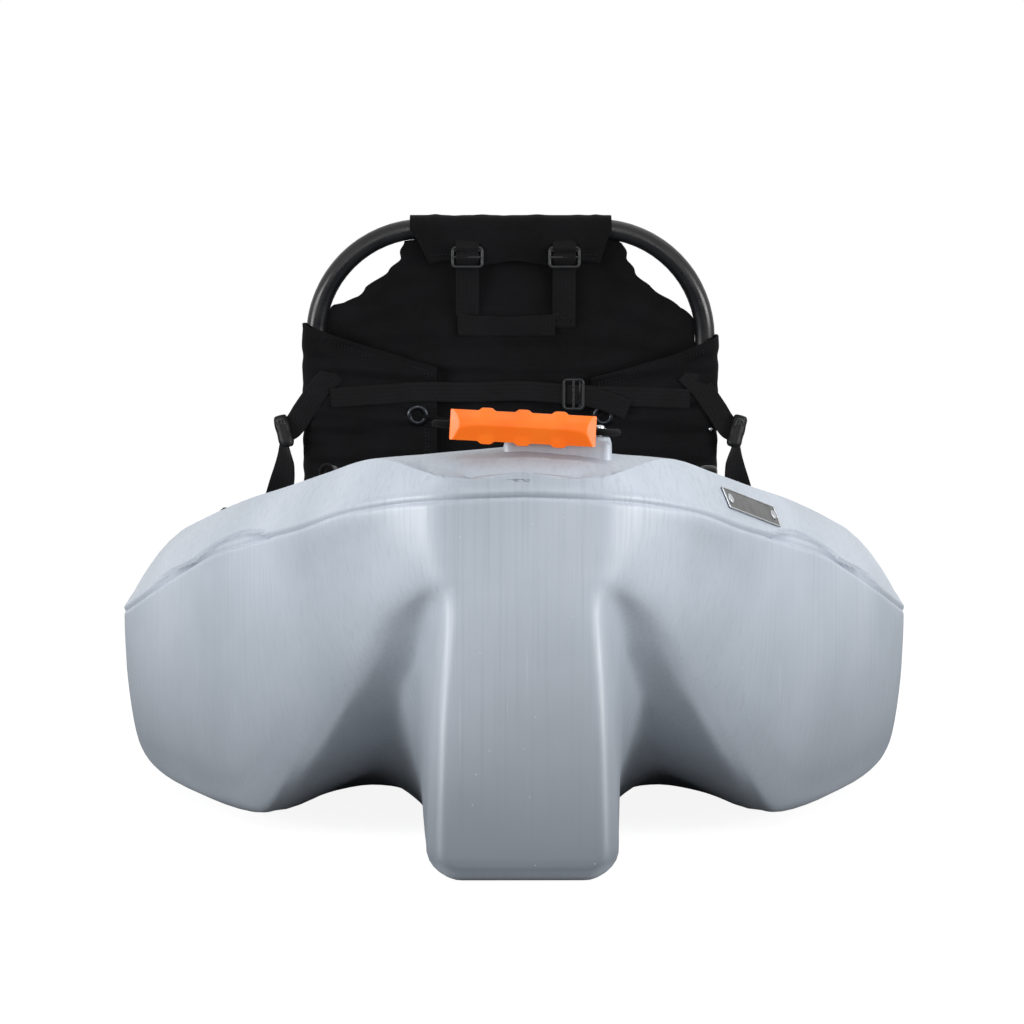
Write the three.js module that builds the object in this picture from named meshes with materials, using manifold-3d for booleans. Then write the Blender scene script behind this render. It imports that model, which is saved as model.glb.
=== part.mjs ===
// Sit-on-top fishing kayak: a rotomoulded three-keel hull with wells and hatches, a framed seat
// whose back folds, carry handles, foot braces, rod holders and gear tracks.
// Millimetres. +Z is up, +Y is the bow, +X is starboard. The origin is under the middle of the hull.
import * as THREE from 'three';
import { mergeVertices } from 'three/addons/utils/BufferGeometryUtils.js';
import Module from 'manifold-3d';

const wasm = await Module();
wasm.setup();

// Driving dimensions

const gap = 0.3; // clearance between pieces that touch
const overrun = 60; // how far a cutter reaches past what it cuts

const hull = {
  length: 3550,
  beam: 914,
  depth: 380,
  wall: 4,
  innerStartShare: 0.0085,
  innerEndShare: 0.935,
  ringsPerStation: 2,
};

const cockpit = {
  floor: 85,
  aftShare: 0.32535,
  forwardShare: 0.76479,
  halfShare: 0.65646,
  toeInset: 65,
  toeLength: 150,
  cornerRadius: 70,
  floorRadius: 22,
};

const consoleBlock = { halfWidth: 92, length: 520, top: 178 };

const tankWell = {
  floor: 165,
  aftShare: 0.07746,
  forwardShare: 0.26056,
  aftHalfWidth: 145,
  forwardInset: 32,
  cornerRadius: 60,
  floorRadius: 20,
};

const scupper = { bore: 16, wall: 6, x: 155, insets: [320, 870], tankX: 95, tankInset: 300 };

const hatch = {
  share: 0.84366,
  halfLength: 160,
  halfWidth: 112,
  cornerRadius: 70,
  sink: 13,
  ledge: 16,
  flange: 6,
  opening: 30,
  neck: 26,
  gasket: 4,
  gasketWidth: 11,
  lid: 9,
  lidCrown: 9,
  lidOverhang: 5,
  recessGap: 6,
  hingeRadius: 6,
  hingePin: 2.6,
  hingeWidth: 60,
  earWidth: 16,
};

const dayHatch = {
  inset: 140,
  opening: 52,
  ring: 70,
  ringHeight: 7,
  neck: 24,
  wall: 4,
  lid: 61,
  lidHeight: 8,
  bar: 12,
  play: 1.2,
};

const drainPlug = {
  share: 0.93521,
  head: 17,
  headHeight: 6,
  stem: 9,
  stemLength: 22,
  boss: 24,
  bossHeight: 4,
  bar: 6,
};

const rodHolder = {
  inset: 10,
  share: 0.27887,
  lean: 30,
  bore: 21,
  wall: 3.5,
  length: 205,
  flange: 36,
  flangeHeight: 5,
};

const gearTrack = {
  inset: 50,
  aftShare: 0.45211,
  length: 300,
  width: 32,
  height: 13,
  slot: 8,
  groove: 17,
  grooveHeight: 5,
  lip: 3,
};

const footBrace = {
  toeGap: 30,
  length: 430,
  height: 42,
  base: 5,
  ribHeight: 14,
  rib: 9,
  z: 165,
  carriage: 26,
  carriageLength: 60,
  wrap: 6,
  pedalWidth: 92,
  pedalHeight: 120,
  pedal: 9,
  pedalLean: 12,
  start: 250,
};

const seat = {
  width: 515,
  tube: 25,
  pivotShare: 0.38732,
  baseHeight: 252,
  pivotHeight: 284,
  top: 660,
  lean: 10,
  cornerRadius: 138,
  baseReach: 420,
  tail: 14,
  sideGap: 7.5,
  baseCorner: 60,
  crossbar: 20,
  crossbarReach: 28,
  bracket: 6,
  bracketRadius: 15,
  bolt: 4,
  boltHead: 8,
  boltHeadHeight: 5,
  leg: 22,
  legFront: 60,
  legRear: 70,
  legRake: 24,
  legCorner: 38,
};

const cloth = {
  thick: 6,
  baseSag: 14,
  backSag: 7,
  clear: 0.4,
  skin: 3,
  wingBottom: 26,
  wingTopOuter: 251,
  wingTopInner: 203,
  wingInner: 101,
  wingFlap: 22,
  sleeveHalf: 126,
  sleeveFlap: 53.5,
  sleeveTaper: 12,
};

const webbing = {
  width: 25,
  thick: 1.6,
  topX: 61,
  topBuckleDrop: 34,
  topStrap: 86,
  waistHeight: 164,
  waistBuckleX: 79,
  sideInset: 5,
  sideHeight: 166,
  sideOut: 39,
  sideDrop: 46,
};

const ladderLock = { width: 42, height: 28, thick: 5, bar: 4, slot: 6 };

const grommet = { x: 117, height: 136, outer: 14, bore: 7, thick: 3 };

const lacing = { radius: 2.2, sag: 16 };

const strapEye = { inset: 25, fromPivot: 168, width: 40, depth: 17, base: 4, loop: 14, bar: 4.5 };

const bungee = { radius: 3, eyeInset: 24, eyeShares: [0.12, 0.88], eyeHeight: 18, lift: 11 };

const handle = {
  grip: 127,
  gripHeight: 27,
  gripDepth: 24,
  endRecess: 13,
  recessShares: [0.2, 0.82],
  flatShare: 0.45,
  ribs: 3,
  ribWidth: 13,
  rib: 2.2,
  rope: 3.2,
  ropeBore: 4.2,
  reach: 38,
  screwHead: 6.5,
  screwHeight: 4,
  roll: 3,
};

const sternPad = {
  inset: 56,
  fromX: -21,
  toX: 78,
  depth: 34,
  rise: 2,
  boss: 9,
  bossRise: 6,
  screwInset: 11,
};

const bowPad = { inset: 107, halfWidth: 42, depth: 34, rise: 10, screwInset: 10 };

const sideHandle = { inset: 74, share: 0.61268, halfSpan: 62, lift: 5.4 };

const namePlate = { share: 0.07, ringPlace: 10.47, length: 142, width: 21, thick: 1.6, turn: -2 };

// Places that follow the hull's length and beam

const sternY = -hull.length / 2;
const halfBeam = hull.beam / 2;
const alongHull = (share) => sternY + share * hull.length;
const cockpitAft = alongHull(cockpit.aftShare);
const cockpitForward = alongHull(cockpit.forwardShare);
const cockpitHalf = halfBeam * cockpit.halfShare;
const toeHalf = cockpitHalf - cockpit.toeInset;
const consoleAft = cockpitForward - consoleBlock.length;
const tankAft = alongHull(tankWell.aftShare);
const tankForward = alongHull(tankWell.forwardShare);
const tankForwardHalf = cockpitHalf - tankWell.forwardInset;
const hatchY = alongHull(hatch.share);
const dayHatchY = consoleAft + dayHatch.inset;
const drainY = alongHull(drainPlug.share);
const rodHolderX = cockpitHalf - rodHolder.inset;
const rodHolderY = alongHull(rodHolder.share);
const gearTrackX = cockpitHalf + gearTrack.inset;
const gearTrackAft = alongHull(gearTrack.aftShare);
const footRailAft = cockpitForward - cockpit.toeLength - footBrace.toeGap - footBrace.length;
const pivotY = alongHull(seat.pivotShare);
const strapEyeX = cockpitHalf + strapEye.inset;
const strapEyeY = pivotY + strapEye.fromPivot;
const sternPadY = sternY + sternPad.inset;
const sternPadTop = hull.depth + sternPad.rise;
const sternBossTop = hull.depth + sternPad.bossRise;
const bowPadY = sternY + hull.length - bowPad.inset;
const bowPadTop = hull.depth + bowPad.rise;
const sideHandleX = halfBeam - sideHandle.inset;
const sideHandleY = alongHull(sideHandle.share);

// Hull lines. Each station gives, at its share of the length from the stern, half the section as
// [share of the half beam, share of the depth] from the keel, round the tunnel, the side keel, the
// chine, the side and the parting line, to the middle of the deck.
const hullOffsetShares = [
  [0, [
    [0, 0], [0.11, 0], [0.15, 0.05], [0.158, 0.59], [0.159, 0.645],
    [0.16, 0.674], [0.161, 0.7], [0.162, 0.73], [0.163, 0.77], [0.164, 0.82],
    [0.164, 0.876], [0.153, 0.93], [0.083, 0.953], [0, 0.96],
  ]],
  [0.0085, [
    [0, 0], [0.14, 0], [0.186, 0.058], [0.193, 0.566], [0.204, 0.632],
    [0.214, 0.663], [0.219, 0.69], [0.223, 0.72], [0.228, 0.758], [0.23, 0.805],
    [0.23, 0.863], [0.214, 0.942], [0.12, 0.97], [0, 0.982],
  ]],
  [0.02, [
    [0, 0], [0.14, 0], [0.188, 0.058], [0.197, 0.5], [0.225, 0.595],
    [0.258, 0.624], [0.269, 0.65], [0.28, 0.684], [0.291, 0.732], [0.304, 0.787],
    [0.315, 0.847], [0.254, 0.97], [0.149, 0.976], [0, 0.995],
  ]],
  [0.034, [
    [0, 0], [0.142, 0], [0.19, 0.058], [0.2, 0.41], [0.234, 0.534],
    [0.28, 0.563], [0.302, 0.59], [0.319, 0.632], [0.337, 0.695], [0.354, 0.76],
    [0.372, 0.826], [0.309, 0.96], [0.175, 0.976], [0, 0.995],
  ]],
  [0.056, [
    [0, 0], [0.144, 0], [0.193, 0.058], [0.206, 0.25], [0.247, 0.382],
    [0.328, 0.395], [0.354, 0.416], [0.385, 0.474], [0.411, 0.566], [0.433, 0.684],
    [0.45, 0.79], [0.389, 0.929], [0.22, 0.96], [0, 0.982],
  ]],
  [0.085, [
    [0, 0], [0.147, 0], [0.195, 0.053], [0.21, 0.158], [0.267, 0.242],
    [0.43, 0.184], [0.464, 0.195], [0.503, 0.258], [0.527, 0.382], [0.543, 0.566],
    [0.547, 0.755], [0.49, 0.889], [0.263, 0.93], [0, 0.953],
  ]],
  [0.113, [
    [0, 0], [0.149, 0], [0.197, 0.035], [0.214, 0.09], [0.295, 0.158],
    [0.508, 0.053], [0.55, 0.043], [0.608, 0.095], [0.635, 0.224], [0.65, 0.46],
    [0.65, 0.716], [0.575, 0.858], [0.306, 0.889], [0, 0.908],
  ]],
  [0.155, [
    [0, 0], [0.153, 0], [0.2, 0.012], [0.219, 0.03], [0.33, 0.095],
    [0.514, 0.018], [0.624, 0.018], [0.722, 0.063], [0.76, 0.163], [0.783, 0.42],
    [0.78, 0.63], [0.696, 0.8], [0.35, 0.816], [0, 0.837],
  ]],
  [0.21, [
    [0, 0], [0.158, 0], [0.206, 0.012], [0.23, 0.018], [0.34, 0.026],
    [0.514, 0.003], [0.69, 0.005], [0.836, 0.058], [0.893, 0.145], [0.92, 0.36],
    [0.925, 0.52], [0.8, 0.74], [0.372, 0.753], [0, 0.774],
  ]],
  [0.27, [
    [0, 0], [0.162, 0], [0.21, 0.008], [0.236, 0.013], [0.35, 0.02],
    [0.525, 0], [0.71, 0], [0.868, 0.047], [0.93, 0.126], [0.963, 0.36],
    [0.966, 0.5], [0.845, 0.688], [0.394, 0.697], [0, 0.713],
  ]],
  [0.37, [
    [0, 0], [0.164, 0], [0.214, 0.008], [0.24, 0.013], [0.354, 0.02],
    [0.525, 0], [0.733, 0], [0.897, 0.042], [0.954, 0.121], [0.989, 0.374],
    [0.982, 0.51], [0.87, 0.658], [0.416, 0.666], [0, 0.676],
  ]],
  [0.5, [
    [0, 0], [0.164, 0], [0.214, 0.008], [0.24, 0.013], [0.354, 0.02],
    [0.525, 0], [0.74, 0], [0.906, 0.042], [0.965, 0.121], [1, 0.374],
    [0.985, 0.52], [0.882, 0.653], [0.416, 0.66], [0, 0.67],
  ]],
  [0.62, [
    [0, 0], [0.16, 0], [0.21, 0.008], [0.236, 0.013], [0.34, 0.02],
    [0.503, 0], [0.69, 0], [0.853, 0.047], [0.917, 0.132], [0.963, 0.389],
    [0.95, 0.534], [0.85, 0.668], [0.405, 0.682], [0, 0.695],
  ]],
  [0.73, [
    [0, 0], [0.144, 0], [0.193, 0.01], [0.214, 0.018], [0.295, 0.024],
    [0.416, 0.008], [0.558, 0.013], [0.722, 0.079], [0.792, 0.174], [0.85, 0.42],
    [0.84, 0.574], [0.748, 0.71], [0.36, 0.742], [0, 0.763],
  ]],
  [0.82, [
    [0, 0.026], [0.116, 0.026], [0.16, 0.042], [0.175, 0.063], [0.23, 0.079],
    [0.313, 0.045], [0.42, 0.063], [0.558, 0.145], [0.628, 0.242], [0.69, 0.479],
    [0.687, 0.637], [0.613, 0.784], [0.302, 0.837], [0, 0.86],
  ]],
  [0.87, [
    [0, 0.089], [0.088, 0.089], [0.125, 0.103], [0.138, 0.121], [0.175, 0.134],
    [0.23, 0.118], [0.306, 0.147], [0.407, 0.242], [0.466, 0.342], [0.525, 0.547],
    [0.534, 0.695], [0.468, 0.842], [0.24, 0.903], [0, 0.93],
  ]],
  [0.92, [
    [0, 0.197], [0.063, 0.197], [0.092, 0.211], [0.103, 0.226], [0.127, 0.239],
    [0.16, 0.237], [0.21, 0.274], [0.28, 0.368], [0.326, 0.46], [0.372, 0.626],
    [0.385, 0.75], [0.333, 0.889], [0.175, 0.945], [0, 0.97],
  ]],
  [0.96, [
    [0, 0.342], [0.039, 0.342], [0.059, 0.355], [0.068, 0.368], [0.083, 0.382],
    [0.103, 0.392], [0.133, 0.429], [0.175, 0.5], [0.204, 0.566], [0.236, 0.695],
    [0.247, 0.795], [0.214, 0.924], [0.118, 0.97], [0, 0.992],
  ]],
  [0.983, [
    [0, 0.5], [0.022, 0.5], [0.033, 0.511], [0.039, 0.52], [0.048, 0.534],
    [0.059, 0.547], [0.077, 0.579], [0.098, 0.626], [0.116, 0.67], [0.133, 0.76],
    [0.142, 0.834], [0.125, 0.94], [0.068, 0.979], [0, 0.995],
  ]],
  [1, [
    [0, 0.69], [0.009, 0.69], [0.013, 0.695], [0.015, 0.7], [0.018, 0.708],
    [0.02, 0.716], [0.024, 0.734], [0.03, 0.758], [0.035, 0.782], [0.039, 0.82],
    [0.042, 0.858], [0.039, 0.932], [0.022, 0.966], [0, 0.976],
  ]],
];

// Where the upper back panel's edge lies, as [share of the panel's height, share of its half width]
const backEdgeShares = [
  [0, 1], [0.6, 1], [0.68, 0.965], [0.76, 0.88], [0.84, 0.72], [0.92, 0.61], [1, 0.56],
];

// Materials

const finish = (color, roughness, metalness = 0) => (
  new THREE.MeshStandardMaterial({ color, roughness, metalness })
);
const hullPlastic = finish('#9aa3ad', 0.45);
const orangePlastic = finish('#ff7a2c', 0.4);
const blackPlastic = finish('#17181a', 0.45);
const blackRubber = finish('#101112', 0.8);
const blackTube = finish('#141416', 0.35, 0.4);
const blackCloth = finish('#0d0d0f', 0.95);
const blackWebbing = finish('#121214', 0.9);
const steel = finish('#b9bcc0', 0.3, 1);
const plateBlack = finish('#1a1a1c', 0.4);

// Solids

const rad = THREE.MathUtils.degToRad;
const v2 = (x, y) => new THREE.Vector2(x, y);
const v3 = (x, y, z) => new THREE.Vector3(x, y, z);

// A closed geometry's solid
function solid(geometry) {
  const bare = new THREE.BufferGeometry();
  bare.setAttribute('position', geometry.getAttribute('position'));
  if (geometry.index) bare.setIndex(geometry.index);
  const merged = mergeVertices(bare, 1e-4);
  const mesh = new wasm.Mesh({
    numProp: 3,
    vertProperties: new Float32Array(merged.getAttribute('position').array),
    triVerts: new Uint32Array(merged.index.array),
  });
  return new wasm.Manifold(mesh);
}

// A solid's geometry
function geometryOf(body) {
  const mesh = body.getMesh();
  const geometry = new THREE.BufferGeometry();
  geometry.setAttribute('position', new THREE.BufferAttribute(new Float32Array(mesh.vertProperties), 3));
  geometry.setIndex(new THREE.BufferAttribute(new Uint32Array(mesh.triVerts), 1));
  geometry.computeVertexNormals();
  return geometry;
}

// A solid moved by an object's placing
const placed = (body, object) => {
  object.updateMatrixWorld(true);
  return body.transform(object.matrixWorld.toArray());
};

const moved = (body, x, y, z) => body.translate([x, y, z]);

// A closed skin through rings of as many points each, with a fan over each end
function loft(rings) {
  const count = rings[0].length;
  const points = rings.flat();
  const index = [];
  for (let r = 0; r < rings.length - 1; r += 1) {
    for (let i = 0; i < count; i += 1) {
      const a = r * count + i;
      const b = r * count + ((i + 1) % count);
      index.push(a, b, b + count, a, b + count, a + count);
    }
  }
  for (const [ring, turn] of [[0, 1], [rings.length - 1, -1]]) {
    const middle = points.length;
    points.push(rings[ring].reduce((sum, point) => sum.add(point), v3(0, 0, 0)).divideScalar(count));
    for (let i = 0; i < count; i += 1) {
      const a = ring * count + i;
      const b = ring * count + ((i + 1) % count);
      index.push(...(turn > 0 ? [middle, b, a] : [middle, a, b]));
    }
  }
  let volume = 0;
  for (let t = 0; t < index.length; t += 3) {
    const [a, b, c] = [points[index[t]], points[index[t + 1]], points[index[t + 2]]];
    volume += a.dot(b.clone().cross(c));
  }
  if (volume < 0) index.reverse();
  const geometry = new THREE.BufferGeometry().setFromPoints(points);
  geometry.setIndex(index);
  return solid(geometry);
}

// An outline raised along Z from low to high
function prism(outline, low, high, holes = []) {
  const shape = new THREE.Shape(outline);
  for (const hole of holes) shape.holes.push(new THREE.Path(hole));
  const geometry = new THREE.ExtrudeGeometry(shape, { depth: high - low, bevelEnabled: false });
  return solid(geometry.translate(0, 0, low));
}

// An outline in X and Z carried along Y, and one in Y and Z carried along X
const alongY = (outline, low, high, holes) => prism(outline, -high, -low, holes).rotate([90, 0, 0]);
const alongX = (outline, low, high, holes) => prism(outline, low, high, holes).rotate([90, 0, 90]);

const box = (x0, x1, y0, y1, z0, z1) => {
  const geometry = new THREE.BoxGeometry(x1 - x0, y1 - y0, z1 - z0);
  return solid(geometry.translate((x0 + x1) / 2, (y0 + y1) / 2, (z0 + z1) / 2));
};

// A round bar along Z, Y or X, centred on its middle
const bar = (radius, length, sides = 20) => solid(new THREE.CylinderGeometry(radius, radius, length, sides))
  .rotate([90, 0, 0]);
const barY = (radius, length, sides = 20) => bar(radius, length, sides).rotate([90, 0, 0]);
const barX = (radius, length, sides = 20) => bar(radius, length, sides).rotate([0, 90, 0]);

// A rectangle with round corners
function roundedRect(halfX, halfY, radius, steps = 6) {
  const r = Math.min(radius, halfX, halfY);
  const points = [];
  for (const [cx, cy, start] of [[1, 1, 0], [-1, 1, 1], [-1, -1, 2], [1, -1, 3]]) {
    for (let i = 0; i <= steps; i += 1) {
      const angle = ((start + i / steps) * Math.PI) / 2;
      points.push(v2(cx * (halfX - r) + r * Math.cos(angle), cy * (halfY - r) + r * Math.sin(angle)));
    }
  }
  return points;
}

const circle = (radius, steps = 28) => Array.from({ length: steps }, (_, i) => {
  const angle = (i / steps) * Math.PI * 2;
  return v2(radius * Math.cos(angle), radius * Math.sin(angle));
});

// A convex outline with each corner rounded, and one drawn in by a distance
function roundCorners(corners, radius, steps = 5) {
  const points = [];
  corners.forEach((corner, i) => {
    const before = corners[(i + corners.length - 1) % corners.length];
    const after = corners[(i + 1) % corners.length];
    const inward = before.clone().sub(corner).normalize();
    const onward = after.clone().sub(corner).normalize();
    const half = Math.acos(THREE.MathUtils.clamp(inward.dot(onward), -1, 1)) / 2;
    const cut = radius / Math.tan(half);
    const centre = inward.clone().add(onward).normalize().multiplyScalar(radius / Math.sin(half)).add(corner);
    const from = corner.clone().addScaledVector(inward, cut).sub(centre).angle();
    const to = corner.clone().addScaledVector(onward, cut).sub(centre).angle();
    const turn = THREE.MathUtils.euclideanModulo(to - from + Math.PI, Math.PI * 2) - Math.PI;
    for (let k = 0; k <= steps; k += 1) {
      const angle = from + (turn * k) / steps;
      points.push(v2(centre.x + radius * Math.cos(angle), centre.y + radius * Math.sin(angle)));
    }
  });
  return points;
}

function drawnIn(points, distance) {
  return points.map((point, i) => {
    const before = points[(i + points.length - 1) % points.length];
    const after = points[(i + 1) % points.length];
    const along = after.clone().sub(before).normalize();
    return v2(point.x - along.y * distance, point.y + along.x * distance);
  });
}

const lift = (points, z) => points.map((point) => v3(point.x, point.y, z));

// A straight-sided well whose floor meets its wall in a bevel
function well(outline, floor, floorRadius, top, grow = 0) {
  const mouth = drawnIn(outline, -grow);
  return loft([
    lift(drawnIn(outline, floorRadius - grow), floor - grow),
    lift(mouth, floor + floorRadius - grow),
    lift(mouth, top),
  ]);
}

// A tube of round section along straight runs joined by round bends
function bentPath(corners, radius) {
  const path = new THREE.CurvePath();
  let last = corners[0];
  for (let i = 1; i < corners.length - 1; i += 1) {
    const corner = corners[i];
    const back = corners[i - 1].clone().sub(corner).normalize();
    const on = corners[i + 1].clone().sub(corner).normalize();
    const half = back.angleTo(on) / 2;
    const cut = radius / Math.tan(half);
    const start = corner.clone().addScaledVector(back, cut);
    const end = corner.clone().addScaledVector(on, cut);
    const pull = (4 / 3) * Math.tan((Math.PI - 2 * half) / 4) * radius;
    path.add(new THREE.LineCurve3(last, start));
    path.add(new THREE.CubicBezierCurve3(
      start,
      start.clone().addScaledVector(back, -pull),
      end.clone().addScaledVector(on, -pull),
      end,
    ));
    last = end;
  }
  path.add(new THREE.LineCurve3(last, corners[corners.length - 1]));
  return path;
}

function tube(path, radius, sides, steps) {
  const shape = new THREE.Shape(circle(radius, sides));
  return solid(new THREE.ExtrudeGeometry(shape, { steps, extrudePath: path, bevelEnabled: false }));
}

const cordPath = (points) => new THREE.CatmullRomCurve3(points, false, 'centripetal');

// A sheet of even thickness over a grid, whose place is a function of two shares
function sheet(place, columns, rows, thick) {
  const front = [];
  const back = [];
  const small = 1e-3;
  for (let j = 0; j <= rows; j += 1) {
    for (let i = 0; i <= columns; i += 1) {
      const [u, v] = [i / columns, j / rows];
      const du = place(Math.min(u + small, 1), v).sub(place(Math.max(u - small, 0), v));
      const dv = place(u, Math.min(v + small, 1)).sub(place(u, Math.max(v - small, 0)));
      const normal = du.cross(dv).normalize().multiplyScalar(thick / 2);
      front.push(place(u, v).add(normal));
      back.push(place(u, v).sub(normal));
    }
  }
  const at = (i, j) => j * (columns + 1) + i;
  const under = front.length;
  const index = [];
  const quad = (a, b, c, d) => index.push(a, b, c, a, c, d);
  for (let j = 0; j < rows; j += 1) {
    for (let i = 0; i < columns; i += 1) {
      quad(at(i, j), at(i + 1, j), at(i + 1, j + 1), at(i, j + 1));
      quad(under + at(i, j), under + at(i, j + 1), under + at(i + 1, j + 1), under + at(i + 1, j));
    }
  }
  for (let i = 0; i < columns; i += 1) {
    quad(at(i, 0), under + at(i, 0), under + at(i + 1, 0), at(i + 1, 0));
    quad(at(i + 1, rows), under + at(i + 1, rows), under + at(i, rows), at(i, rows));
  }
  for (let j = 0; j < rows; j += 1) {
    quad(at(0, j + 1), under + at(0, j + 1), under + at(0, j), at(0, j));
    quad(at(columns, j), under + at(columns, j), under + at(columns, j + 1), at(columns, j + 1));
  }
  const geometry = new THREE.BufferGeometry().setFromPoints([...front, ...back]);
  geometry.setIndex(index);
  return solid(geometry);
}

// A value between the rows of a table of shares, in straight steps
function between(rows, at) {
  const next = Math.max(1, rows.findIndex((row) => row[0] >= at));
  const [[a0, b0], [a1, b1]] = [rows[next - 1], rows[next]];
  return b0 + ((b1 - b0) * (at - a0)) / (a1 - a0);
}

// Nodes

const kayak = new THREE.Group();

function add(name, body, material, parent = kayak) {
  const mesh = new THREE.Mesh(geometryOf(body), material);
  mesh.name = name;
  parent.add(mesh);
  return mesh;
}

const sides = [['port', -1], ['starboard', 1]];

// Hull lines

const stationShares = hullOffsetShares.map(([share]) => share);

// A curve through table values that never swings past them
function steadyCurve(xs, ys) {
  const slopes = xs.slice(1).map((x, i) => (ys[i + 1] - ys[i]) / (x - xs[i]));
  const tangents = xs.map((_, i) => {
    if (i === 0) return slopes[0];
    if (i === xs.length - 1) return slopes[i - 1];
    const [a, b] = [slopes[i - 1], slopes[i]];
    return a * b <= 0 ? 0 : (2 * a * b) / (a + b);
  });
  return (x) => {
    const i = THREE.MathUtils.clamp(xs.findIndex((value) => value > x) - 1, 0, xs.length - 2);
    const cell = x >= xs[xs.length - 1] ? xs.length - 2 : i;
    const width = xs[cell + 1] - xs[cell];
    const t = (x - xs[cell]) / width;
    const [t2, t3] = [t * t, t * t * t];
    return (2 * t3 - 3 * t2 + 1) * ys[cell] + (t3 - 2 * t2 + t) * width * tangents[cell]
      + (3 * t2 - 2 * t3) * ys[cell + 1] + (t3 - t2) * width * tangents[cell + 1];
  };
}

const linePoints = hullOffsetShares[0][1].length;
const hullLines = Array.from({ length: linePoints }, (_, i) => [0, 1].map((axis) => steadyCurve(
  stationShares,
  hullOffsetShares.map(([, points]) => points[i][axis]),
)));

// Half a section at a share of the length, from keel to deck
const halfSection = (share) => hullLines.map(([x, z]) => v2(x(share) * halfBeam, z(share) * hull.depth));

// A whole ring round the hull, drawn in by a wall, from the keel round starboard and back by port
function hullRing(share, wall = 0) {
  const half = halfSection(share);
  const port = half.slice(1, -1).reverse().map((point) => v2(-point.x, point.y));
  const ring = drawnIn([...half, ...port], wall);
  return ring.map((point) => v3(point.x, sternY + share * hull.length, point.y));
}

function hullSkin(shares, wall) {
  return loft(shares.map((share) => hullRing(share, wall)));
}

const fineShares = stationShares.flatMap((share, i) => {
  const next = stationShares[i + 1];
  if (next === undefined) return [share];
  const stride = (next - share) / hull.ringsPerStation;
  return Array.from({ length: hull.ringsPerStation }, (_, k) => share + stride * k);
});
const { innerStartShare, innerEndShare } = hull;
const innerShares = [
  innerStartShare,
  ...stationShares.filter((share) => share > innerStartShare && share < innerEndShare),
  innerEndShare,
];

// The deck's height over a place
function deckHeight(x, y) {
  const half = halfSection((y - sternY) / hull.length);
  for (let i = half.length - 1; i > 0; i -= 1) {
    const [inner, outer] = [half[i], half[i - 1]];
    if (Math.abs(x) <= outer.x) {
      return inner.y + ((outer.y - inner.y) * (Math.abs(x) - inner.x)) / (outer.x - inner.x);
    }
  }
  return half[0].y;
}

const outerSkin = hullSkin(fineShares, 0);
const raisedDeck = moved(outerSkin, 0, 0, gap);

// A fitting whose underside follows the deck
const onDeck = (body) => body.subtract(raisedDeck);

// Wells

const cockpitOutline = roundCorners([
  v2(-cockpitHalf, cockpitAft),
  v2(cockpitHalf, cockpitAft),
  v2(cockpitHalf, cockpitForward - cockpit.toeLength),
  v2(toeHalf, cockpitForward),
  v2(-toeHalf, cockpitForward),
  v2(-cockpitHalf, cockpitForward - cockpit.toeLength),
], cockpit.cornerRadius);
const tankOutline = roundCorners([
  v2(-tankWell.aftHalfWidth, tankAft),
  v2(tankWell.aftHalfWidth, tankAft),
  v2(tankForwardHalf, tankForward),
  v2(-tankForwardHalf, tankForward),
], tankWell.cornerRadius);

const wellTop = hull.depth + overrun;
const consoleSolid = (shrink) => box(
  -consoleBlock.halfWidth + shrink,
  consoleBlock.halfWidth - shrink,
  consoleAft + shrink,
  cockpitForward + overrun,
  0,
  consoleBlock.top - shrink,
);
const cockpitWell = (grow) => well(cockpitOutline, cockpit.floor, cockpit.floorRadius, wellTop, grow)
  .subtract(consoleSolid(grow));
const tankWellSolid = (grow) => well(tankOutline, tankWell.floor, tankWell.floorRadius, wellTop, grow);

const scupperPlaces = sides.flatMap(([, side]) => [
  ...scupper.insets.map((inset) => [side * scupper.x, cockpitAft + inset]),
  [side * scupper.tankX, tankAft + scupper.tankInset],
]);
const scupperBars = (radius) => scupperPlaces.map(([x, y]) => moved(bar(radius, wellTop, 12), x, y, 0));
const unite = (bodies) => bodies.reduce((sum, body) => sum.add(body));

// Bow hatch frame: its plane follows the deck's slope

const hatchRise = deckHeight(0, hatchY + hatch.halfLength) - deckHeight(0, hatchY - hatch.halfLength);
const hatchFrame = new THREE.Group();
hatchFrame.position.set(0, hatchY, deckHeight(0, hatchY) - hatch.sink);
hatchFrame.rotation.x = Math.atan2(hatchRise, 2 * hatch.halfLength);
kayak.add(hatchFrame);

const hatchOutline = (inset) => roundedRect(
  hatch.halfWidth - inset,
  hatch.halfLength - inset,
  hatch.cornerRadius - inset,
);
const hatchReach = hatch.lidOverhang + hatch.recessGap;
const hingeY = hatch.halfLength + hatch.lidOverhang + hatch.hingeRadius;
const hatchHinge = { y: hingeY, z: hatch.flange + hatch.gasket + hatch.lid / 2 + 3 * gap };
const hingePocket = box(
  -hatch.hingeWidth / 2 - hatch.recessGap,
  hatch.hingeWidth / 2 + hatch.recessGap,
  0,
  hatchHinge.y + hatch.hingeRadius + hatch.recessGap,
  0,
  overrun,
);
const hatchRecess = placed(
  prism(hatchOutline(-hatchReach), 0, overrun).add(hingePocket)
    .add(prism(hatchOutline(hatch.ledge), -overrun, overrun)),
  hatchFrame,
);

// Rod holders: their bores lean back

const rodHolderFrame = (side) => {
  const frame = new THREE.Group();
  frame.position.set(side * rodHolderX, rodHolderY, deckHeight(rodHolderX, rodHolderY));
  frame.rotation.x = rad(rodHolder.lean);
  return frame;
};
const rodOuter = rodHolder.bore + rodHolder.wall;
const rodHole = (side) => placed(bar(rodOuter + gap, 2 * rodHolder.length, 20), rodHolderFrame(side));

// Handle pads moulded on the deck

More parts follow.
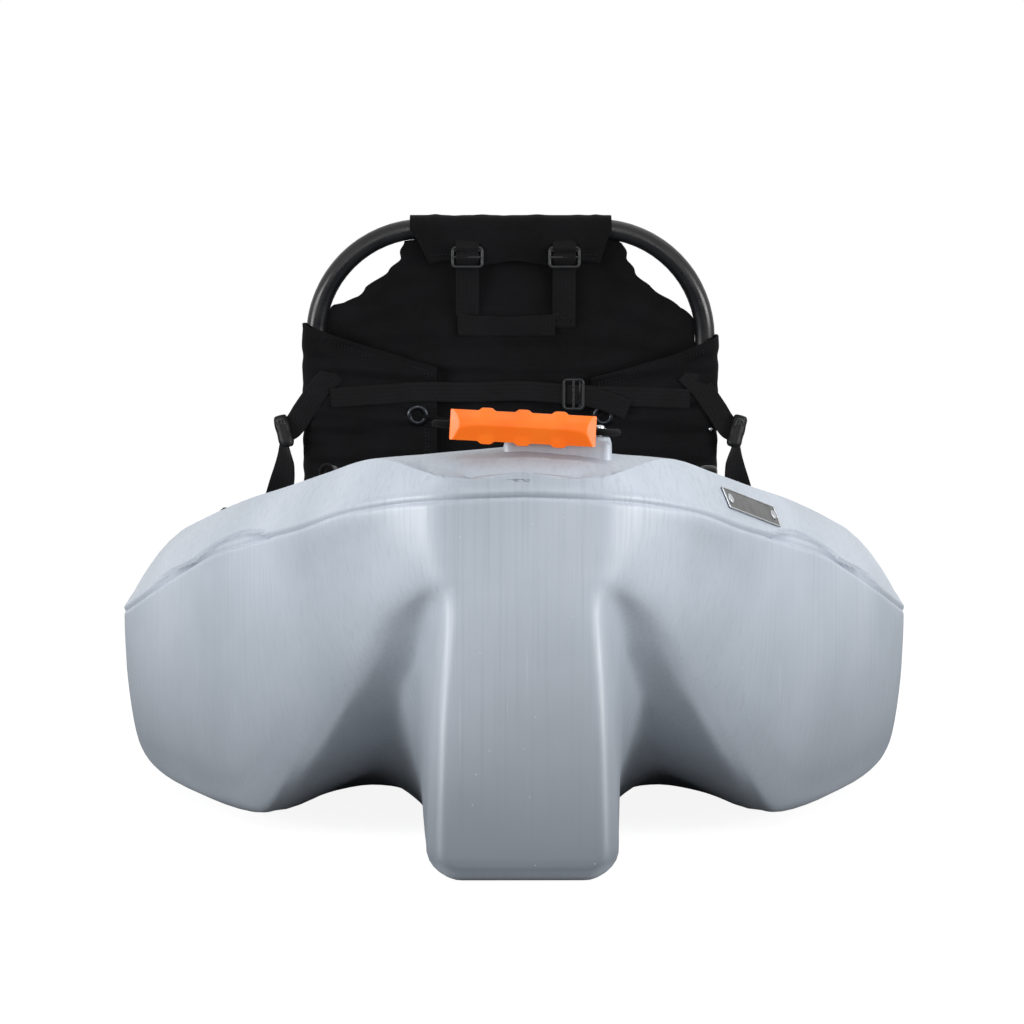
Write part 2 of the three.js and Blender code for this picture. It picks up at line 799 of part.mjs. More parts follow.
const sternPadSolid = box(
  sternPad.fromX,
  sternPad.toX,
  sternPadY - sternPad.depth / 2,
  sternPadY + sternPad.depth / 2,
  sternPadTop - overrun,
  sternPadTop,
);
const bossX = sternPad.toX - sternPad.screwInset;
const sternBoss = moved(bar(sternPad.boss, overrun), bossX, sternPadY, sternBossTop - overrun / 2);
const bowPadSolid = box(
  -bowPad.halfWidth,
  bowPad.halfWidth,
  bowPadY - bowPad.depth / 2,
  bowPadY + bowPad.depth / 2,
  bowPadTop - overrun,
  bowPadTop,
);

const drainTop = deckHeight(0, drainY) + drainPlug.bossHeight;
const drainBoss = moved(bar(drainPlug.boss, overrun), 0, drainY, drainTop - overrun / 2);
const drainHole = moved(bar(drainPlug.stem + gap, 2 * overrun), 0, drainY, drainTop);

const dayHatchHole = moved(
  prism(circle(dayHatch.opening + dayHatch.wall + gap), -overrun, overrun),
  0,
  dayHatchY,
  consoleBlock.top,
);

function hullShell() {
  const filled = [
    cockpitWell(hull.wall),
    tankWellSolid(hull.wall),
    ...scupperBars(scupper.bore + scupper.wall),
  ];
  const cavity = hullSkin(innerShares, hull.wall).subtract(unite(filled));
  const cuts = [
    cockpitWell(0),
    tankWellSolid(0),
    ...scupperBars(scupper.bore),
    hatchRecess,
    dayHatchHole,
    drainHole,
    ...sides.map(([, side]) => rodHole(side)),
  ];
  return outerSkin
    .add(unite([sternPadSolid, sternBoss, bowPadSolid, drainBoss]))
    .subtract(cavity)
    .subtract(unite(cuts));
}
add('hull_shell', hullShell(), hullPlastic);

// Bow hatch

const rimTop = gap + hatch.flange;
const rimHole = hatchOutline(hatch.opening);
const rim = prism(hatchOutline(0), gap, rimTop, [rimHole])
  .add(prism(hatchOutline(hatch.ledge + gap), -hatch.neck, rimTop, [rimHole]));
add('bow_hatch_rim', rim, blackPlastic, hatchFrame);

const gasketEdge = (hatch.opening - hatch.gasketWidth) / 2;
const gasketLow = rimTop + gap;
const gasket = prism(
  hatchOutline(gasketEdge),
  gasketLow,
  gasketLow + hatch.gasket,
  [hatchOutline(gasketEdge + hatch.gasketWidth)],
);
add('bow_hatch_gasket', gasket, blackRubber, hatchFrame);

const lidLow = gasketLow + hatch.gasket + gap;
const earSpan = hatch.hingeWidth - 2 * (hatch.earWidth + gap);
const hingeBar = (width) => moved(barX(hatch.hingeRadius, width, 16), 0, hatchHinge.y, hatchHinge.z);
const hingePin = (radius, width) => moved(barX(radius, width, 12), 0, hatchHinge.y, hatchHinge.z);
const lidRings = [
  [-hatch.lidOverhang, lidLow],
  [-hatch.lidOverhang, lidLow + hatch.lid],
  [hatch.opening, lidLow + hatch.lid + hatch.lidCrown],
];
const lidWeb = box(
  -earSpan / 2,
  earSpan / 2,
  hatch.halfLength - hatch.opening,
  hatchHinge.y,
  lidLow,
  lidLow + hatch.lid,
);
const lid = loft(lidRings.map(([inset, z]) => lift(hatchOutline(inset), z)))
  .add(lidWeb)
  .add(hingeBar(earSpan))
  .subtract(hingePin(hatch.hingePin + gap, hatch.hingeWidth + overrun));
add('bow_hatch_lid', lid, hullPlastic, hatchFrame);

const hingeEar = (side) => {
  const x0 = side * (earSpan / 2 + gap);
  const x1 = side * (hatch.hingeWidth / 2);
  const post = box(
    Math.min(x0, x1),
    Math.max(x0, x1),
    hatchHinge.y - hatch.hingeRadius / 2,
    hatchHinge.y + hatch.hingeRadius,
    gap,
    hatchHinge.z,
  );
  const knuckle = barX(hatch.hingeRadius, Math.abs(x1 - x0), 16);
  return post.add(moved(knuckle, (x0 + x1) / 2, hatchHinge.y, hatchHinge.z));
};
const hinge = unite([hingeEar(-1), hingeEar(1), hingePin(hatch.hingePin, hatch.hingeWidth)]);
add('bow_hatch_hinge', hinge, blackPlastic, hatchFrame);

// Day hatch in the console

const dayFrame = new THREE.Group();
dayFrame.position.set(0, dayHatchY, consoleBlock.top + gap);
kayak.add(dayFrame);
const dayMouth = [circle(dayHatch.opening)];
const dayNeck = circle(dayHatch.opening + dayHatch.wall);
const dayRing = prism(circle(dayHatch.ring), 0, dayHatch.ringHeight, dayMouth)
  .add(prism(dayNeck, -dayHatch.neck, dayHatch.ringHeight, dayMouth));
add('day_hatch_ring', dayRing, blackPlastic, dayFrame);
const dayLidLow = dayHatch.ringHeight + gap;
const dayLidTop = dayLidLow + dayHatch.lidHeight;
const dayLidPlug = circle(dayHatch.opening - dayHatch.play);
const dayLid = prism(circle(dayHatch.lid), dayLidLow, dayLidTop)
  .add(prism(dayLidPlug, dayLidLow - dayHatch.neck / 2, dayLidLow + gap))
  .add(box(
    -dayHatch.opening,
    dayHatch.opening,
    -dayHatch.bar / 2,
    dayHatch.bar / 2,
    dayLidTop - gap,
    dayLidTop + dayHatch.bar,
  ));
add('day_hatch_lid', dayLid, blackPlastic, dayFrame);

// Drain plug

const plug = moved(bar(drainPlug.head, drainPlug.headHeight), 0, 0, gap + drainPlug.headHeight / 2)
  .add(moved(bar(drainPlug.stem, drainPlug.stemLength), 0, 0, -drainPlug.stemLength / 2 + 2 * gap))
  .add(box(
    -drainPlug.head,
    drainPlug.head,
    -drainPlug.bar / 2,
    drainPlug.bar / 2,
    drainPlug.headHeight,
    drainPlug.headHeight + drainPlug.bar,
  ).intersect(moved(bar(drainPlug.head, overrun), 0, 0, 0)));
add('drain_plug', plug, blackPlastic).position.set(0, drainY, drainTop);

// Rod holders

for (const [name, side] of sides) {
  const frame = rodHolderFrame(side);
  const seatZ = deckHeight(rodHolderX, rodHolderY);
  const axisBar = (radius, length, low) => placed(
    moved(bar(radius, length, 20), 0, 0, low + length / 2),
    frame,
  );
  const body = axisBar(rodOuter, rodHolder.length + overrun, -rodHolder.length)
    .subtract(moved(
      box(-overrun, overrun, -overrun, overrun, 0, 2 * overrun),
      side * rodHolderX,
      rodHolderY,
      seatZ + rodHolder.flangeHeight,
    ));
  const flange = onDeck(moved(
    bar(rodHolder.flange, 2 * rodHolder.flangeHeight, 28),
    side * rodHolderX,
    rodHolderY,
    seatZ,
  ));
  const bore = axisBar(rodHolder.bore, rodHolder.length + overrun, -rodHolder.length + rodHolder.wall);
  add(`rod_holder_${name}`, body.add(flange).subtract(bore), blackPlastic);
}

// Gear tracks with a T slot

for (const [name, side] of sides) {
  const ends = [gearTrackAft, gearTrackAft + gearTrack.length];
  const deck = Math.max(...ends.map((y) => deckHeight(gearTrackX, y)));
  const top = deck + gearTrack.height;
  const half = gearTrack.width / 2;
  const blank = box(-half, half, ...ends, deck - gearTrack.height, top);
  const past = [ends[0] - overrun, ends[1] + overrun];
  const grooveTop = top - gearTrack.lip;
  const grooveLow = grooveTop - gearTrack.grooveHeight;
  const slot = box(-gearTrack.slot / 2, gearTrack.slot / 2, ...past, grooveLow, top + overrun);
  const groove = box(-gearTrack.groove / 2, gearTrack.groove / 2, ...past, grooveLow, grooveTop);
  const track = moved(blank.subtract(slot.add(groove)), side * gearTrackX, 0, 0);
  add(`gear_track_${name}`, onDeck(track), blackTube);
}

// Foot braces: a rail on each side wall and a pedal that slides on its rib

for (const [name, side] of sides) {
  const wallX = cockpitHalf - gap;
  const outline = (points) => points.map(([x, z]) => v2(side * x, footBrace.z + z));
  const railHalf = footBrace.height / 2;
  const inner = wallX - footBrace.base;
  const ribX = inner - footBrace.ribHeight;
  const ribHalf = footBrace.rib / 2;
  const rail = alongY(outline([
    [wallX, -railHalf], [wallX, railHalf], [inner, railHalf], [inner, ribHalf],
    [ribX, ribHalf], [ribX, -ribHalf], [inner, -ribHalf], [inner, -railHalf],
  ]), footRailAft, footRailAft + footBrace.length);
  add(`foot_rail_${name}`, rail, blackTube);
  const wrapHalf = footBrace.carriage / 2;
  const slotHalf = ribHalf + gap;
  const wrapOuter = inner - gap;
  const wrapInner = ribX - gap;
  const face = wrapInner - footBrace.wrap;
  const from = footRailAft + footBrace.start;
  const to = from + footBrace.carriageLength;
  const carriage = alongY(outline([
    [wrapOuter, -wrapHalf], [wrapOuter, -slotHalf], [wrapInner, -slotHalf], [wrapInner, slotHalf],
    [wrapOuter, slotHalf], [wrapOuter, wrapHalf], [face, wrapHalf], [face, -wrapHalf],
  ]), from, to);
  const plate = roundedRect(footBrace.pedalWidth / 2, footBrace.pedalHeight / 2, 2 * footBrace.wrap);
  const pedal = moved(
    alongY(plate, 0, footBrace.pedal).rotate([-footBrace.pedalLean, 0, 0]),
    side * (face - footBrace.pedalWidth / 2 + footBrace.wrap / 2),
    (from + to) / 2,
    footBrace.z,
  );
  add(`foot_pedal_${name}`, carriage.add(pedal), blackPlastic);
}

// Carry handles: a moulded grip on a rope whose ends are held by two screws. The hinge line is
// the handle frame's X axis and the grip lies towards -Y.

function gripSolid(size) {
  const [halfY, halfZ] = [size.gripDepth / 2, size.gripHeight / 2];
  const [flatY, flatZ] = [halfY * size.flatShare, halfZ * size.flatShare];
  const half = size.grip / 2;
  const section = [
    v2(-halfY, -flatZ), v2(-flatY, -halfZ), v2(flatY, -halfZ), v2(halfY, -flatZ),
    v2(halfY, flatZ), v2(flatY, halfZ), v2(-flatY, halfZ), v2(-halfY, flatZ),
  ];
  const grow = (points, by) => points.map((point) => point.clone().multiplyScalar(1 + by / halfZ));
  const pitch = size.grip / (size.ribs + 1);
  const ribs = Array.from({ length: size.ribs }, (_, i) => {
    const middle = (i - (size.ribs - 1) / 2) * pitch;
    return alongX(grow(section, size.rib), middle - size.ribWidth / 2, middle + size.ribWidth / 2);
  });
  const recess = (side) => {
    const ring = (x, share) => section.map((point) => v3(side * x, point.x * share, point.y * share));
    const [floor, mouth] = size.recessShares;
    return loft([ring(half - size.endRecess, floor), ring(half + gap, mouth)]);
  };
  return unite([alongX(section, -half, half), ...ribs])
    .subtract(recess(-1))
    .subtract(recess(1))
    .subtract(barX(size.ropeBore, size.grip + overrun, 10));
}

function carryHandle(name, frame, screws, drop, material) {
  const grip = gripSolid(handle);
  const holder = new THREE.Group();
  holder.position.set(0, -handle.reach, drop);
  holder.rotation.y = rad(handle.roll);
  frame.add(holder);
  add(`${name}_grip`, grip, material, holder);
  const half = handle.grip / 2;
  const turn = handle.endRecess;
  const level = (x) => v3(x, -handle.reach, drop - x * Math.tan(rad(handle.roll)));
  const eye = handle.screwHead / 2 + handle.rope;
  const [left, right] = screws.map((x) => v3(x, 0, 0));
  const rope = tube(cordPath([
    left.clone().add(v3(-eye, 0, 0)),
    left.clone().add(v3(-eye - turn / 2, -turn / 2, 0)),
    level(-half - turn).add(v3(0, turn, 0)),
    level(-half - turn / 4).add(v3(0, turn / 8, 0)),
    level(-half + turn),
    level(0),
    level(half - turn),
    level(half + turn / 4).add(v3(0, turn / 8, 0)),
    level(half + turn).add(v3(0, turn, 0)),
    right.clone().add(v3(eye + turn / 2, -turn / 2, 0)),
    right.clone().add(v3(eye, 0, 0)),
  ]), handle.rope, 6, 24);
  const screwBars = screws.map((x) => moved(bar(handle.screwHead / 2 + gap, overrun, 12), x, 0, 0));
  add(`${name}_rope`, rope.subtract(unite(screwBars)), blackWebbing, frame);
}

const sternScrewXs = [sternPad.fromX + sternPad.screwInset, bossX];
const sternFrame = new THREE.Group();
const ropeLift = handle.rope + gap;
sternFrame.position.set(0, sternPadY, sternBossTop + ropeLift);
kayak.add(sternFrame);
carryHandle('stern_handle', sternFrame, sternScrewXs, handle.screwHeight, orangePlastic);

const bowFrame = new THREE.Group();
bowFrame.position.set(0, bowPadY, bowPadTop + ropeLift);
bowFrame.rotation.z = Math.PI;
kayak.add(bowFrame);
const bowScrewX = bowPad.halfWidth - bowPad.screwInset;
carryHandle('bow_handle', bowFrame, [-bowScrewX, bowScrewX], handle.screwHeight, orangePlastic);

for (const [name, side] of sides) {
  const frame = new THREE.Group();
  const hingeZ = deckHeight(sideHandleX, sideHandleY) + sideHandle.lift;
  frame.position.set(side * sideHandleX, sideHandleY, hingeZ);
  frame.rotation.z = (side * Math.PI) / 2;
  kayak.add(frame);
  const screws = [-sideHandle.halfSpan, sideHandle.halfSpan];
  carryHandle(`side_handle_${name}`, frame, screws, handle.screwHeight, blackRubber);
}

// Stern handle screws, and the boss under each

sternScrewXs.forEach((x, i) => {
  const foot = i ? sternBossTop : sternPadTop;
  const height = sternBossTop + 2 * handle.rope + handle.screwHeight - foot;
  const screw = moved(bar(handle.screwHead / 2, height, 14), x, sternPadY, foot + gap + height / 2);
  add(`stern_handle_screw_${i + 1}`, screw, steel);
});

// Seat base

const tubeRadius = seat.tube / 2;
const backX = seat.width / 2 - tubeRadius;
const baseX = backX - seat.tube - seat.sideGap;
const sideStrapX = backX - webbing.sideInset;
const baseFront = pivotY + seat.baseReach;
const baseTail = pivotY - seat.tail;

const baseFrame = new THREE.Group();
baseFrame.position.z = seat.baseHeight;
kayak.add(baseFrame);
const basePath = bentPath([
  v3(-baseX, baseTail, 0),
  v3(-baseX, baseFront, 0),
  v3(baseX, baseFront, 0),
  v3(baseX, baseTail, 0),
], seat.baseCorner);
const pivotRise = seat.pivotHeight - seat.baseHeight;
const boltHole = moved(barX(seat.bolt + gap, seat.width + overrun, 12), 0, pivotY, pivotRise);
const hingePlate = (side) => {
  const plate = roundedRect(seat.bracketRadius, (pivotRise + seat.bracketRadius) / 2, seat.bracketRadius);
  const outer = baseX + tubeRadius;
  return moved(
    alongX(plate, side > 0 ? outer - seat.bracket : -outer, side > 0 ? outer : -outer + seat.bracket),
    0,
    pivotY,
    (pivotRise + seat.bracketRadius) / 2,
  );
};
const baseTube = tube(basePath, tubeRadius, 10, 32);
const seatBase = unite([baseTube, hingePlate(-1), hingePlate(1)]).subtract(boltHole);
add('seat_base_frame', seatBase, blackTube, baseFrame);

const baseTubeGrown = tube(basePath, tubeRadius + gap, 10, 32);
const crossbarY = baseTail + seat.crossbarReach;
const crossbar = moved(barX(seat.crossbar / 2, 2 * baseX, 12), 0, crossbarY, 0).subtract(baseTubeGrown);
add('seat_rear_crossbar', crossbar, blackTube, baseFrame);

const skid = cockpit.floor + seat.leg / 2 + gap - seat.baseHeight;
const legFrontY = baseFront - seat.legFront;
const legRearY = baseTail + seat.legRear;
for (const [name, side] of sides) {
  const leg = tube(bentPath([
    v3(side * baseX, legRearY, 0),
    v3(side * baseX, legRearY - seat.legRake, skid),
    v3(side * baseX, legFrontY + seat.legRake, skid),
    v3(side * baseX, legFrontY, 0),
  ], seat.legCorner), seat.leg / 2, 8, 24);
  add(`seat_leg_${name}`, leg.subtract(baseTubeGrown), blackTube, baseFrame);
}

const slingX = baseX - tubeRadius - cloth.clear;
const slingAft = crossbarY + seat.crossbar / 2 + cloth.clear;
const slingFore = baseFront - tubeRadius - cloth.clear;
const slingCorner = seat.baseCorner;
const baseSling = sheet((u, v) => {
  const y = slingAft + (slingFore - slingAft) * v;
  const into = Math.max(0, y - slingFore + slingCorner);
  const half = slingX - slingCorner + Math.sqrt(Math.max(0, slingCorner ** 2 - into ** 2));
  const dip = Math.sin(Math.PI * u) * Math.sin(Math.PI * v);
  return v3(-half + 2 * half * u, y, -cloth.baseSag * dip);
}, 8, 12, cloth.thick);
add('seat_base_sling', baseSling, blackCloth, baseFrame);

for (const [name, side] of sides) {
  const from = baseX + tubeRadius - seat.bracket - seat.boltHeadHeight - gap;
  const to = backX + tubeRadius + seat.boltHeadHeight + gap;
  const middle = (from + to) / 2;
  const bolt = moved(barX(seat.bolt, to - from, 12), middle, 0, 0)
    .add(moved(barX(seat.boltHead, seat.boltHeadHeight, 6), from + seat.boltHeadHeight / 2, 0, 0))
    .add(moved(barX(seat.boltHead, seat.boltHeadHeight, 16), to - seat.boltHeadHeight / 2, 0, 0));
  const mesh = add(`seat_pivot_bolt_${name}`, side > 0 ? bolt : bolt.rotate([0, 0, 180]), steel);
  mesh.position.set(0, pivotY, seat.pivotHeight);
}

// Seat back, in a frame that leans back about the pivot

const backFrame = new THREE.Group();
backFrame.position.set(0, pivotY, seat.pivotHeight);
backFrame.rotation.x = rad(seat.lean);
kayak.add(backFrame);
const backTop = (seat.top - seat.pivotHeight) / Math.cos(rad(seat.lean)) - tubeRadius;
const backPath = bentPath([
  v3(-backX, 0, -seat.tail),
  v3(-backX, 0, backTop),
  v3(backX, 0, backTop),
  v3(backX, 0, -seat.tail),
], seat.cornerRadius);
const backTube = tube(backPath, tubeRadius, 12, 40)
  .subtract(barX(seat.bolt + gap, seat.width + overrun, 12));
add('seat_back_frame', backTube, blackTube, backFrame);

const panelHalf = backX - tubeRadius - cloth.clear;
const panelLow = cloth.wingBottom;
const panelHigh = backTop - tubeRadius - cloth.clear;
const insideArch = (z) => {
  const radius = seat.cornerRadius - tubeRadius - 2 * cloth.clear;
  const rise = Math.max(0, z - backTop + seat.cornerRadius);
  return backX - seat.cornerRadius + Math.sqrt(Math.max(0, radius ** 2 - rise ** 2));
};
const backPanel = sheet((u, v) => {
  const z = panelLow + (panelHigh - panelLow) * v;
  const half = Math.min(panelHalf * between(backEdgeShares, v), insideArch(z));
  const dip = Math.sin(Math.PI * u) * Math.sin(Math.PI * v);
  return v3(-half + 2 * half * u, -cloth.backSag * dip, z);
}, 10, 14, cloth.thick);
add('seat_back_panel', backPanel, blackCloth, backFrame);

const wingBack = -(tubeRadius + cloth.clear + cloth.skin);
const skinSteps = 8;

// A skin round the tube's outside: from the middle, behind the tube, round it and a little in front
function wingOutline(side) {
  const inside = tubeRadius + cloth.clear;
  const outside = inside + cloth.skin;
  const arc = (radius) => Array.from({ length: skinSteps + 1 }, (_, i) => {
    const angle = -Math.PI / 2 + (Math.PI * i) / skinSteps;
    return [backX + radius * Math.cos(angle), radius * Math.sin(angle)];
  });
  return [
    [cloth.wingInner, -outside],
    ...arc(outside),
    [backX - cloth.wingFlap, outside],
    [backX - cloth.wingFlap, inside],
    ...arc(inside).reverse(),
    [cloth.wingInner, -inside],
  ].map(([x, y]) => v2(side * x, y));
}
for (const [name, side] of sides) {
  const skin = prism(wingOutline(side), cloth.wingBottom, cloth.wingTopOuter);
  const reach = backX + tubeRadius + overrun;
  const slope = (cloth.wingTopOuter - cloth.wingTopInner) / (backX - cloth.wingInner);
  const topAt = (x) => cloth.wingTopInner + slope * (x - cloth.wingInner);
  const cut = alongY([
    v2(0, topAt(0)),
    v2(side * reach, topAt(reach)),
    v2(side * reach, topAt(reach) + overrun * 2),
    v2(0, topAt(reach) + overrun * 2),
  ], -overrun, overrun);
  const eyelet = moved(barY(grommet.bore, overrun, 14), side * grommet.x, wingBack, grommet.height);
  add(`seat_wing_${name}`, skin.subtract(cut).subtract(eyelet), blackCloth, backFrame);
}

const sleeveIn = tubeRadius + cloth.clear;
const sleeveOut = sleeveIn + cloth.skin;
const sleeveArc = (radius) => Array.from({ length: skinSteps + 1 }, (_, i) => {
  const angle = (Math.PI * i) / skinSteps;
  return v2(radius * Math.cos(angle), radius * Math.sin(angle));
});
const sleeveOutline = [
  v2(sleeveOut, -cloth.sleeveFlap + tubeRadius),
  ...sleeveArc(sleeveOut),
  v2(-sleeveOut, -cloth.sleeveFlap + tubeRadius),
  v2(-sleeveIn, -cloth.sleeveFlap + tubeRadius),
  ...sleeveArc(sleeveIn).reverse(),
  v2(sleeveIn, -cloth.sleeveFlap + tubeRadius),
];
const sleeveTaperCut = (side) => alongY([
  v2(side * cloth.sleeveHalf, -tubeRadius),
  v2(side * (cloth.sleeveHalf - cloth.sleeveTaper), -cloth.sleeveFlap - overrun),
  v2(side * (cloth.sleeveHalf + overrun), -cloth.sleeveFlap - overrun),
  v2(side * (cloth.sleeveHalf + overrun), -tubeRadius),
], -overrun, overrun);
const sleeve = alongX(sleeveOutline, -cloth.sleeveHalf, cloth.sleeveHalf)
  .subtract(sleeveTaperCut(-1))
  .subtract(sleeveTaperCut(1));
add('seat_top_sleeve', sleeve, blackCloth, backFrame).position.z = backTop;

// Ladder lock: a plate with two slots and three bars
function ladderLockSolid(size) {
  const plate = roundedRect(size.width / 2, size.height / 2, size.bar);
  const slot = (z) => {
    const half = (size.width - 2 * size.bar) / 2;
    const [low, high] = [z - size.slot / 2, z + size.slot / 2];
    return [v2(-half, low), v2(half, low), v2(half, high), v2(-half, high)];
  };
  const offset = (size.slot + size.bar) / 2;
  return alongY(plate, -size.thick, 0, [slot(-offset), slot(offset)]);
}

const strapBack = wingBack - gap;
for (const [name, side] of sides) {
  const buckleZ = backTop - webbing.topBuckleDrop;
  const buckle = moved(ladderLockSolid(ladderLock), side * webbing.topX, strapBack, buckleZ);
  add(`top_buckle_${name}`, buckle, blackPlastic, backFrame);
  const strapTop = buckleZ - ladderLock.height / 2 - gap;
  const x = side * webbing.topX;
  const strap = box(
    x - webbing.width / 2,
    x + webbing.width / 2,
    strapBack - webbing.thick,
    strapBack,
    strapTop - webbing.topStrap,
    strapTop,
  );
  add(`top_strap_${name}`, strap, blackWebbing, backFrame);
}

// Waist webbing across the wings, with its buckle
const waistHalf = sideStrapX - webbing.width;
const waist = box(
  -waistHalf,
  waistHalf,
  strapBack - webbing.thick,
  strapBack,
  webbing.waistHeight - webbing.width / 2,
  webbing.waistHeight + webbing.width / 2,
);
add('waist_webbing', waist, blackWebbing, backFrame);
const waistBuckle = moved(
  ladderLockSolid(ladderLock).rotate([0, 90, 0]),
  webbing.waistBuckleX,
  strapBack - webbing.thick - gap,
  webbing.waistHeight,
);
add('waist_buckle', waistBuckle, blackPlastic, backFrame);

for (const [name, side] of sides) {
  const ring = alongY(circle(grommet.outer, 20), -grommet.thick, 0, [circle(grommet.bore, 14)]);
  add(`grommet_${name}`, moved(ring, side * grommet.x, wingBack - gap, grommet.height), steel, backFrame);
}

// Lacing cord between the grommets
const laceY = wingBack - lacing.radius - 2 * gap;
const laceHalf = grommet.x - lacing.radius;
const lace = tube(cordPath([
  v3(-laceHalf, laceY, grommet.height),
  v3(-laceHalf / 2, laceY - grommet.outer, grommet.height - lacing.sag / 2),
  v3(0, laceY - grommet.outer, grommet.height - lacing.sag),
  v3(laceHalf / 2, laceY - grommet.outer, grommet.height - lacing.sag / 2),
  v3(laceHalf, laceY, grommet.height),
]), lacing.radius, 8, 20);
const grommetKeep = sides.map(([, side]) => moved(
  alongY(circle(grommet.outer + gap, 20), -grommet.thick - gap, overrun, [circle(grommet.bore - gap, 14)]),
  side * grommet.x,
  wingBack - gap,
  grommet.height,
));
add('lacing_cord', lace.subtract(unite(grommetKeep)), blackWebbing, backFrame);

// Side straps down to the hull's strap eyes, and the buckle on each

const eyeTop = deckHeight(strapEyeX, strapEyeY) + strapEye.loop;
const strapBase = strapBack - webbing.thick;
const strapStart = v3(sideStrapX, strapBase, webbing.sideHeight);
const strapKnee = v3(sideStrapX + webbing.sideOut, strapBase, webbing.sideHeight - webbing.sideDrop);
const inWorld = (point) => point.clone()
  .applyAxisAngle(v3(1, 0, 0), rad(seat.lean))
  .add(v3(0, pivotY, seat.pivotHeight));

// A flat run of strap between two places, with its face towards the stern
function strapRun(from, to) {
  const along = to.clone().sub(from);
  const across = along.clone().cross(v3(0, 1, 0)).normalize();
  const face = along.clone().cross(across).normalize();
  const run = new THREE.Group();
  run.matrix.makeBasis(across, face, along.clone().normalize());
  run.quaternion.setFromRotationMatrix(run.matrix);
  run.position.copy(from);
  const half = webbing.width / 2;
  return placed(box(-half, half, -webbing.thick / 2, webbing.thick / 2, 0, along.length()), run);
}
for (const [name, side] of sides) {
  const ends = [
    inWorld(strapStart),
    inWorld(strapKnee),
    v3(strapEyeX, strapEyeY, eyeTop + strapEye.bar / 2 + webbing.width / 4),
  ];
  const [start, knee, end] = ends.map((point) => v3(side * point.x, point.y, point.z));
  add(`side_strap_${name}`, strapRun(start, knee).add(strapRun(knee, end)), blackWebbing);
  const facing = new THREE.Group();
  facing.position.set(side * strapKnee.x, strapBase - webbing.thick - 2 * gap, strapKnee.z);
  facing.rotation.y = -side * Math.atan2(webbing.sideOut, webbing.sideDrop);
  add(`side_buckle_${name}`, ladderLockSolid(ladderLock), blackPlastic, facing);
  backFrame.add(facing);
  const eye = onDeck(box(
    -strapEye.width / 2,
    strapEye.width / 2,
    -strapEye.depth / 2,
    strapEye.depth / 2,
    -strapEye.base,
    strapEye.base,
  ).translate([side * strapEyeX, strapEyeY, eyeTop - strapEye.loop]));
  const loopPath = bentPath([
    v3(-strapEye.loop, 0, 0),
    v3(-strapEye.loop, 0, strapEye.loop),
    v3(strapEye.loop, 0, strapEye.loop),
    v3(strapEye.loop, 0, 0),
  ], strapEye.bar);
  const loopTube = tube(loopPath, strapEye.bar / 2, 6, 18);
  const loop = moved(loopTube, side * strapEyeX, strapEyeY, eyeTop - strapEye.loop);
  add(`strap_eye_${name}`, eye.add(loop.subtract(raisedDeck)), blackPlastic);
}

// Tank well bungee, laced between four eyes on the deck

const tankSpan = tankForward - tankAft;
const eyePlaces = bungee.eyeShares.map((share) => {
  const y = tankAft + tankSpan * share;
  const half = tankWell.aftHalfWidth + (tankForwardHalf - tankWell.aftHalfWidth) * share;
  return [half + bungee.eyeInset, y];
});
const eyes = [];
const eyePoints = new Map();
for (const [name, side] of sides) {
  eyePlaces.forEach(([x, y], i) => {
    const top = deckHeight(x, y) + bungee.eyeHeight;
    const post = bar(bungee.eyeHeight / 2, bungee.eyeHeight * 2, 12);
    const standing = onDeck(moved(post, side * x, y, top - bungee.eyeHeight));
    eyes.push({ name: `tank_well_eye_${name}_${i + 1}`, post: standing });
    eyePoints.set(side * (i + 1), v3(side * x, y, top - bungee.lift / 2));
  });
}
const eyeAt = (side, i) => eyePoints.get(side * (i + 1));
const beside = (point, dy) => point.clone().add(v3(0, dy, 0));
const step = bungee.eyeHeight;
const bungeePath = cordPath([
  beside(eyeAt(-1, 0), -step),
  beside(eyeAt(-1, 0), step),
  beside(eyeAt(1, 0), -2 * step).add(v3(-2 * step, 0, 0)),
  beside(eyeAt(1, 0), -step),
  beside(eyeAt(1, 0), step),
  eyeAt(1, 0).clone().lerp(eyeAt(-1, 1), 0.5),
  beside(eyeAt(-1, 1), -step),
  beside(eyeAt(-1, 1), step),
  beside(eyeAt(1, 1), -2 * step).add(v3(-2 * step, 0, 0)),
  beside(eyeAt(1, 1), -step),
  beside(eyeAt(1, 1), step),
]);
add('tank_well_bungee', tube(bungeePath, bungee.radius, 6, 60), blackRubber);
const bungeeGroove = tube(bungeePath, bungee.radius + gap, 6, 60);
for (const { name, post } of eyes) add(name, post.subtract(bungeeGroove), blackPlastic);

// Bare identification plate on the starboard quarter

function hullFrame(share, ringPlace) {
  const at = (s, i) => {
    const half = halfSection(s);
    const low = Math.floor(i);
    const point = half[low].clone().lerp(half[low + 1], i - low);
    return v3(point.x, sternY + s * hull.length, point.y);
  };
  const small = 0.004;
  const along = at(share + small, ringPlace).sub(at(share - small, ringPlace)).normalize();
  const up = at(share, ringPlace + small).sub(at(share, ringPlace)).normalize();
  const normal = along.clone().cross(up).normalize();
  const frame = new THREE.Group();
  frame.position.copy(at(share, ringPlace));
  frame.matrix.makeBasis(along, normal.clone().cross(along), normal);
  frame.quaternion.setFromRotationMatrix(frame.matrix);
  return { frame, normal };
}
const plateFrame = hullFrame(namePlate.share, namePlate.ringPlace);
const plateBlank = placed(prism(
  roundedRect(namePlate.length / 2, namePlate.width / 2, namePlate.thick, 3),
  -overrun / 2,
  overrun / 2,
).rotate([0, 0, namePlate.turn]), plateFrame.frame);
const skinOut = (distance) => {
  const shift = plateFrame.normal.clone().multiplyScalar(distance);
  return outerSkin.translate(shift.toArray());
};
const plate = plateBlank.intersect(skinOut(gap + namePlate.thick)).subtract(skinOut(gap));
add('hin_plate', plate, plateBlack);

export default kayak;
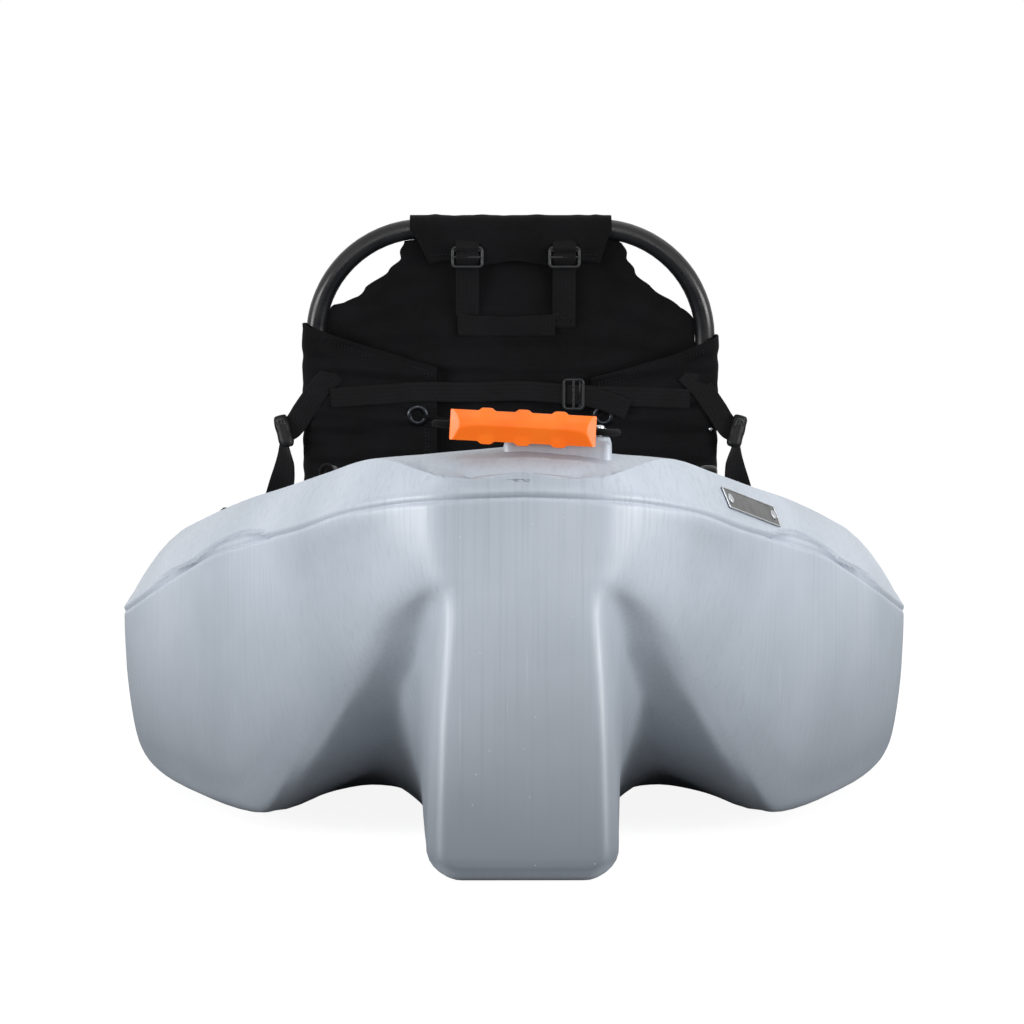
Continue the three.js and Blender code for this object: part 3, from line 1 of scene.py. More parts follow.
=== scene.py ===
"""A sit-on-top fishing kayak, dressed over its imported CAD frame.

Lengths are in metres. +Z is up, +Y is the bow and +X is starboard, as in the frame.
"""

from __future__ import annotations

import logging
import math
from dataclasses import dataclass, field
from enum import Enum
from typing import Sequence

import bmesh
import bpy
import numpy as np
from mathutils import Euler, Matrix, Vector


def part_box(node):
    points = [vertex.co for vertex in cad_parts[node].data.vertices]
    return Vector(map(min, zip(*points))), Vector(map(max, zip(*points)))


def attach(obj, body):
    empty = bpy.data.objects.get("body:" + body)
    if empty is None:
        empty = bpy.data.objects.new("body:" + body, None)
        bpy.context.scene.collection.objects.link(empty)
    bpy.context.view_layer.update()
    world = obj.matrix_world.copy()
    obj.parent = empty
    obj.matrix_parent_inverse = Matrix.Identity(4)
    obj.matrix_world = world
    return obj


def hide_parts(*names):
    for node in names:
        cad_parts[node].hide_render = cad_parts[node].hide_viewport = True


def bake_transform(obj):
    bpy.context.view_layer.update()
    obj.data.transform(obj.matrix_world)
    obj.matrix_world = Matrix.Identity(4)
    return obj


LOG = logging.getLogger("kayak")
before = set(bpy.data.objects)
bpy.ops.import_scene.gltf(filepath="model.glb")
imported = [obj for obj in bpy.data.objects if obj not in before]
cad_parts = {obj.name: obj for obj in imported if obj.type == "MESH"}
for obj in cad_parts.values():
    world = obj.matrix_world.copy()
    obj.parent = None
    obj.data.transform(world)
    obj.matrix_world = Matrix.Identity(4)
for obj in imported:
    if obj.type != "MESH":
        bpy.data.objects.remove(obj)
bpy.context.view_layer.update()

MM = 0.001
Socket = bpy.types.NodeSocket
Tree = bpy.types.NodeTree
Piece = bpy.types.Object


class Body(str, Enum):
    """The moving bodies of the frame that pieces ride on."""

    HULL = "hull"
    SEAT_BACK = "seat_back"
    STERN_HANDLE = "stern_handle"
    BOW_HANDLE = "bow_handle"
    SIDE_HANDLE_PORT = "side_handle_port"
    SIDE_HANDLE_STARBOARD = "side_handle_starboard"
    BOW_HATCH_LID = "bow_hatch_lid"
    DAY_HATCH_LID = "day_hatch_lid"
    DRAIN_PLUG = "drain_plug"
    FOOT_PEDAL_PORT = "foot_pedal_port"
    FOOT_PEDAL_STARBOARD = "foot_pedal_starboard"


class Side(Enum):
    """The two sides of the boat, with their sign along X."""

    PORT = ("port", -1)
    STARBOARD = ("starboard", 1)

    @property
    def word(self) -> str:
        """Name used in node names."""
        return self.value[0]

    @property
    def sign(self) -> int:
        """Sign along X."""
        return self.value[1]


# Materials


def linear(code: str) -> tuple[float, float, float, float]:
    """Turns an sRGB hex colour to linear light, by the sRGB curve.

    Args:
        code: colour as "#rrggbb".

    Returns:
        Red, green, blue and an alpha of 1.
    """
    shares = [int(code[i : i + 2], 16) / 255 for i in (1, 3, 5)]
    light = [s / 12.92 if s <= 0.04045 else ((s + 0.055) / 1.055) ** 2.4 for s in shares]
    return (*light, 1.0)


def add_node(tree: Tree, kind: str, inputs: dict | None = None, **settings: object) -> bpy.types.Node:
    """Adds one node with its settings and links.

    Args:
        tree: node tree that gets it.
        kind: node type, without its ShaderNode prefix.
        inputs: input name or number to a value, or to the socket linked to it.
        settings: the node's own properties.

    Returns:
        The new node.
    """
    made = tree.nodes.new("ShaderNode" + kind)
    for key, value in settings.items():
        setattr(made, key, value)
    for key, value in (inputs or {}).items():
        if isinstance(value, Socket):
            tree.links.new(value, made.inputs[key])
        else:
            made.inputs[key].default_value = value
    return made


@dataclass
class Pattern:
    """What a finish's nodes give its shader: sockets for colour, roughness and height."""

    colour: Socket | None = None
    roughness: Socket | None = None
    height: Socket | None = None
    depth: float = 0.1 * MM


@dataclass(frozen=True)
class Finish:
    """A named material with sRGB colours and real-size patterns."""

    name: str
    colour: str
    roughness: float
    metallic: float = 0.0
    ior: float = 1.5
    sheen: float = 0.0
    specular: float = 0.5

    def pattern(self, tree: Tree, place: Socket) -> Pattern:
        """Nodes of the finish's pattern.

        Args:
            tree: material's node tree.
            place: coordinates in metres.

        Returns:
            The sockets that the shader takes.
        """
        return Pattern()

    def mottle(self, tree: Tree, place: Socket, size: float, other: str) -> Socket:
        """Soft patches between the finish's colour and another one.

        Args:
            tree: material's node tree.
            place: coordinates in metres.
            size: patch size.
            other: sRGB hex colour of the patches.

        Returns:
            Colour socket.
        """
        ramp = add_node(tree, "ValToRGB", {"Fac": noise(tree, place, size, 3.0)})
        ramp.color_ramp.elements[0].position = 0.3
        ramp.color_ramp.elements[1].position = 0.7
        ramp.color_ramp.elements[0].color = linear(self.colour)
        ramp.color_ramp.elements[1].color = linear(other)
        return ramp.outputs["Color"]

    def build(self) -> bpy.types.Material:
        """Makes the material, or gives the one already made.

        Returns:
            The Blender material.
        """
        if self.name in bpy.data.materials:
            return bpy.data.materials[self.name]
        material = bpy.data.materials.new(self.name)
        material.use_nodes = True
        tree = material.node_tree
        shader = tree.nodes["Principled BSDF"]
        plain = {
            "Base Color": linear(self.colour), "Roughness": self.roughness, "Metallic": self.metallic, "IOR": self.ior,
            "Sheen Weight": self.sheen, "Sheen Roughness": 0.4, "Specular IOR Level": self.specular,
        }
        for key, value in plain.items():
            shader.inputs[key].default_value = value
        made = self.pattern(tree, add_node(tree, "TexCoord").outputs["Object"])
        for key, socket in (("Base Color", made.colour), ("Roughness", made.roughness)):
            if socket is not None:
                tree.links.new(socket, shader.inputs[key])
        if made.height is not None:
            bump = add_node(tree, "Bump", {"Height": made.height, "Distance": made.depth, "Strength": 1.0})
            tree.links.new(bump.outputs["Normal"], shader.inputs["Normal"])
        return material


def math_node(tree: Tree, operation: str, *values: Socket | float) -> Socket:
    """One Math node.

    Args:
        tree: material's node tree.
        operation: Blender's name of the operation.
        values: up to three sockets or numbers.

    Returns:
        Its value socket.
    """
    return add_node(tree, "Math", dict(enumerate(values)), operation=operation).outputs[0]


def noise(tree: Tree, place: Socket, size: float, detail: float = 2.0) -> Socket:
    """Soft noise.

    Args:
        tree: material's node tree.
        place: coordinates.
        size: size of its patches, in the coordinates' unit.
        detail: octaves of finer noise.

    Returns:
        Value socket.
    """
    return add_node(tree, "TexNoise", {"Vector": place, "Scale": 1 / size, "Detail": detail}).outputs[0]


def stretched(tree: Tree, place: Socket, scale: tuple[float, float, float]) -> Socket:
    """Coordinates scaled by a Mapping node.

    Args:
        tree: material's node tree.
        place: coordinates in metres.
        scale: pattern repeats a metre, per axis.

    Returns:
        Vector socket.
    """
    return add_node(tree, "Mapping", {"Vector": place, "Scale": scale}).outputs["Vector"]


def shares_of(tree: Tree, value: Socket, low: float, high: float, to_low: float, to_high: float) -> Socket:
    """A value carried from one range to another, clamped.

    Args:
        tree: material's node tree.
        value: value socket.
        low: start of its range.
        high: end of its range.
        to_low: result at the start.
        to_high: result at the end.

    Returns:
        Value socket.
    """
    inputs = {0: value, 1: low, 2: high, 3: to_low, 4: to_high}
    return add_node(tree, "MapRange", inputs).outputs[0]


def mixed(tree: Tree, share: Socket | float, first: Socket, code: str) -> Socket:
    """A colour mixed towards another.

    Args:
        tree: material's node tree.
        share: share of the second colour.
        first: colour socket.
        code: sRGB hex colour of the second.

    Returns:
        Colour socket.
    """
    mix = add_node(tree, "Mix", data_type="RGBA")
    tree.links.new(first, mix.inputs[6])
    mix.inputs[7].default_value = linear(code)
    if isinstance(share, Socket):
        tree.links.new(share, mix.inputs[0])
    else:
        mix.inputs[0].default_value = share
    return mix.outputs[2]


@dataclass(frozen=True)
class RotomouldedPolyethylene(Finish):
    """Rotomoulded polyethylene: waxy, faintly pebbled, with drag marks and a few scuffs.

    The pebble is 1.6 mm across and 0.05 mm deep. Drag marks run up and down. Upright faces carry painted shade
    that darkens them towards the keel, the most on those that face astern.
    """

    other: str = "#a3acb6"
    pebble: float = 1.6 * MM
    streak: float = 3.6 * MM
    streak_length: float = 260 * MM
    scuff: str = "#dfe4e8"
    grime: str = "#7c858c"
    # Painted shade: the colour that upright faces darken to towards the keel.
    foot: str = "#70777f"
    painted_shade_height: float = 250 * MM
    swell: float = 45 * MM
    scratch_size: tuple[float, float, float] = (1.5 * MM, 50 * MM, 110 * MM)
    speck_spacing: float = 17 * MM
    relief: float = 0.55 * MM

    def pattern(self, tree: Tree, place: Socket) -> Pattern:
        """Mottled grey with vertical streaks, painted shade towards the keel, fine scratches, specks and pebble."""
        base = self.mottle(tree, place, 160 * MM, self.other)
        run = stretched(tree, place, (1 / self.streak, 1 / self.streak, 1 / self.streak_length))
        drag = noise(tree, run, 1.0, 3.0)
        base = mixed(tree, shares_of(tree, drag, 0.5, 0.75, 0.0, 0.22), base, self.grime)
        height = add_node(tree, "SeparateXYZ", {"Vector": place}).outputs["Z"]
        facing = add_node(tree, "TexCoord").outputs["Normal"]
        side, _, up = add_node(tree, "SeparateXYZ", {"Vector": facing}).outputs
        # Painted shade: upright faces darken towards the keel, the most those turned astern.
        low = shares_of(tree, height, 0.0, self.painted_shade_height, 1.0, 0.0)
        upright = shares_of(tree, math_node(tree, "ABSOLUTE", up), 0.25, 0.7, 1.0, 0.35)
        astern = shares_of(tree, math_node(tree, "ABSOLUTE", side), 0.2, 0.85, 1.0, 0.45)
        base = mixed(tree, math_node(tree, "MULTIPLY", low, upright, astern), base, self.foot)
        line = stretched(tree, place, tuple(1 / size for size in self.scratch_size))
        scratch = noise(tree, line, 1.0, 1.0)
        marks = shares_of(tree, scratch, 0.74, 0.82, 0.0, 0.2)
        base = mixed(tree, marks, base, self.scuff)
        cells = {"Vector": place, "Scale": 1 / self.speck_spacing, "Randomness": 1.0}
        speck = add_node(tree, "TexVoronoi", cells).outputs["Distance"]
        base = mixed(tree, shares_of(tree, speck, 0.03, 0.05, 0.35, 0.0), base, self.scuff)
        pebble = noise(tree, place, self.pebble)
        wave = noise(tree, place, self.swell, 1.0)
        relief = math_node(tree, "ADD", math_node(tree, "MULTIPLY", pebble, 0.12), wave)
        relief = math_node(tree, "ADD", relief, math_node(tree, "MULTIPLY", marks, -0.1))
        rough = shares_of(tree, drag, 0.3, 0.75, self.roughness - 0.05, self.roughness + 0.09)
        return Pattern(base, rough, relief, self.relief)


@dataclass(frozen=True)
class MouldedPlastic(Finish):
    """Injection-moulded nylon or ABS: even colour, fine spark-eroded grain, slightly worn."""

    other: str = "#26272a"
    grain: float = 0.7 * MM
    depth: float = 0.04 * MM

    def pattern(self, tree: Tree, place: Socket) -> Pattern:
        """Faint patches of colour and gloss over a fine grain, drawn a little coarse to show."""
        base = self.mottle(tree, place, 30 * MM, self.other)
        grain = noise(tree, place, self.grain)
        patch = noise(tree, place, 12 * MM)
        rough = shares_of(tree, patch, 0.3, 0.7, self.roughness - 0.05, self.roughness + 0.06)
        return Pattern(base, rough, grain, self.depth)


@dataclass(frozen=True)
class PowderCoatedTube(Finish):
    """Black powder coat on aluminium tube: satin, with fine orange peel and rubbed places."""

    other: str = "#222326"
    peel: float = 2.2 * MM

    def pattern(self, tree: Tree, place: Socket) -> Pattern:
        """Orange peel of 2.2 mm, with gloss that varies where cloth rubs."""
        base = self.mottle(tree, place, 25 * MM, self.other)
        peel = noise(tree, place, self.peel)
        rub = noise(tree, place, 40 * MM, 3.0)
        rough = shares_of(tree, rub, 0.35, 0.65, self.roughness - 0.08, self.roughness + 0.1)
        return Pattern(base, rough, peel, 0.02 * MM)


@dataclass(frozen=True)
class WovenCloth(Finish):
    """Woven polyester over its own UV map in metres: crossing threads and faint fade.

    Threads are 0.6 mm in the real cloth, and drawn at 1.5 mm so that they show.
    """

    other: str = "#1b1c1f"
    thread: float = 1.5 * MM
    across: float = 1.5 * MM
    depth: float = 0.22 * MM
    fade: float = 70 * MM

    def pattern(self, tree: Tree, place: Socket) -> Pattern:
        """Two crossing sine waves on the UV map, one over the other, over soft fade, with painted shade in the hollows
        between threads.
        """
        laid = add_node(tree, "UVMap").outputs["UV"]
        parts = add_node(tree, "SeparateXYZ", {"Vector": laid})
        turns = [math.tau / self.thread, math.tau / self.across]
        warp, weft = [
            math_node(tree, "SINE", math_node(tree, "MULTIPLY", parts.outputs[i], turns[i])) for i in (0, 1)
        ]
        height = math_node(tree, "MAXIMUM", warp, weft)
        base = self.mottle(tree, place, self.fade, self.other)
        # Painted shade: the hollows between threads are darkened towards near black.
        base = mixed(tree, shares_of(tree, height, -0.4, 1.0, 0.45, 0.0), base, "#050506")
        return Pattern(base, None, shares_of(tree, height, -1.0, 1.0, 0.0, 1.0), self.depth)


@dataclass(frozen=True)
class BraidedCord(Finish):
    """Braided polyester cord over its own UV map: two sets of strands that cross aslant."""

    other: str = "#202124"
    strand: float = 2.4 * MM
    depth: float = 0.3 * MM

    def pattern(self, tree: Tree, place: Socket) -> Pattern:
        """The higher of two slanted sine waves."""
        parts = add_node(tree, "SeparateXYZ", {"Vector": add_node(tree, "UVMap").outputs["UV"]})
        turn = math.tau / self.strand
        slants = []
        for sign in (1, -1):
            around = math_node(tree, "MULTIPLY", parts.outputs[1], turn * sign)
            slants.append(math_node(tree, "SINE", math_node(tree, "MULTIPLY_ADD", parts.outputs[0], turn, around)))
        height = math_node(tree, "MAXIMUM", *slants)
        base = self.mottle(tree, place, 20 * MM, self.other)
        return Pattern(base, None, shares_of(tree, height, -1.0, 1.0, 0.0, 1.0), self.depth)


@dataclass(frozen=True)
class WornSteel(Finish):
    """Stainless steel, turned and handled: fine marks that spread its shine."""

    other: str = "#a7aaae"
    mark: float = 0.4 * MM

    def pattern(self, tree: Tree, place: Socket) -> Pattern:
        """Fine turning marks 0.4 mm apart."""
        marks = noise(tree, place, self.mark)
        rough = shares_of(tree, marks, 0.3, 0.7, self.roughness - 0.06, self.roughness + 0.1)
        return Pattern(self.mottle(tree, place, 4 * MM, self.other), rough, marks, 0.02 * MM)


HULL_POLYETHYLENE = RotomouldedPolyethylene("rotomoulded_polyethylene_grey", "#b3bbc6", 0.42, ior=1.51)
LID_POLYETHYLENE = RotomouldedPolyethylene("rotomoulded_polyethylene_lid", "#adb6c1", 0.45, ior=1.51)
ORANGE_NYLON = MouldedPlastic(
    "moulded_nylon_orange", "#ff6f16", 0.4, ior=1.53, other="#ff7b1c", grain=0.9 * MM, depth=0.03 * MM,
    specular=0.25,
)
BLACK_NYLON = MouldedPlastic("moulded_nylon_black", "#101112", 0.44, ior=1.53, other="#191a1c", specular=0.35)
BLACK_RUBBER = MouldedPlastic("moulded_rubber_black", "#0f0f10", 0.72, ior=1.52, other="#171719", specular=0.3)
TUBE_POWDER_COAT = PowderCoatedTube("powder_coated_tube_black", "#0b0b0d", 0.32, other="#131315", specular=0.4)
TRACK_ANODISED = PowderCoatedTube("anodised_track_black", "#1c1d20", 0.38, metallic=0.6, other="#2a2b2f")
SEAT_CLOTH = WovenCloth("woven_polyester_black", "#0d0d0e", 0.85, sheen=0.03, specular=0.08, other="#151517")
MESH_CLOTH = WovenCloth(
    "open_mesh_black", "#0c0c0d", 0.8, sheen=0.03, specular=0.1, other="#141416", thread=3.2 * MM, across=3.2 * MM,
    depth=0.5 * MM,
)
WEBBING = WovenCloth(
    "ribbed_webbing_black", "#0b0b0c", 0.75, sheen=0.04, specular=0.12, other="#131315", thread=2.0 * MM,
    across=5.0 * MM, depth=0.3 * MM,
)
CORD = BraidedCord("braided_cord_black", "#070708", 0.75, sheen=0.02, specular=0.07, other="#0d0d0f")
STEEL = WornSteel("turned_stainless_steel", "#c4c7ca", 0.28, metallic=1.0)
BLACKENED_STEEL = WornSteel("blackened_steel", "#3d3f43", 0.3, metallic=1.0, other="#2c2e31")
PLATE = MouldedPlastic("printed_plate_black", "#141516", 0.3, other="#1d1e20", grain=0.5 * MM, depth=0.01 * MM)
ROLLED_WEBBING = WovenCloth(
    "rolled_webbing_black", "#0b0b0c", 0.42, specular=0.2, other="#111113", thread=1.2 * MM, across=5.0 * MM,
    depth=0.05 * MM,
)
THREAD = BraidedCord("bonded_thread_grey", "#1b1b1d", 0.7, specular=0.15, strand=0.6 * MM, depth=0.05 * MM)


# Surfaces


def cell_faces(rows: int, columns: int, wrap_rows: bool, wrap_columns: bool) -> np.ndarray:
    """Corner numbers of a grid's quads, counted row by row.

    Args:
        rows: points along the first parameter.
        columns: points along the second.
        wrap_rows: whether the last row meets the first.
        wrap_columns: whether the last column meets the first.

    Returns:
        Array of quads.
    """
    i, j = np.meshgrid(
        np.arange(rows if wrap_rows else rows - 1),
        np.arange(columns if wrap_columns else columns - 1),
        indexing="ij",
    )
    up, along = (i + 1) % rows, (j + 1) % columns
    corners = [i * columns + j, up * columns + j, up * columns + along, i * columns + along]
    return np.stack([c.ravel() for c in corners], axis=1)


def running_length(points: np.ndarray, axis: int, closed: bool) -> np.ndarray:
    """Mean distance run along one parameter of a grid of points.

    Args:
        points: array of rows, columns and X, Y, Z.
        axis: 0 along the rows or 1 along the columns.
        closed: whether the last point meets the first.

    Returns:
        Distances from the start, with one more for the closing step.
    """
    if closed:
        points = np.concatenate([points, np.take(points, [0], axis=axis)], axis=axis)
    steps = np.linalg.norm(np.diff(points, axis=axis), axis=2).mean(axis=1 - axis)
    return np.concatenate([[0.0], np.cumsum(steps)])


def grid_mesh(
    name: str,
    points: np.ndarray,
    wrap_rows: bool = False,
    wrap_columns: bool = False,
    caps: bool = False,
) -> Piece:
    """A mesh over a grid of points, with a UV map in metres.

    Args:
        name: piece name.
        points: array of rows, columns and X, Y, Z.
        wrap_rows: whether the last row meets the first.
        wrap_columns: whether the last column meets the first.
        caps: whether the first and last rows are closed with a face.

    Returns:
        The new object, at the origin, with its faces pointing outwards if closed.
    """
    rows, columns = points.shape[:2]
    quads = cell_faces(rows, columns, wrap_rows, wrap_columns)
    faces = quads.tolist()
    if caps:
        faces.append(list(range(columns)))
        faces.append(list(range((rows - 1) * columns, rows * columns))[::-1])
    mesh = bpy.data.meshes.new(name)
    mesh.from_pydata(points.reshape(-1, 3).tolist(), [], faces)
    layer = mesh.uv_layers.new(name="UVMap")
    along = running_length(points, 0, wrap_rows)
    across = running_length(points, 1, wrap_columns)
    row, column = np.divmod(quads[:, 0], columns)
    uv = np.stack(
        [
            np.stack([along[row + di], across[column + dj]], axis=1)
            for di, dj in ((0, 0), (1, 0), (1, 1), (0, 1))
        ],
        axis=1,
    ).reshape(-1, 2)
    full = np.zeros((len(mesh.loops), 2))
    full[: len(uv)] = uv
    layer.data.foreach_set("uv", full.ravel())
    mesh.validate()
    piece = linked(name, mesh)
    if caps or (wrap_rows and wrap_columns):
        turned_out(piece)
    return piece


def linked(name: str, data: bpy.types.ID) -> Piece:
    """A new object in the scene.

    Args:
        name: object name.
        data: its mesh, camera or lamp.

    Returns:
        The object, at the origin.
    """
    made = bpy.data.objects.new(name, data)
    bpy.context.scene.collection.objects.link(made)
    return made


def taken_from(work: bmesh.types.BMesh, name: str) -> Piece:
    """A new object from a working mesh, which is freed.

    Args:
        work: working mesh.
        name: object name.

    Returns:
        The object.
    """
    mesh = bpy.data.meshes.new(name)
    work.to_mesh(mesh)
    work.free()
    return linked(name, mesh)


def units(vectors: np.ndarray) -> np.ndarray:
    """Vectors scaled to a length of 1.

    Args:
        vectors: array whose last axis is X, Y and Z, or X and Y.

    Returns:
        Array of the same shape.
    """
    return vectors / np.linalg.norm(vectors, axis=-1, keepdims=True)


def turned_out(piece: Piece) -> None:
    """Points a closed mesh's faces outwards.

    Args:
        piece: object whose mesh is changed.
    """
    work = bmesh.new()
    work.from_mesh(piece.data)
    if work.calc_volume(signed=True) < 0:
        bmesh.ops.reverse_faces(work, faces=work.faces)
    work.to_mesh(piece.data)
    work.free()


def shade(piece: Piece, angle: float = 35.0) -> Piece:
    """Smooth shading, with edges sharper than an angle kept.

    Args:
        piece: object to shade.
        angle: edge angle in degrees.

    Returns:
        The same object.
    """
    piece.data.shade_smooth()
    piece.data.set_sharp_from_angle(angle=math.radians(angle))
    return piece


def dressed(
    piece: Piece,
    finish: Finish,
    body: Body | None,
    nodes: Sequence[str] = (),
    angle: float = 35.0,
) -> Piece:
    """Gives a piece its material and body, and hides the CAD nodes that it stands for.

    Args:
        piece: finished object.
        finish: its material.
        body: body it rides on, or None to leave it on none.
        nodes: CAD nodes that it replaces.
        angle: edges sharper than this stay sharp, in degrees.

    Returns:
        The same object.
    """
    piece.data.materials.clear()
    piece.data.materials.append(finish.build())
    shade(piece, angle)
    if body is not None:
        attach(piece, body.value)
    if nodes:
        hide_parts(*nodes)
    return piece


def baked(piece: Piece) -> Piece:
    """Applies every modifier on a piece.

    Args:
        piece: object with modifiers.

    Returns:
        The same object, with the result as its mesh.
    """
    graph = bpy.context.evaluated_depsgraph_get()
    mesh = bpy.data.meshes.new_from_object(piece.evaluated_get(graph))
    piece.modifiers.clear()
    old, piece.data = piece.data, mesh
    bpy.data.meshes.remove(old)
    mesh.name = piece.name
    return piece


def joined_solid(
    target: Piece, others: Sequence[Piece], operation: str
) -> Piece:
    """Adds or cuts closed solids, one after another, and removes them.

    Args:
        target: object that is changed.
        others: closed solids.
        operation: UNION or DIFFERENCE.

    Returns:
        The changed object.
    """
    for other in others:
        change = target.modifiers.new("solid", "BOOLEAN")
        change.operation = operation
        change.solver = "EXACT"
        change.object = other
        baked(target)
        bpy.data.objects.remove(other)
    return target


def one_piece(name: str, parts: Sequence[Piece]) -> Piece:
    """Joins separate closed solids into one object.

    Args:
        name: name of the result.
        parts: objects to join.

    Returns:
        The joined object.
    """
    work = bmesh.new()
    for part in parts:
        work.from_mesh(part.data)
    for part in parts:
        bpy.data.objects.remove(part)
    return taken_from(work, name)


def rounded_edges(piece: Piece, width: float, steps: int = 2, angle: float = 35.0) -> Piece:
    """Rounds a piece's sharp edges with a bevel and applies it.

    Args:
        piece: closed solid.
        width: bevel width.
        steps: segments of the bevel.
        angle: edges sharper than this are rounded, in degrees.

    Returns:
        The same object.
    """
    bevel = piece.modifiers.new("rounding", "BEVEL")
    bevel.width = width
    bevel.segments = steps
    bevel.limit_method = "ANGLE"
    bevel.angle_limit = math.radians(angle)
    bevel.use_clamp_overlap = True
    return baked(piece)


def node_copy(node: str, name: str, rounding: float, steps: int = 2) -> Piece:
    """A merged copy of a CAD node, with its flat faces joined and its edges rounded.

    Args:
        node: CAD node's name.
        name: new piece's name.
        rounding: bevel width.
        steps: segments of the bevel.

    Returns:
        The copy.
    """
    work = bmesh.new()
    work.from_mesh(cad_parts[node].data)
    bmesh.ops.remove_doubles(work, verts=work.verts, dist=0.01 * MM)
    bmesh.ops.dissolve_limit(
        work, angle_limit=math.radians(1.0), verts=work.verts, edges=work.edges, use_dissolve_boundaries=False
    )
    return rounded_edges(taken_from(work, name), rounding, steps, 40.0)


# Outlines and paths


def cubic(at: np.ndarray, values: np.ndarray, slopes: np.ndarray, places: np.ndarray) -> np.ndarray:
    """Hermite cubics through table values, with the slope given at each.

    Args:
        at: increasing places of the table, of n values.
        values: table values, n rows of any shape.
        slopes: slope at each value.
        places: where the curve is wanted.

    Returns:
        Curve values at the places.
    """
    shape = (-1,) + (1,) * (values.ndim - 1)
    cell = np.clip(np.searchsorted(at, places, side="right") - 1, 0, len(at) - 2)
    width = (at[cell + 1] - at[cell]).reshape(shape)
    t = (places - at[cell]).reshape(shape) / width
    return (
        (2 * t**3 - 3 * t**2 + 1) * values[cell]
        + (t**3 - 2 * t**2 + t) * width * slopes[cell]
        + (3 * t**2 - 2 * t**3) * values[cell + 1]
        + (t**3 - t**2) * width * slopes[cell + 1]
    )


def steady_curve(at: np.ndarray, values: np.ndarray, places: np.ndarray) -> np.ndarray:
    """Monotone cubic through table values: slopes are harmonic means, so it never swings past them.

    Args:
        at: increasing places of the table, of n values.
        values: table values, n rows of any shape.
        places: where the curve is wanted.

    Returns:
        Curve values at the places.
    """
    shape = (-1,) + (1,) * (values.ndim - 1)
    slopes = np.diff(values, axis=0) / np.diff(at).reshape(shape)
    before, after = slopes[:-1], slopes[1:]
    with np.errstate(divide="ignore", invalid="ignore"):
        mean = np.where(before * after > 0, 2 * before * after / (before + after), 0.0)
    return cubic(at, values, np.concatenate([slopes[:1], np.nan_to_num(mean), slopes[-1:]]), places)


def rectangle(x0: float, y0: float, x1: float, y1: float) -> list[tuple[float, float]]:
    """Corners of a rectangle, anticlockwise.

    Args:
        x0: its low X.
        y0: its low Y.
        x1: its high X.
        y1: its high Y.

    Returns:
        The four corners.
    """
    return [(x0, y0), (x1, y0), (x1, y1), (x0, y1)]


def rounded_outline(corners: Sequence[tuple[float, float]], radius: float, steps: int = 8) -> np.ndarray:
    """A convex outline whose corners are arcs that touch both edges.

    Args:
        corners: corner points, anticlockwise.
        radius: arc radius.
        steps: points on each arc, less one.

    Returns:
        Array of X and Y.
    """
    points = np.array(corners, float)
    back = units(np.roll(points, 1, axis=0) - points)
    onward = units(np.roll(points, -1, axis=0) - points)
    half = np.arccos(np.clip((back * onward).sum(1), -1, 1)) / 2
    centre = points + units(back + onward) * (radius / np.sin(half))[:, None]
    start = points + back * (radius / np.tan(half))[:, None] - centre
    end = points + onward * (radius / np.tan(half))[:, None] - centre
    first = np.arctan2(start[:, 1], start[:, 0])
    turn = np.arctan2(end[:, 1], end[:, 0]) - first
    turn = (turn + math.pi) % math.tau - math.pi
    angle = first[:, None] + turn[:, None] * np.linspace(0, 1, steps + 1)
    arcs = centre[:, None, :] + radius * np.stack([np.cos(angle), np.sin(angle)], axis=2)
    return arcs.reshape(-1, 2)


def even_steps(points: np.ndarray, count: int, closed: bool) -> np.ndarray:
    """Points at even distances along a polyline.

    Args:
        points: polyline points, in any number of dimensions.
        count: points wanted.
        closed: whether the last point meets the first.

    Returns:
        Array of count points.
    """
    line = np.concatenate([points, points[:1]]) if closed else points
    run = np.concatenate([[0.0], np.cumsum(np.linalg.norm(np.diff(line, axis=0), axis=1))])
    at = np.linspace(0, run[-1], count + 1)[:-1] if closed else np.linspace(0, run[-1], count)
    return np.stack([np.interp(at, run, line[:, k]) for k in range(line.shape[1])], axis=1)


def bent_path(corners: Sequence[Sequence[float]], radius: float, count: int) -> np.ndarray:
    """A path along straight runs, each corner an arc about the point where its normals meet.

    Args:
        corners: path corners in X, Y and Z.
        radius: bend radius.
        count: points along it.

    Returns:
        Array of points at even distances.
    """
    points = [np.array(c, float) for c in corners]
    path = [points[0][None]]
    for before, corner, after in zip(points, points[1:], points[2:]):
        back, onward = units(before - corner), units(after - corner)
        half = math.acos(float(np.clip(back @ onward, -1, 1))) / 2
        centre = corner + units(back + onward) * radius / math.sin(half)
        first = corner + back * radius / math.tan(half) - centre
        last = corner + onward * radius / math.tan(half) - centre
        t = np.linspace(0, 1, 17)[:, None] * (math.pi - 2 * half)
        side = units(last - first * math.cos(math.pi - 2 * half)) * radius
        path.append(centre + first * np.cos(t) + side * np.sin(t))
    path.append(points[-1][None])
    return even_steps(np.concatenate(path), count, False)


def smooth_path(points: Sequence[Sequence[float]], count: int) -> np.ndarray:
    """A Catmull-Rom curve through points, by their chord lengths.

    Args:
        points: points in X, Y and Z.
        count: points along the curve.

    Returns:
        Array of points at even distances.
    """
    line = np.array(points, float)
    run = np.concatenate([[0.0], np.cumsum(np.linalg.norm(np.diff(line, axis=0), axis=1) ** 0.5)])
    curve = cubic(run, line, np.gradient(line, run, axis=0), np.linspace(0, run[-1], count * 4))
    return even_steps(curve, count, False)


def circle(radius: float, sides: int) -> np.ndarray:
    """Points on a circle.

    Args:
        radius: its radius.
        sides: number of points.

    Returns:
        Array of two coordinates.
    """
    angle = np.linspace(0, math.tau, sides, endpoint=False)
    return radius * np.stack([np.cos(angle), np.sin(angle)], axis=1)


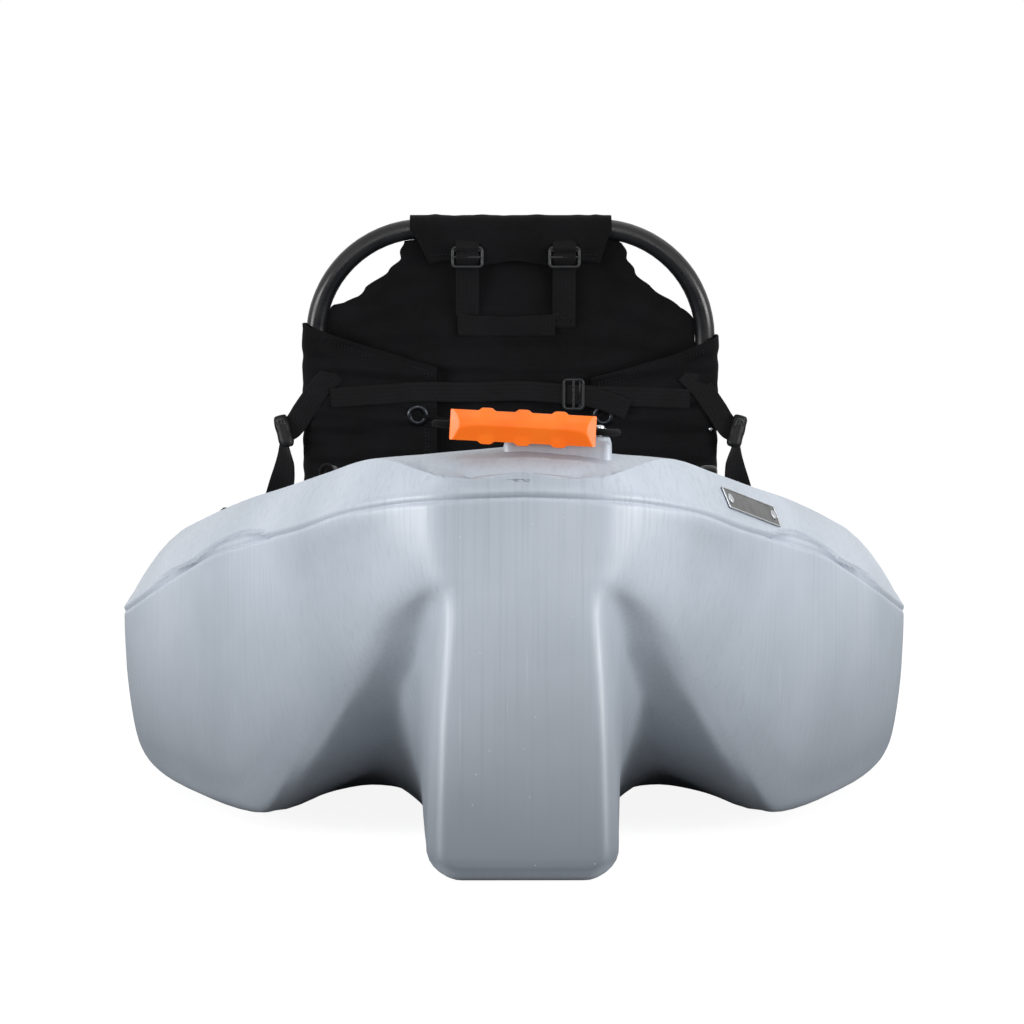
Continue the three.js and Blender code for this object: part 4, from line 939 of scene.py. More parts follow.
def carried(
    path: np.ndarray, profile: np.ndarray, first: np.ndarray, second: np.ndarray, size: np.ndarray | float = 1.0
) -> np.ndarray:
    """Rings of a profile at each point of a path.

    Args:
        path: points of the path.
        profile: closed outline of two coordinates.
        first: direction of its first axis at each point.
        second: direction of its second axis at each point.
        size: scale of the profile, for all points or at each.

    Returns:
        Array of rings, points and X, Y, Z.
    """
    scaled = profile[None] * np.reshape(size, (-1, 1, 1))
    return path[:, None] + scaled[:, :, :1] * first[:, None] + scaled[:, :, 1:] * second[:, None]


def swept(
    name: str, path: np.ndarray, profile: np.ndarray, across: Sequence[float], size: np.ndarray | float = 1.0
) -> Piece:
    """A closed profile carried along a path, square to it.

    The profile's first axis lies along the given direction made square to the path, and its second
    along their cross product.

    Args:
        name: piece name.
        path: points of the path.
        profile: closed outline of two coordinates.
        across: direction that the profile's first axis keeps to.
        size: scale of the profile at each point of the path.

    Returns:
        The closed solid.
    """
    along = units(np.gradient(path, axis=0))
    first = units(np.array(across, float) - along * (along @ np.array(across, float))[:, None])
    return grid_mesh(name, carried(path, profile, first, np.cross(along, first), size), wrap_columns=True, caps=True)


def turned(name: str, profile: Sequence[tuple[float, float]], sides: int = 48) -> Piece:
    """A profile of radius and height turned about Z, closed by its ends on the axis.

    Args:
        name: piece name.
        profile: radius and height pairs, from the bottom to the top.
        sides: steps round the axis.

    Returns:
        The closed solid.
    """
    line = np.array(profile, float)
    angle = np.linspace(0, math.tau, sides, endpoint=False)
    points = np.stack(
        [
            line[:, :1] * np.cos(angle),
            line[:, :1] * np.sin(angle),
            np.repeat(line[:, 1:], sides, axis=1),
        ],
        axis=2,
    )
    return grid_mesh(name, points, wrap_columns=True, caps=True)


def turned_ring(name: str, section: Sequence[Sequence[float]], sides: int) -> Piece:
    """A closed section of radius and height turned about Z.

    Args:
        name: piece name.
        section: radius and height pairs, round the section.
        sides: steps round the axis.

    Returns:
        The closed ring.
    """
    line = np.array(section)
    angle = np.linspace(0, math.tau, sides, endpoint=False)[:, None]
    points = np.stack([line[:, 0] * np.cos(angle), line[:, 0] * np.sin(angle), line[:, 1] + 0 * angle], axis=2)
    return grid_mesh(name, points, wrap_rows=True, wrap_columns=True)


def slab(name: str, outline: np.ndarray, low: float, high: float) -> Piece:
    """An outline raised along Z.

    Args:
        name: piece name.
        outline: closed outline in X and Y.
        low: height of its bottom.
        high: height of its top.

    Returns:
        The closed solid.
    """
    rings = [np.column_stack([outline, np.full(len(outline), z)]) for z in (low, high)]
    return grid_mesh(name, np.stack(rings), wrap_columns=True, caps=True)


def moved(piece: Piece, place: Sequence[float], turn: Sequence[float] = (0, 0, 0)) -> Piece:
    """Turns a mesh about the origin, then moves it.

    Args:
        piece: object whose mesh is moved.
        place: X, Y and Z.
        turn: angles about X, Y and Z in degrees.

    Returns:
        The same object.
    """
    matrix = Euler([math.radians(a) for a in turn]).to_matrix().to_4x4()
    matrix.translation = Vector(place)
    piece.data.transform(matrix)
    return piece


# Hull

STATION_SHARES = np.array(
    [
        0, 0.0085, 0.02, 0.034, 0.056, 0.085, 0.113, 0.155, 0.21, 0.27,
        0.37, 0.5, 0.62, 0.73, 0.82, 0.87, 0.92, 0.96, 0.983, 1,
    ]
)
# Half sections from the keel to the middle of the deck, as shares of the half beam and of the depth
SECTION_SHARES = np.array(
    [
        [
            [0, 0], [0.11, 0], [0.15, 0.05], [0.15, 0.55], [0.146, 0.655], [0.16, 0.674], [0.161, 0.7],
            [0.162, 0.73], [0.163, 0.77], [0.164, 0.82], [0.164, 0.876], [0.153, 0.93], [0.083, 0.953], [0, 0.96],
        ],
        [
            [0, 0], [0.126, 0], [0.184, 0.066], [0.172, 0.5], [0.152, 0.655], [0.192, 0.643], [0.209, 0.668],
            [0.223, 0.72], [0.228, 0.758], [0.23, 0.805], [0.23, 0.863], [0.214, 0.942], [0.12, 0.97], [0, 0.982],
        ],
        [
            [0, 0], [0.128, 0], [0.187, 0.066], [0.188, 0.43], [0.18, 0.585], [0.24, 0.597], [0.263, 0.618],
            [0.281, 0.668], [0.291, 0.728], [0.304, 0.787], [0.315, 0.847], [0.254, 0.97], [0.149, 0.976], [0, 0.995],
        ],
        [
            [0, 0], [0.132, 0], [0.19, 0.064], [0.198, 0.38], [0.21, 0.48], [0.28, 0.51], [0.303, 0.535],
            [0.321, 0.6], [0.337, 0.685], [0.354, 0.76], [0.372, 0.826], [0.309, 0.96], [0.175, 0.976], [0, 0.995],
        ],
        [
            [0, 0], [0.144, 0], [0.193, 0.058], [0.206, 0.25], [0.247, 0.382], [0.328, 0.395], [0.354, 0.416],
            [0.385, 0.474], [0.411, 0.566], [0.433, 0.684], [0.45, 0.79], [0.389, 0.929], [0.22, 0.96], [0, 0.982],
        ],
        [
            [0, 0], [0.147, 0], [0.195, 0.053], [0.21, 0.158], [0.267, 0.242], [0.43, 0.184], [0.464, 0.195],
            [0.503, 0.258], [0.527, 0.382], [0.543, 0.566], [0.547, 0.755], [0.49, 0.889], [0.263, 0.93], [0, 0.953],
        ],
        [
            [0, 0], [0.149, 0], [0.197, 0.035], [0.214, 0.09], [0.295, 0.158], [0.508, 0.053], [0.55, 0.043],
            [0.608, 0.095], [0.635, 0.224], [0.65, 0.46], [0.65, 0.716], [0.575, 0.858], [0.306, 0.889], [0, 0.908],
        ],
        [
            [0, 0], [0.153, 0], [0.2, 0.012], [0.219, 0.03], [0.33, 0.095], [0.514, 0.018], [0.624, 0.018],
            [0.722, 0.063], [0.76, 0.163], [0.783, 0.42], [0.78, 0.63], [0.696, 0.8], [0.35, 0.816], [0, 0.837],
        ],
        [
            [0, 0], [0.158, 0], [0.206, 0.012], [0.23, 0.018], [0.34, 0.026], [0.514, 0.003], [0.69, 0.005],
            [0.836, 0.058], [0.893, 0.145], [0.92, 0.36], [0.925, 0.52], [0.8, 0.74], [0.372, 0.753], [0, 0.774],
        ],
        [
            [0, 0], [0.162, 0], [0.21, 0.008], [0.236, 0.013], [0.35, 0.02], [0.525, 0], [0.71, 0],
            [0.868, 0.047], [0.93, 0.126], [0.963, 0.36], [0.966, 0.5], [0.845, 0.688], [0.394, 0.697], [0, 0.713],
        ],
        [
            [0, 0], [0.164, 0], [0.214, 0.008], [0.24, 0.013], [0.354, 0.02], [0.525, 0], [0.733, 0],
            [0.897, 0.042], [0.954, 0.121], [0.989, 0.374], [0.982, 0.51], [0.87, 0.658], [0.416, 0.666], [0, 0.676],
        ],
        [
            [0, 0], [0.164, 0], [0.214, 0.008], [0.24, 0.013], [0.354, 0.02], [0.525, 0], [0.74, 0],
            [0.906, 0.042], [0.965, 0.121], [1, 0.374], [0.985, 0.52], [0.882, 0.653], [0.416, 0.66], [0, 0.67],
        ],
        [
            [0, 0], [0.16, 0], [0.21, 0.008], [0.236, 0.013], [0.34, 0.02], [0.503, 0], [0.69, 0],
            [0.853, 0.047], [0.917, 0.132], [0.963, 0.389], [0.95, 0.534], [0.85, 0.668], [0.405, 0.682], [0, 0.695],
        ],
        [
            [0, 0], [0.144, 0], [0.193, 0.01], [0.214, 0.018], [0.295, 0.024], [0.416, 0.008], [0.558, 0.013],
            [0.722, 0.079], [0.792, 0.174], [0.85, 0.42], [0.84, 0.574], [0.748, 0.71], [0.36, 0.742], [0, 0.763],
        ],
        [
            [0, 0.026], [0.116, 0.026], [0.16, 0.042], [0.175, 0.063], [0.23, 0.079], [0.313, 0.045], [0.42, 0.063],
            [0.558, 0.145], [0.628, 0.242], [0.69, 0.479], [0.687, 0.637], [0.613, 0.784], [0.302, 0.837], [0, 0.86],
        ],
        [
            [0, 0.089], [0.088, 0.089], [0.125, 0.103], [0.138, 0.121], [0.175, 0.134], [0.23, 0.118], [0.306, 0.147],
            [0.407, 0.242], [0.466, 0.342], [0.525, 0.547], [0.534, 0.695], [0.468, 0.842], [0.24, 0.903], [0, 0.93],
        ],
        [
            [0, 0.197], [0.063, 0.197], [0.092, 0.211], [0.103, 0.226], [0.127, 0.239], [0.16, 0.237], [0.21, 0.274],
            [0.28, 0.368], [0.326, 0.46], [0.372, 0.626], [0.385, 0.75], [0.333, 0.889], [0.175, 0.945], [0, 0.97],
        ],
        [
            [0, 0.342], [0.039, 0.342], [0.059, 0.355], [0.068, 0.368], [0.083, 0.382], [0.103, 0.392], [0.133, 0.429],
            [0.175, 0.5], [0.204, 0.566], [0.236, 0.695], [0.247, 0.795], [0.214, 0.924], [0.118, 0.97], [0, 0.992],
        ],
        [
            [0, 0.5], [0.022, 0.5], [0.033, 0.511], [0.039, 0.52], [0.048, 0.534], [0.059, 0.547], [0.077, 0.579],
            [0.098, 0.626], [0.116, 0.67], [0.133, 0.76], [0.142, 0.834], [0.125, 0.94], [0.068, 0.979], [0, 0.995],
        ],
        [
            [0, 0.69], [0.009, 0.69], [0.013, 0.695], [0.015, 0.7], [0.018, 0.708], [0.02, 0.716], [0.024, 0.734],
            [0.03, 0.758], [0.035, 0.782], [0.039, 0.82], [0.042, 0.858], [0.039, 0.932], [0.022, 0.966], [0, 0.976],
        ],
    ]
)

PARTING_LINE = 10
DECK_MIDDLE = SECTION_SHARES.shape[1] - 1


@dataclass
class HullForm:
    """The hull's lines: one smooth surface over shares of the length and places round the section.

    Both parameters follow monotone cubics through the table, so the CAD's lines are kept.
    """

    length: float = 3.55
    half_beam: float = 0.457
    depth: float = 0.38
    shoulder_flat: float = 0.55
    height_shares: Sequence[Sequence[float]] = ((8.5, 9.8, 11.1, 11.7), (0, 1, 1, 0))
    soft_pull: float = 0.6
    soft_fade: int = 12
    ripple_pitch: float = 0.0125
    wave_start: float = 0.076
    wave_share: float = 0.096
    face_steps: int = 14
    seam_arch: float = 0.003
    soft_rings: int = 30
    soft_passes: int = 60
    soft_shares: Sequence[tuple[float, float]] = (
        (2.3, 0), (3, 0.12), (4, 0.4), (7, 0.6), (9.8, 0.5), (10.6, 1), (11.6, 1), (13, 0.7)
    )
    tunnel_shares: Sequence[tuple[float, float]] = ((2.6, 0), (3.8, 0.7), (7, 0.7), (8.6, 0))
    end_round: float = 0.014
    end_steps: int = 5
    seam_width: float = 0.0017
    seam_depth: float = 0.0014
    lip_height: float = 0.0011
    wave_depth: float = 0.0042
    wave_height: float = 0.0135
    ripple: float = 0.0013

    @property
    def stern(self) -> float:
        """Y of the stern."""
        return -self.length / 2

    def half_sections(self, shares: np.ndarray, places: np.ndarray) -> np.ndarray:
        """Half sections at shares of the length.

        Args:
            shares: shares of the length from the stern.
            places: places round the section, 0 at the keel and 13 at the middle of the deck.

        Returns:
            Array of shares, places and X, Z.
        """
        table = steady_curve(STATION_SHARES, SECTION_SHARES, shares)
        size = np.array([self.half_beam, self.depth])
        order = np.arange(table.shape[1], dtype=float)
        corners = np.swapaxes(table * size, 0, 1)
        curve = steady_curve(order, corners, places)
        whole = np.minimum(places.astype(int), len(order) - 2)
        part = (places - whole)[:, None, None]
        chord = corners[whole] * (1 - part) + corners[whole + 1] * part
        flat = self.shoulder_flat * np.clip((places - PARTING_LINE) * 4, 0, 1)[:, None, None]
        return np.swapaxes(curve + (chord - curve) * flat, 0, 1)

    def deck(self, x: np.ndarray, y: np.ndarray) -> np.ndarray:
        """Height of the deck over places.

        Args:
            x: X of each place.
            y: Y of each place.

        Returns:
            Z of each place.
        """
        x, y = np.atleast_1d(np.abs(x)).astype(float), np.atleast_1d(y).astype(float)
        line = self.half_sections((y - self.stern) / self.length, np.linspace(PARTING_LINE, DECK_MIDDLE, 40))
        after = np.clip((line[:, :, 0] > x[:, None]).sum(axis=1), 1, line.shape[1] - 1)
        row = np.arange(len(x))
        (x0, z0), (x1, z1) = line[row, after - 1].T, line[row, after].T
        return z0 + (z1 - z0) * (x - x0) / (x1 - x0)

    def skin(self) -> tuple[np.ndarray, int]:
        """Rings round the whole hull, with its moulded details and both ends closed inwards.

        The stern's flat end is a ladder of level rows from the middle to the first rounded ring,
        so that the parting line crosses it. Above the parting line the end is softened in plan.

        Returns:
            Array of rings, points and X, Y, Z, and the first place of the ladder's rows.
        """
        spans = np.diff(STATION_SHARES) * self.length
        steps = np.maximum(2, np.round(spans / np.where(STATION_SHARES[1:] < 0.2, 0.011, 0.02)).astype(int))
        shares = np.concatenate(
            [np.linspace(a, b, n, endpoint=False) for a, b, n in zip(STATION_SHARES, STATION_SHARES[1:], steps)]
        )
        shares = shares[shares > 0.0035]
        shares = np.concatenate([[self.end_round / self.length], shares, [1 - self.end_round / self.length]])
        places = np.concatenate(
            [
                np.arange(0, PARTING_LINE - 1, 0.16),
                PARTING_LINE - np.array([0.75, 0.55, 0.4, 0.3, 0.23, 0.17, 0.12, 0.08, 0.05, 0.025]),
                PARTING_LINE + np.arange(0, 0.37, 0.02),
                PARTING_LINE + np.array([0.44, 0.55, 0.7, 0.85]),
                np.arange(PARTING_LINE + 1, DECK_MIDDLE, 0.125),
                [DECK_MIDDLE],
            ]
        )
        half = self.half_sections(shares, places)
        y = np.broadcast_to((self.stern + shares * self.length)[:, None], half.shape[:2])
        body = np.stack([half[:, :, 0], y, half[:, :, 1]], axis=2)
        stern, bow = self.rounded_end(body[0], -1), self.rounded_end(body[-1], 1)
        across = np.linspace(0, 1, self.face_steps, endpoint=False)[:, None]
        face = np.broadcast_to(stern[0], (self.face_steps, *stern[0].shape)).copy()
        face[:, :, 0] *= across
        near = np.exp(-(((places - PARTING_LINE) / 0.8) ** 2))
        face[:, :, 2] += self.seam_arch * near * (1 - across**2)
        grid = np.concatenate([face, stern, body, bow])
        grid = self.softened(grid, places)
        grid = grid + self.details(grid, places)
        grid[:, [0, -1], 0] = 0
        return grid, int(np.argmin(np.abs(places - 2)))

    def softened(self, grid: np.ndarray, places: np.ndarray) -> np.ndarray:
        """Rounds the stern: each point moves towards the mean of its neighbours, along and around.

        Along the hull, heights move only near the parting line, so that the corners below it and the
        deck's crest are rounded in plan. Around the section, only the tunnel's upper edge moves.

        Args:
            grid: starboard half of the skin, from the middle of the stern's face forward.
            places: its places round the section.

        Returns:
            The softened half.
        """
        share = np.interp(places, *np.array(self.soft_shares).T)[:, None]
        height = np.interp(places, *self.height_shares)
        along = self.soft_pull * share * np.column_stack([np.ones_like(height), np.ones_like(height), height])
        on_face = (np.arange(self.soft_rings) < self.face_steps)[:, None, None]
        along = np.where(on_face, along * np.clip(DECK_MIDDLE - places, 0, 1)[:, None], along)
        around = self.soft_pull * np.interp(places, *np.array(self.tunnel_shares).T)[:, None]
        fade = np.clip(np.arange(self.soft_rings)[::-1] / self.soft_fade, 0, 1)[:, None, None]
        part = grid[: self.soft_rings]
        for _ in range(self.soft_passes):
            fore, side = part.copy(), part.copy()
            fore[1:-1] = (part[:-2] + part[2:]) / 2
            side[:, 1:-1] = (part[:, :-2] + part[:, 2:]) / 2
            part = part + ((fore - part) * along + (side - part) * around) * fade
        return np.concatenate([part, grid[self.soft_rings :]])

    def shell(self) -> Piece:
        """The closed skin: both halves' strips, the ladder and a flat face below it.

        Returns:
            The hull's outside.
        """
        grid, low = self.skin()
        rings, count = grid.shape[:2]
        mirror = grid * np.array([-1, 1, 1])
        quads = cell_faces(rings, count, False, False)
        first, column = quads[:, 0] // count, quads[:, 0] % count
        kept = quads[(first >= self.face_steps) | (column >= low)]
        starboard = kept.tolist()
        port = (kept[:, ::-1] + rings * count).tolist()
        edge = self.face_steps * count
        right = [*(np.arange(self.face_steps + 1) * count + low), *(edge + column for column in range(low - 1, -1, -1))]
        stern = right + [rings * count + index for index in right[::-1]]
        last = [(rings - 1) * count + column for column in range(count)]
        bow = last + [rings * count + index for index in last[::-1]]
        work = bmesh.new()
        mesh = bpy.data.meshes.new("hull_moulding")
        mesh.from_pydata(np.concatenate([grid, mirror]).reshape(-1, 3).tolist(), [], [*starboard, *port, stern, bow])
        work.from_mesh(mesh)
        bmesh.ops.remove_doubles(work, verts=work.verts, dist=1e-6)
        bmesh.ops.recalc_face_normals(work, faces=work.faces)
        work.to_mesh(mesh)
        work.free()
        mesh.uv_layers.new(name="UVMap")
        hull = linked("hull_moulding", mesh)
        turned_out(hull)
        return hull

    def rounded_end(self, ring: np.ndarray, way: int) -> np.ndarray:
        """Rings that turn a quarter circle in from an end ring.

        Args:
            ring: starboard half of the end ring.
            way: -1 at the stern or 1 at the bow.

        Returns:
            Rings, in the order of the skin.
        """
        along = np.roll(ring, -1, axis=0) - np.roll(ring, 1, axis=0)
        along[[0, -1]] = [1, 0, 0], [-1, 0, 0]
        inward = units(np.stack([-along[:, 2], np.zeros(len(ring)), along[:, 0]], axis=1))
        turn = np.linspace(0, math.pi / 2, self.end_steps + 1)[1:, None, None]
        past = np.array([0, way * self.end_round, 0])
        rings = ring + inward * self.end_round * (1 - np.cos(turn)) + past * np.sin(turn)
        return rings[::-1] if way < 0 else rings

    def details(self, points: np.ndarray, places: np.ndarray) -> np.ndarray:
        """Moulded details as moves along the skin's normal.

        The parting line is a bell-shaped groove with a bell-shaped lip above it. The wave is a
        recess above it on each quarter, whose height follows a table of shares. Ripples are sines
        under a bell on the stern's shoulder.

        Args:
            points: starboard half of the skin.
            places: its places round the section.

        Returns:
            Moves of the same shape as the points.
        """
        run = np.cumsum(np.linalg.norm(np.diff(points, axis=1, prepend=points[:, :1]), axis=2), axis=1)
        seam = int(np.argmin(np.abs(places - PARTING_LINE)))
        above = run - run[:, seam : seam + 1]
        move = -self.seam_depth * np.exp(-((above / self.seam_width) ** 2))
        move += self.lip_height * np.exp(-(((above - 0.0055) / 0.003) ** 2))
        share = (points[:, :, 1] - self.stern) / self.length
        along = (share - self.wave_start) / self.wave_share
        lobes = np.interp(
            along, [0, 0.1, 0.22, 0.35, 0.48, 0.6, 0.74, 0.86, 0.95, 1], [0, 0.6, 1, 0.95, 0.6, 0.25, 0.5, 0.9, 0.6, 0]
        )
        reach = np.maximum(lobes * self.wave_height, 1e-6)
        inside = np.clip((above + 0.001) / reach, 0, 1)
        edge = np.clip(4 * inside * (1 - inside), 0, 1) ** 0.5 * np.clip(lobes * 4, 0, 1)
        move -= self.wave_depth * edge * (inside < 1) * (inside > 0)
        move -= self.seam_depth * 1.9 * np.exp(-(((above - reach - 0.001) / 0.0016) ** 2)) * np.clip(lobes * 3, 0, 1)
        x, y = points[:, :, 0], points[:, :, 1]
        bell = np.exp(-(((x - 0.093) / 0.026) ** 2) - ((y - self.stern - 0.03) / 0.03) ** 2)
        phase = math.tau * (x + 0.35 * (y - self.stern)) / self.ripple_pitch
        move += self.ripple * bell * np.sin(phase) * (places > 10.5)
        across = np.gradient(points, axis=1)
        along_skin = np.gradient(points, axis=0)
        normal = np.cross(across, along_skin)
        normal /= np.maximum(np.linalg.norm(normal, axis=2, keepdims=True), 1e-9)
        keep = np.ones((points.shape[1], 3))
        keep[[0, -1], 0] = 0
        return -normal * move[:, :, None] * keep


FORM = HullForm()

# Places that several pieces share
STERN_SCREW_Y, STERN_SCREWS = -1.719, (-0.01, 0.067)
BOW_SCREW_Y, BOW_SCREWS = 1.668, (-0.032, 0.032)
SIDE_HANDLE, SIDE_SCREWS = (0.383, 0.4), (-0.062, 0.062)
SCREW_HEAD = 0.0052
DRAIN_Y = 1.545
DAY_HATCH = (0.0, 0.56, 0.1783)
ROD_HOLDER, ROD_LEAN = (0.29, -0.785), 30


@dataclass
class Well:
    """A straight-sided well in the deck, with a filleted floor and a rolled lip."""

    corners: Sequence[tuple[float, float]]
    corner_radius: float
    floor: float
    fillet: float
    lip: float = 0.012
    steps: int = 220

    def cutter(self, name: str) -> Piece:
        """The well's space as a closed solid.

        Rings of the outline go from the floor up: a quarter circle into the wall, the wall, and a
        quarter circle out to the deck, whose height is read at each point.

        Args:
            name: object name.

        Returns:
            The cutter.
        """
        outline = even_steps(rounded_outline(self.corners, self.corner_radius, 12), self.steps, True)
        along = np.roll(outline, -1, axis=0) - np.roll(outline, 1, axis=0)
        inward = units(np.column_stack([-along[:, 1], along[:, 0]]))
        deck = FORM.deck(outline[:, 0], outline[:, 1])
        rings = []
        for angle in np.linspace(0, math.pi / 2, 6):
            ring = outline + inward * self.fillet * (1 - math.sin(angle))
            height = np.full(len(ring), self.floor + self.fillet * (1 - math.cos(angle)))
            rings.append(np.column_stack([ring, height]))
        for share in (0.35, 0.7):
            low = self.floor + self.fillet
            rings.append(np.column_stack([outline, low + (deck - self.lip - low) * share]))
        for angle in np.linspace(0, math.radians(72), 7):
            ring = outline - inward * self.lip * (1 - math.cos(angle))
            height = FORM.deck(ring[:, 0], ring[:, 1]) - self.lip + self.lip * math.sin(angle)
            rings.append(np.column_stack([ring, height]))
        rings.append(rings[-1] + np.array([0, 0, 0.05]))
        return grid_mesh(name, np.stack(rings), wrap_columns=True, caps=True)


@dataclass
class Hull:
    """The moulded hull: its skin less wells, recesses, scuppers and bores, plus pads and a console."""

    cockpit: Well = field(
        default_factory=lambda: Well(
            [(-0.3, -0.62), (0.3, -0.62), (0.3, 0.79), (0.235, 0.94), (-0.235, 0.94), (-0.3, 0.79)],
            0.07,
            0.085,
            0.022,
        )
    )
    tank: Well = field(
        default_factory=lambda: Well(
            [(-0.145, -1.5), (0.145, -1.5), (0.268, -0.85), (-0.268, -0.85)], 0.06, 0.165, 0.02
        )
    )
    scuppers: Sequence[tuple[float, float]] = ((0.155, -0.3), (0.155, 0.25), (0.095, -1.2))
    scupper_bore: float = 0.016
    console_half: float = 0.092
    console_aft: float = 0.42
    console_top: float = 0.178
    rib_height: float = 0.004

    def build(self) -> None:
        """Builds the hull and rides it on the hull body."""
        hull = FORM.shell()
        joined_solid(hull, [self.cockpit.cutter("cockpit_space"), self.tank.cutter("tank_space")], "DIFFERENCE")
        joined_solid(hull, [self.console(), *self.pads(), *self.ribs()], "UNION")
        joined_solid(hull, self.bores(), "DIFFERENCE")
        dressed(hull, HULL_POLYETHYLENE, Body.HULL, ["hull_shell"], 32)

    def console(self) -> Piece:
        """The block between the foot wells, with rounded edges.

        Returns:
            Closed solid that ends inside the well's forward wall.
        """
        outline = rounded_outline(
            [
                (-self.console_half, self.console_aft),
                (self.console_half, self.console_aft),
                (self.console_half, 1.0),
                (-self.console_half, 1.0),
            ],
            0.03,
        )
        middle = np.array([0.0, 0.71])
        rings = [np.column_stack([outline, np.full(len(outline), 0.06)])]
        for angle in np.linspace(0, math.pi / 2, 6):
            inset = 0.014 * (1 - math.cos(angle))
            size = 1 - inset / np.array([self.console_half, 0.29])
            ring = (outline - middle) * size + middle
            height = np.full(len(ring), self.console_top - 0.014 * (1 - math.sin(angle)))
            rings.append(np.column_stack([ring, height]))
        return grid_mesh("console_block", np.stack(rings), wrap_columns=True, caps=True)

    def pads(self) -> list[Piece]:
        """Raised pads for the handles at both ends, and the drain's boss.

        Returns:
            Closed solids.
        """
        stern = [(-0.021, -1.736), (0.078, -1.736), (0.078, -1.702), (-0.006, -1.702)]
        bow = rectangle(-0.042, 1.651, 0.042, 1.685)
        made = []
        for name, corners, top in (("stern_pad", stern, 0.382), ("bow_pad", bow, 0.390)):
            pad = slab(name, rounded_outline(corners, 0.008), top - 0.03, top)
            made.append(rounded_edges(pad, 0.004, 3, 60))
        boss = turned("stern_boss", [(0.012, 0.35), (0.0115, 0.380), (0.010, 0.385), (0.008, 0.386)], 32)
        made.append(moved(boss, (STERN_SCREWS[1], STERN_SCREW_Y, 0)))
        drain_top = float(FORM.deck(0, DRAIN_Y)[0]) + 0.004
        drain = [
            (0.027, drain_top - 0.03), (0.0255, drain_top - 0.003), (0.024, drain_top - 0.0005), (0.022, drain_top),
        ]
        made.append(moved(turned("drain_boss", drain, 40), (0, DRAIN_Y, 0)))
        return made

    def ribs(self) -> list[Piece]:
        """Low ribs along the foot wells and the tank well's floor, each with round ends.

        Returns:
            Closed solids.
        """
        made = []
        lines = [(s * x, 0.47, 0.87, self.cockpit.floor) for x in (0.135, 0.165, 0.195) for s in (-1, 1)]
        lines += [(x, -1.42, -0.93, self.tank.floor) for x in (-0.045, 0.0, 0.045)]
        for number, (x, aft, forward, floor) in enumerate(lines):
            y = np.linspace(0, 1, 25)
            lift = self.rib_height * np.minimum(1, np.sin(math.pi * y) * 6) ** 0.5
            path = np.column_stack([np.full(25, x), aft + (forward - aft) * y, np.full(25, floor - 0.002)])
            size = np.clip(lift / self.rib_height, 0.35, 1)
            made.append(swept(f"floor_rib_{number}", path, circle(1, 14) * [0.006, 0.005], (1, 0, 0), size))
        return made

    def bores(self) -> list[Piece]:
        """Scuppers, hatch recess and hold, day hatch, drain and rod holder bores.

        Returns:
            Closed cutters.
        """
        made = []
        for number, (x, y) in enumerate([(s * x, y) for x, y in self.scuppers for s in (-1, 1)]):
            floor = self.tank.floor if y < -1 else self.cockpit.floor
            bore, lip = self.scupper_bore, 0.006
            mouth = [
                (bore + lip * (1 - math.cos(a)), floor - lip + lip * math.sin(a))
                for a in np.linspace(0, math.radians(75), 5)
            ]
            profile = [(bore, -0.02), *mouth, (mouth[-1][0], floor + 0.03)]
            made.append(moved(turned(f"scupper_{number}", profile, 36), (x, y, 0)))
        made += HATCH_PLACE.cutters()
        made.append(moved(turned("day_hold", [(0.0565, 0.03), (0.0565, 0.3)], 56), (*DAY_HATCH[:2], 0)))
        drain_top = float(FORM.deck(0, DRAIN_Y)[0])
        made.append(moved(turned("drain_bore", [(0.0093, drain_top - 0.03), (0.0093, 0.45)], 32), (0, DRAIN_Y, 0)))
        for side in Side:
            place = (side.sign * ROD_HOLDER[0], ROD_HOLDER[1], float(FORM.deck(*ROD_HOLDER)[0]))
            bore = turned("rod_bore", [(0.0249, -0.208), (0.0249, 0.2)], 40)
            made.append(moved(bore, place, (ROD_LEAN, 0, 0)))
        return made


@dataclass
class HatchPlace:
    """Where the bow hatch lies: a frame that follows the deck's slope."""

    y: float = 1.22
    half_length: float = 0.16
    half_width: float = 0.112
    corner: float = 0.07
    sink: float = 0.013
    overhang: float = 0.005
    reach: float = 0.011
    hinge_half: float = 0.036

    @property
    def slope(self) -> float:
        """Tilt about X in degrees."""
        high = FORM.deck(0, self.y + self.half_length) - FORM.deck(0, self.y - self.half_length)
        return math.degrees(math.atan2(float(high[0]), 2 * self.half_length))

    @property
    def place(self) -> tuple[float, float, float]:
        """Origin of the frame."""
        return (0, self.y, float(FORM.deck(0, self.y)[0]) - self.sink)

    def outline(self, inset: float) -> np.ndarray:
        """The hatch's outline, drawn in.

        Args:
            inset: distance drawn in.

        Returns:
            Array of X and Y about the frame's origin.
        """
        x, y = self.half_width - inset, self.half_length - inset
        return rounded_outline(rectangle(-x, -y, x, y), self.corner - inset, 14)

    def seated(self, piece: Piece) -> Piece:
        """Moves a piece from the hatch's frame to the boat's.

        Args:
            piece: object built about the frame's origin.

        Returns:
            The same object.
        """
        return moved(piece, self.place, (self.slope, 0, 0))

    def cutters(self) -> list[Piece]:
        """The recess round the lid, its hinge pocket and the hold below.

        Returns:
            Closed cutters.
        """
        recess = rounded_edges(slab("hatch_recess", self.outline(-self.reach), 0, 0.06), 0.004, 3, 60)
        outline = rounded_outline(rectangle(-self.hinge_half, 0, self.hinge_half, 0.183), 0.006)
        pocket = slab("hinge_pocket", outline, 0, 0.06)
        neck = slab("hatch_neck", self.outline(0.016), -0.06, 0.02)
        hold = slab("bow_hold", self.outline(0.03), 0.085, 0.30)
        return [self.seated(recess), self.seated(pocket), self.seated(neck), moved(hold, (0, self.y, 0))]


HATCH_PLACE = HatchPlace()


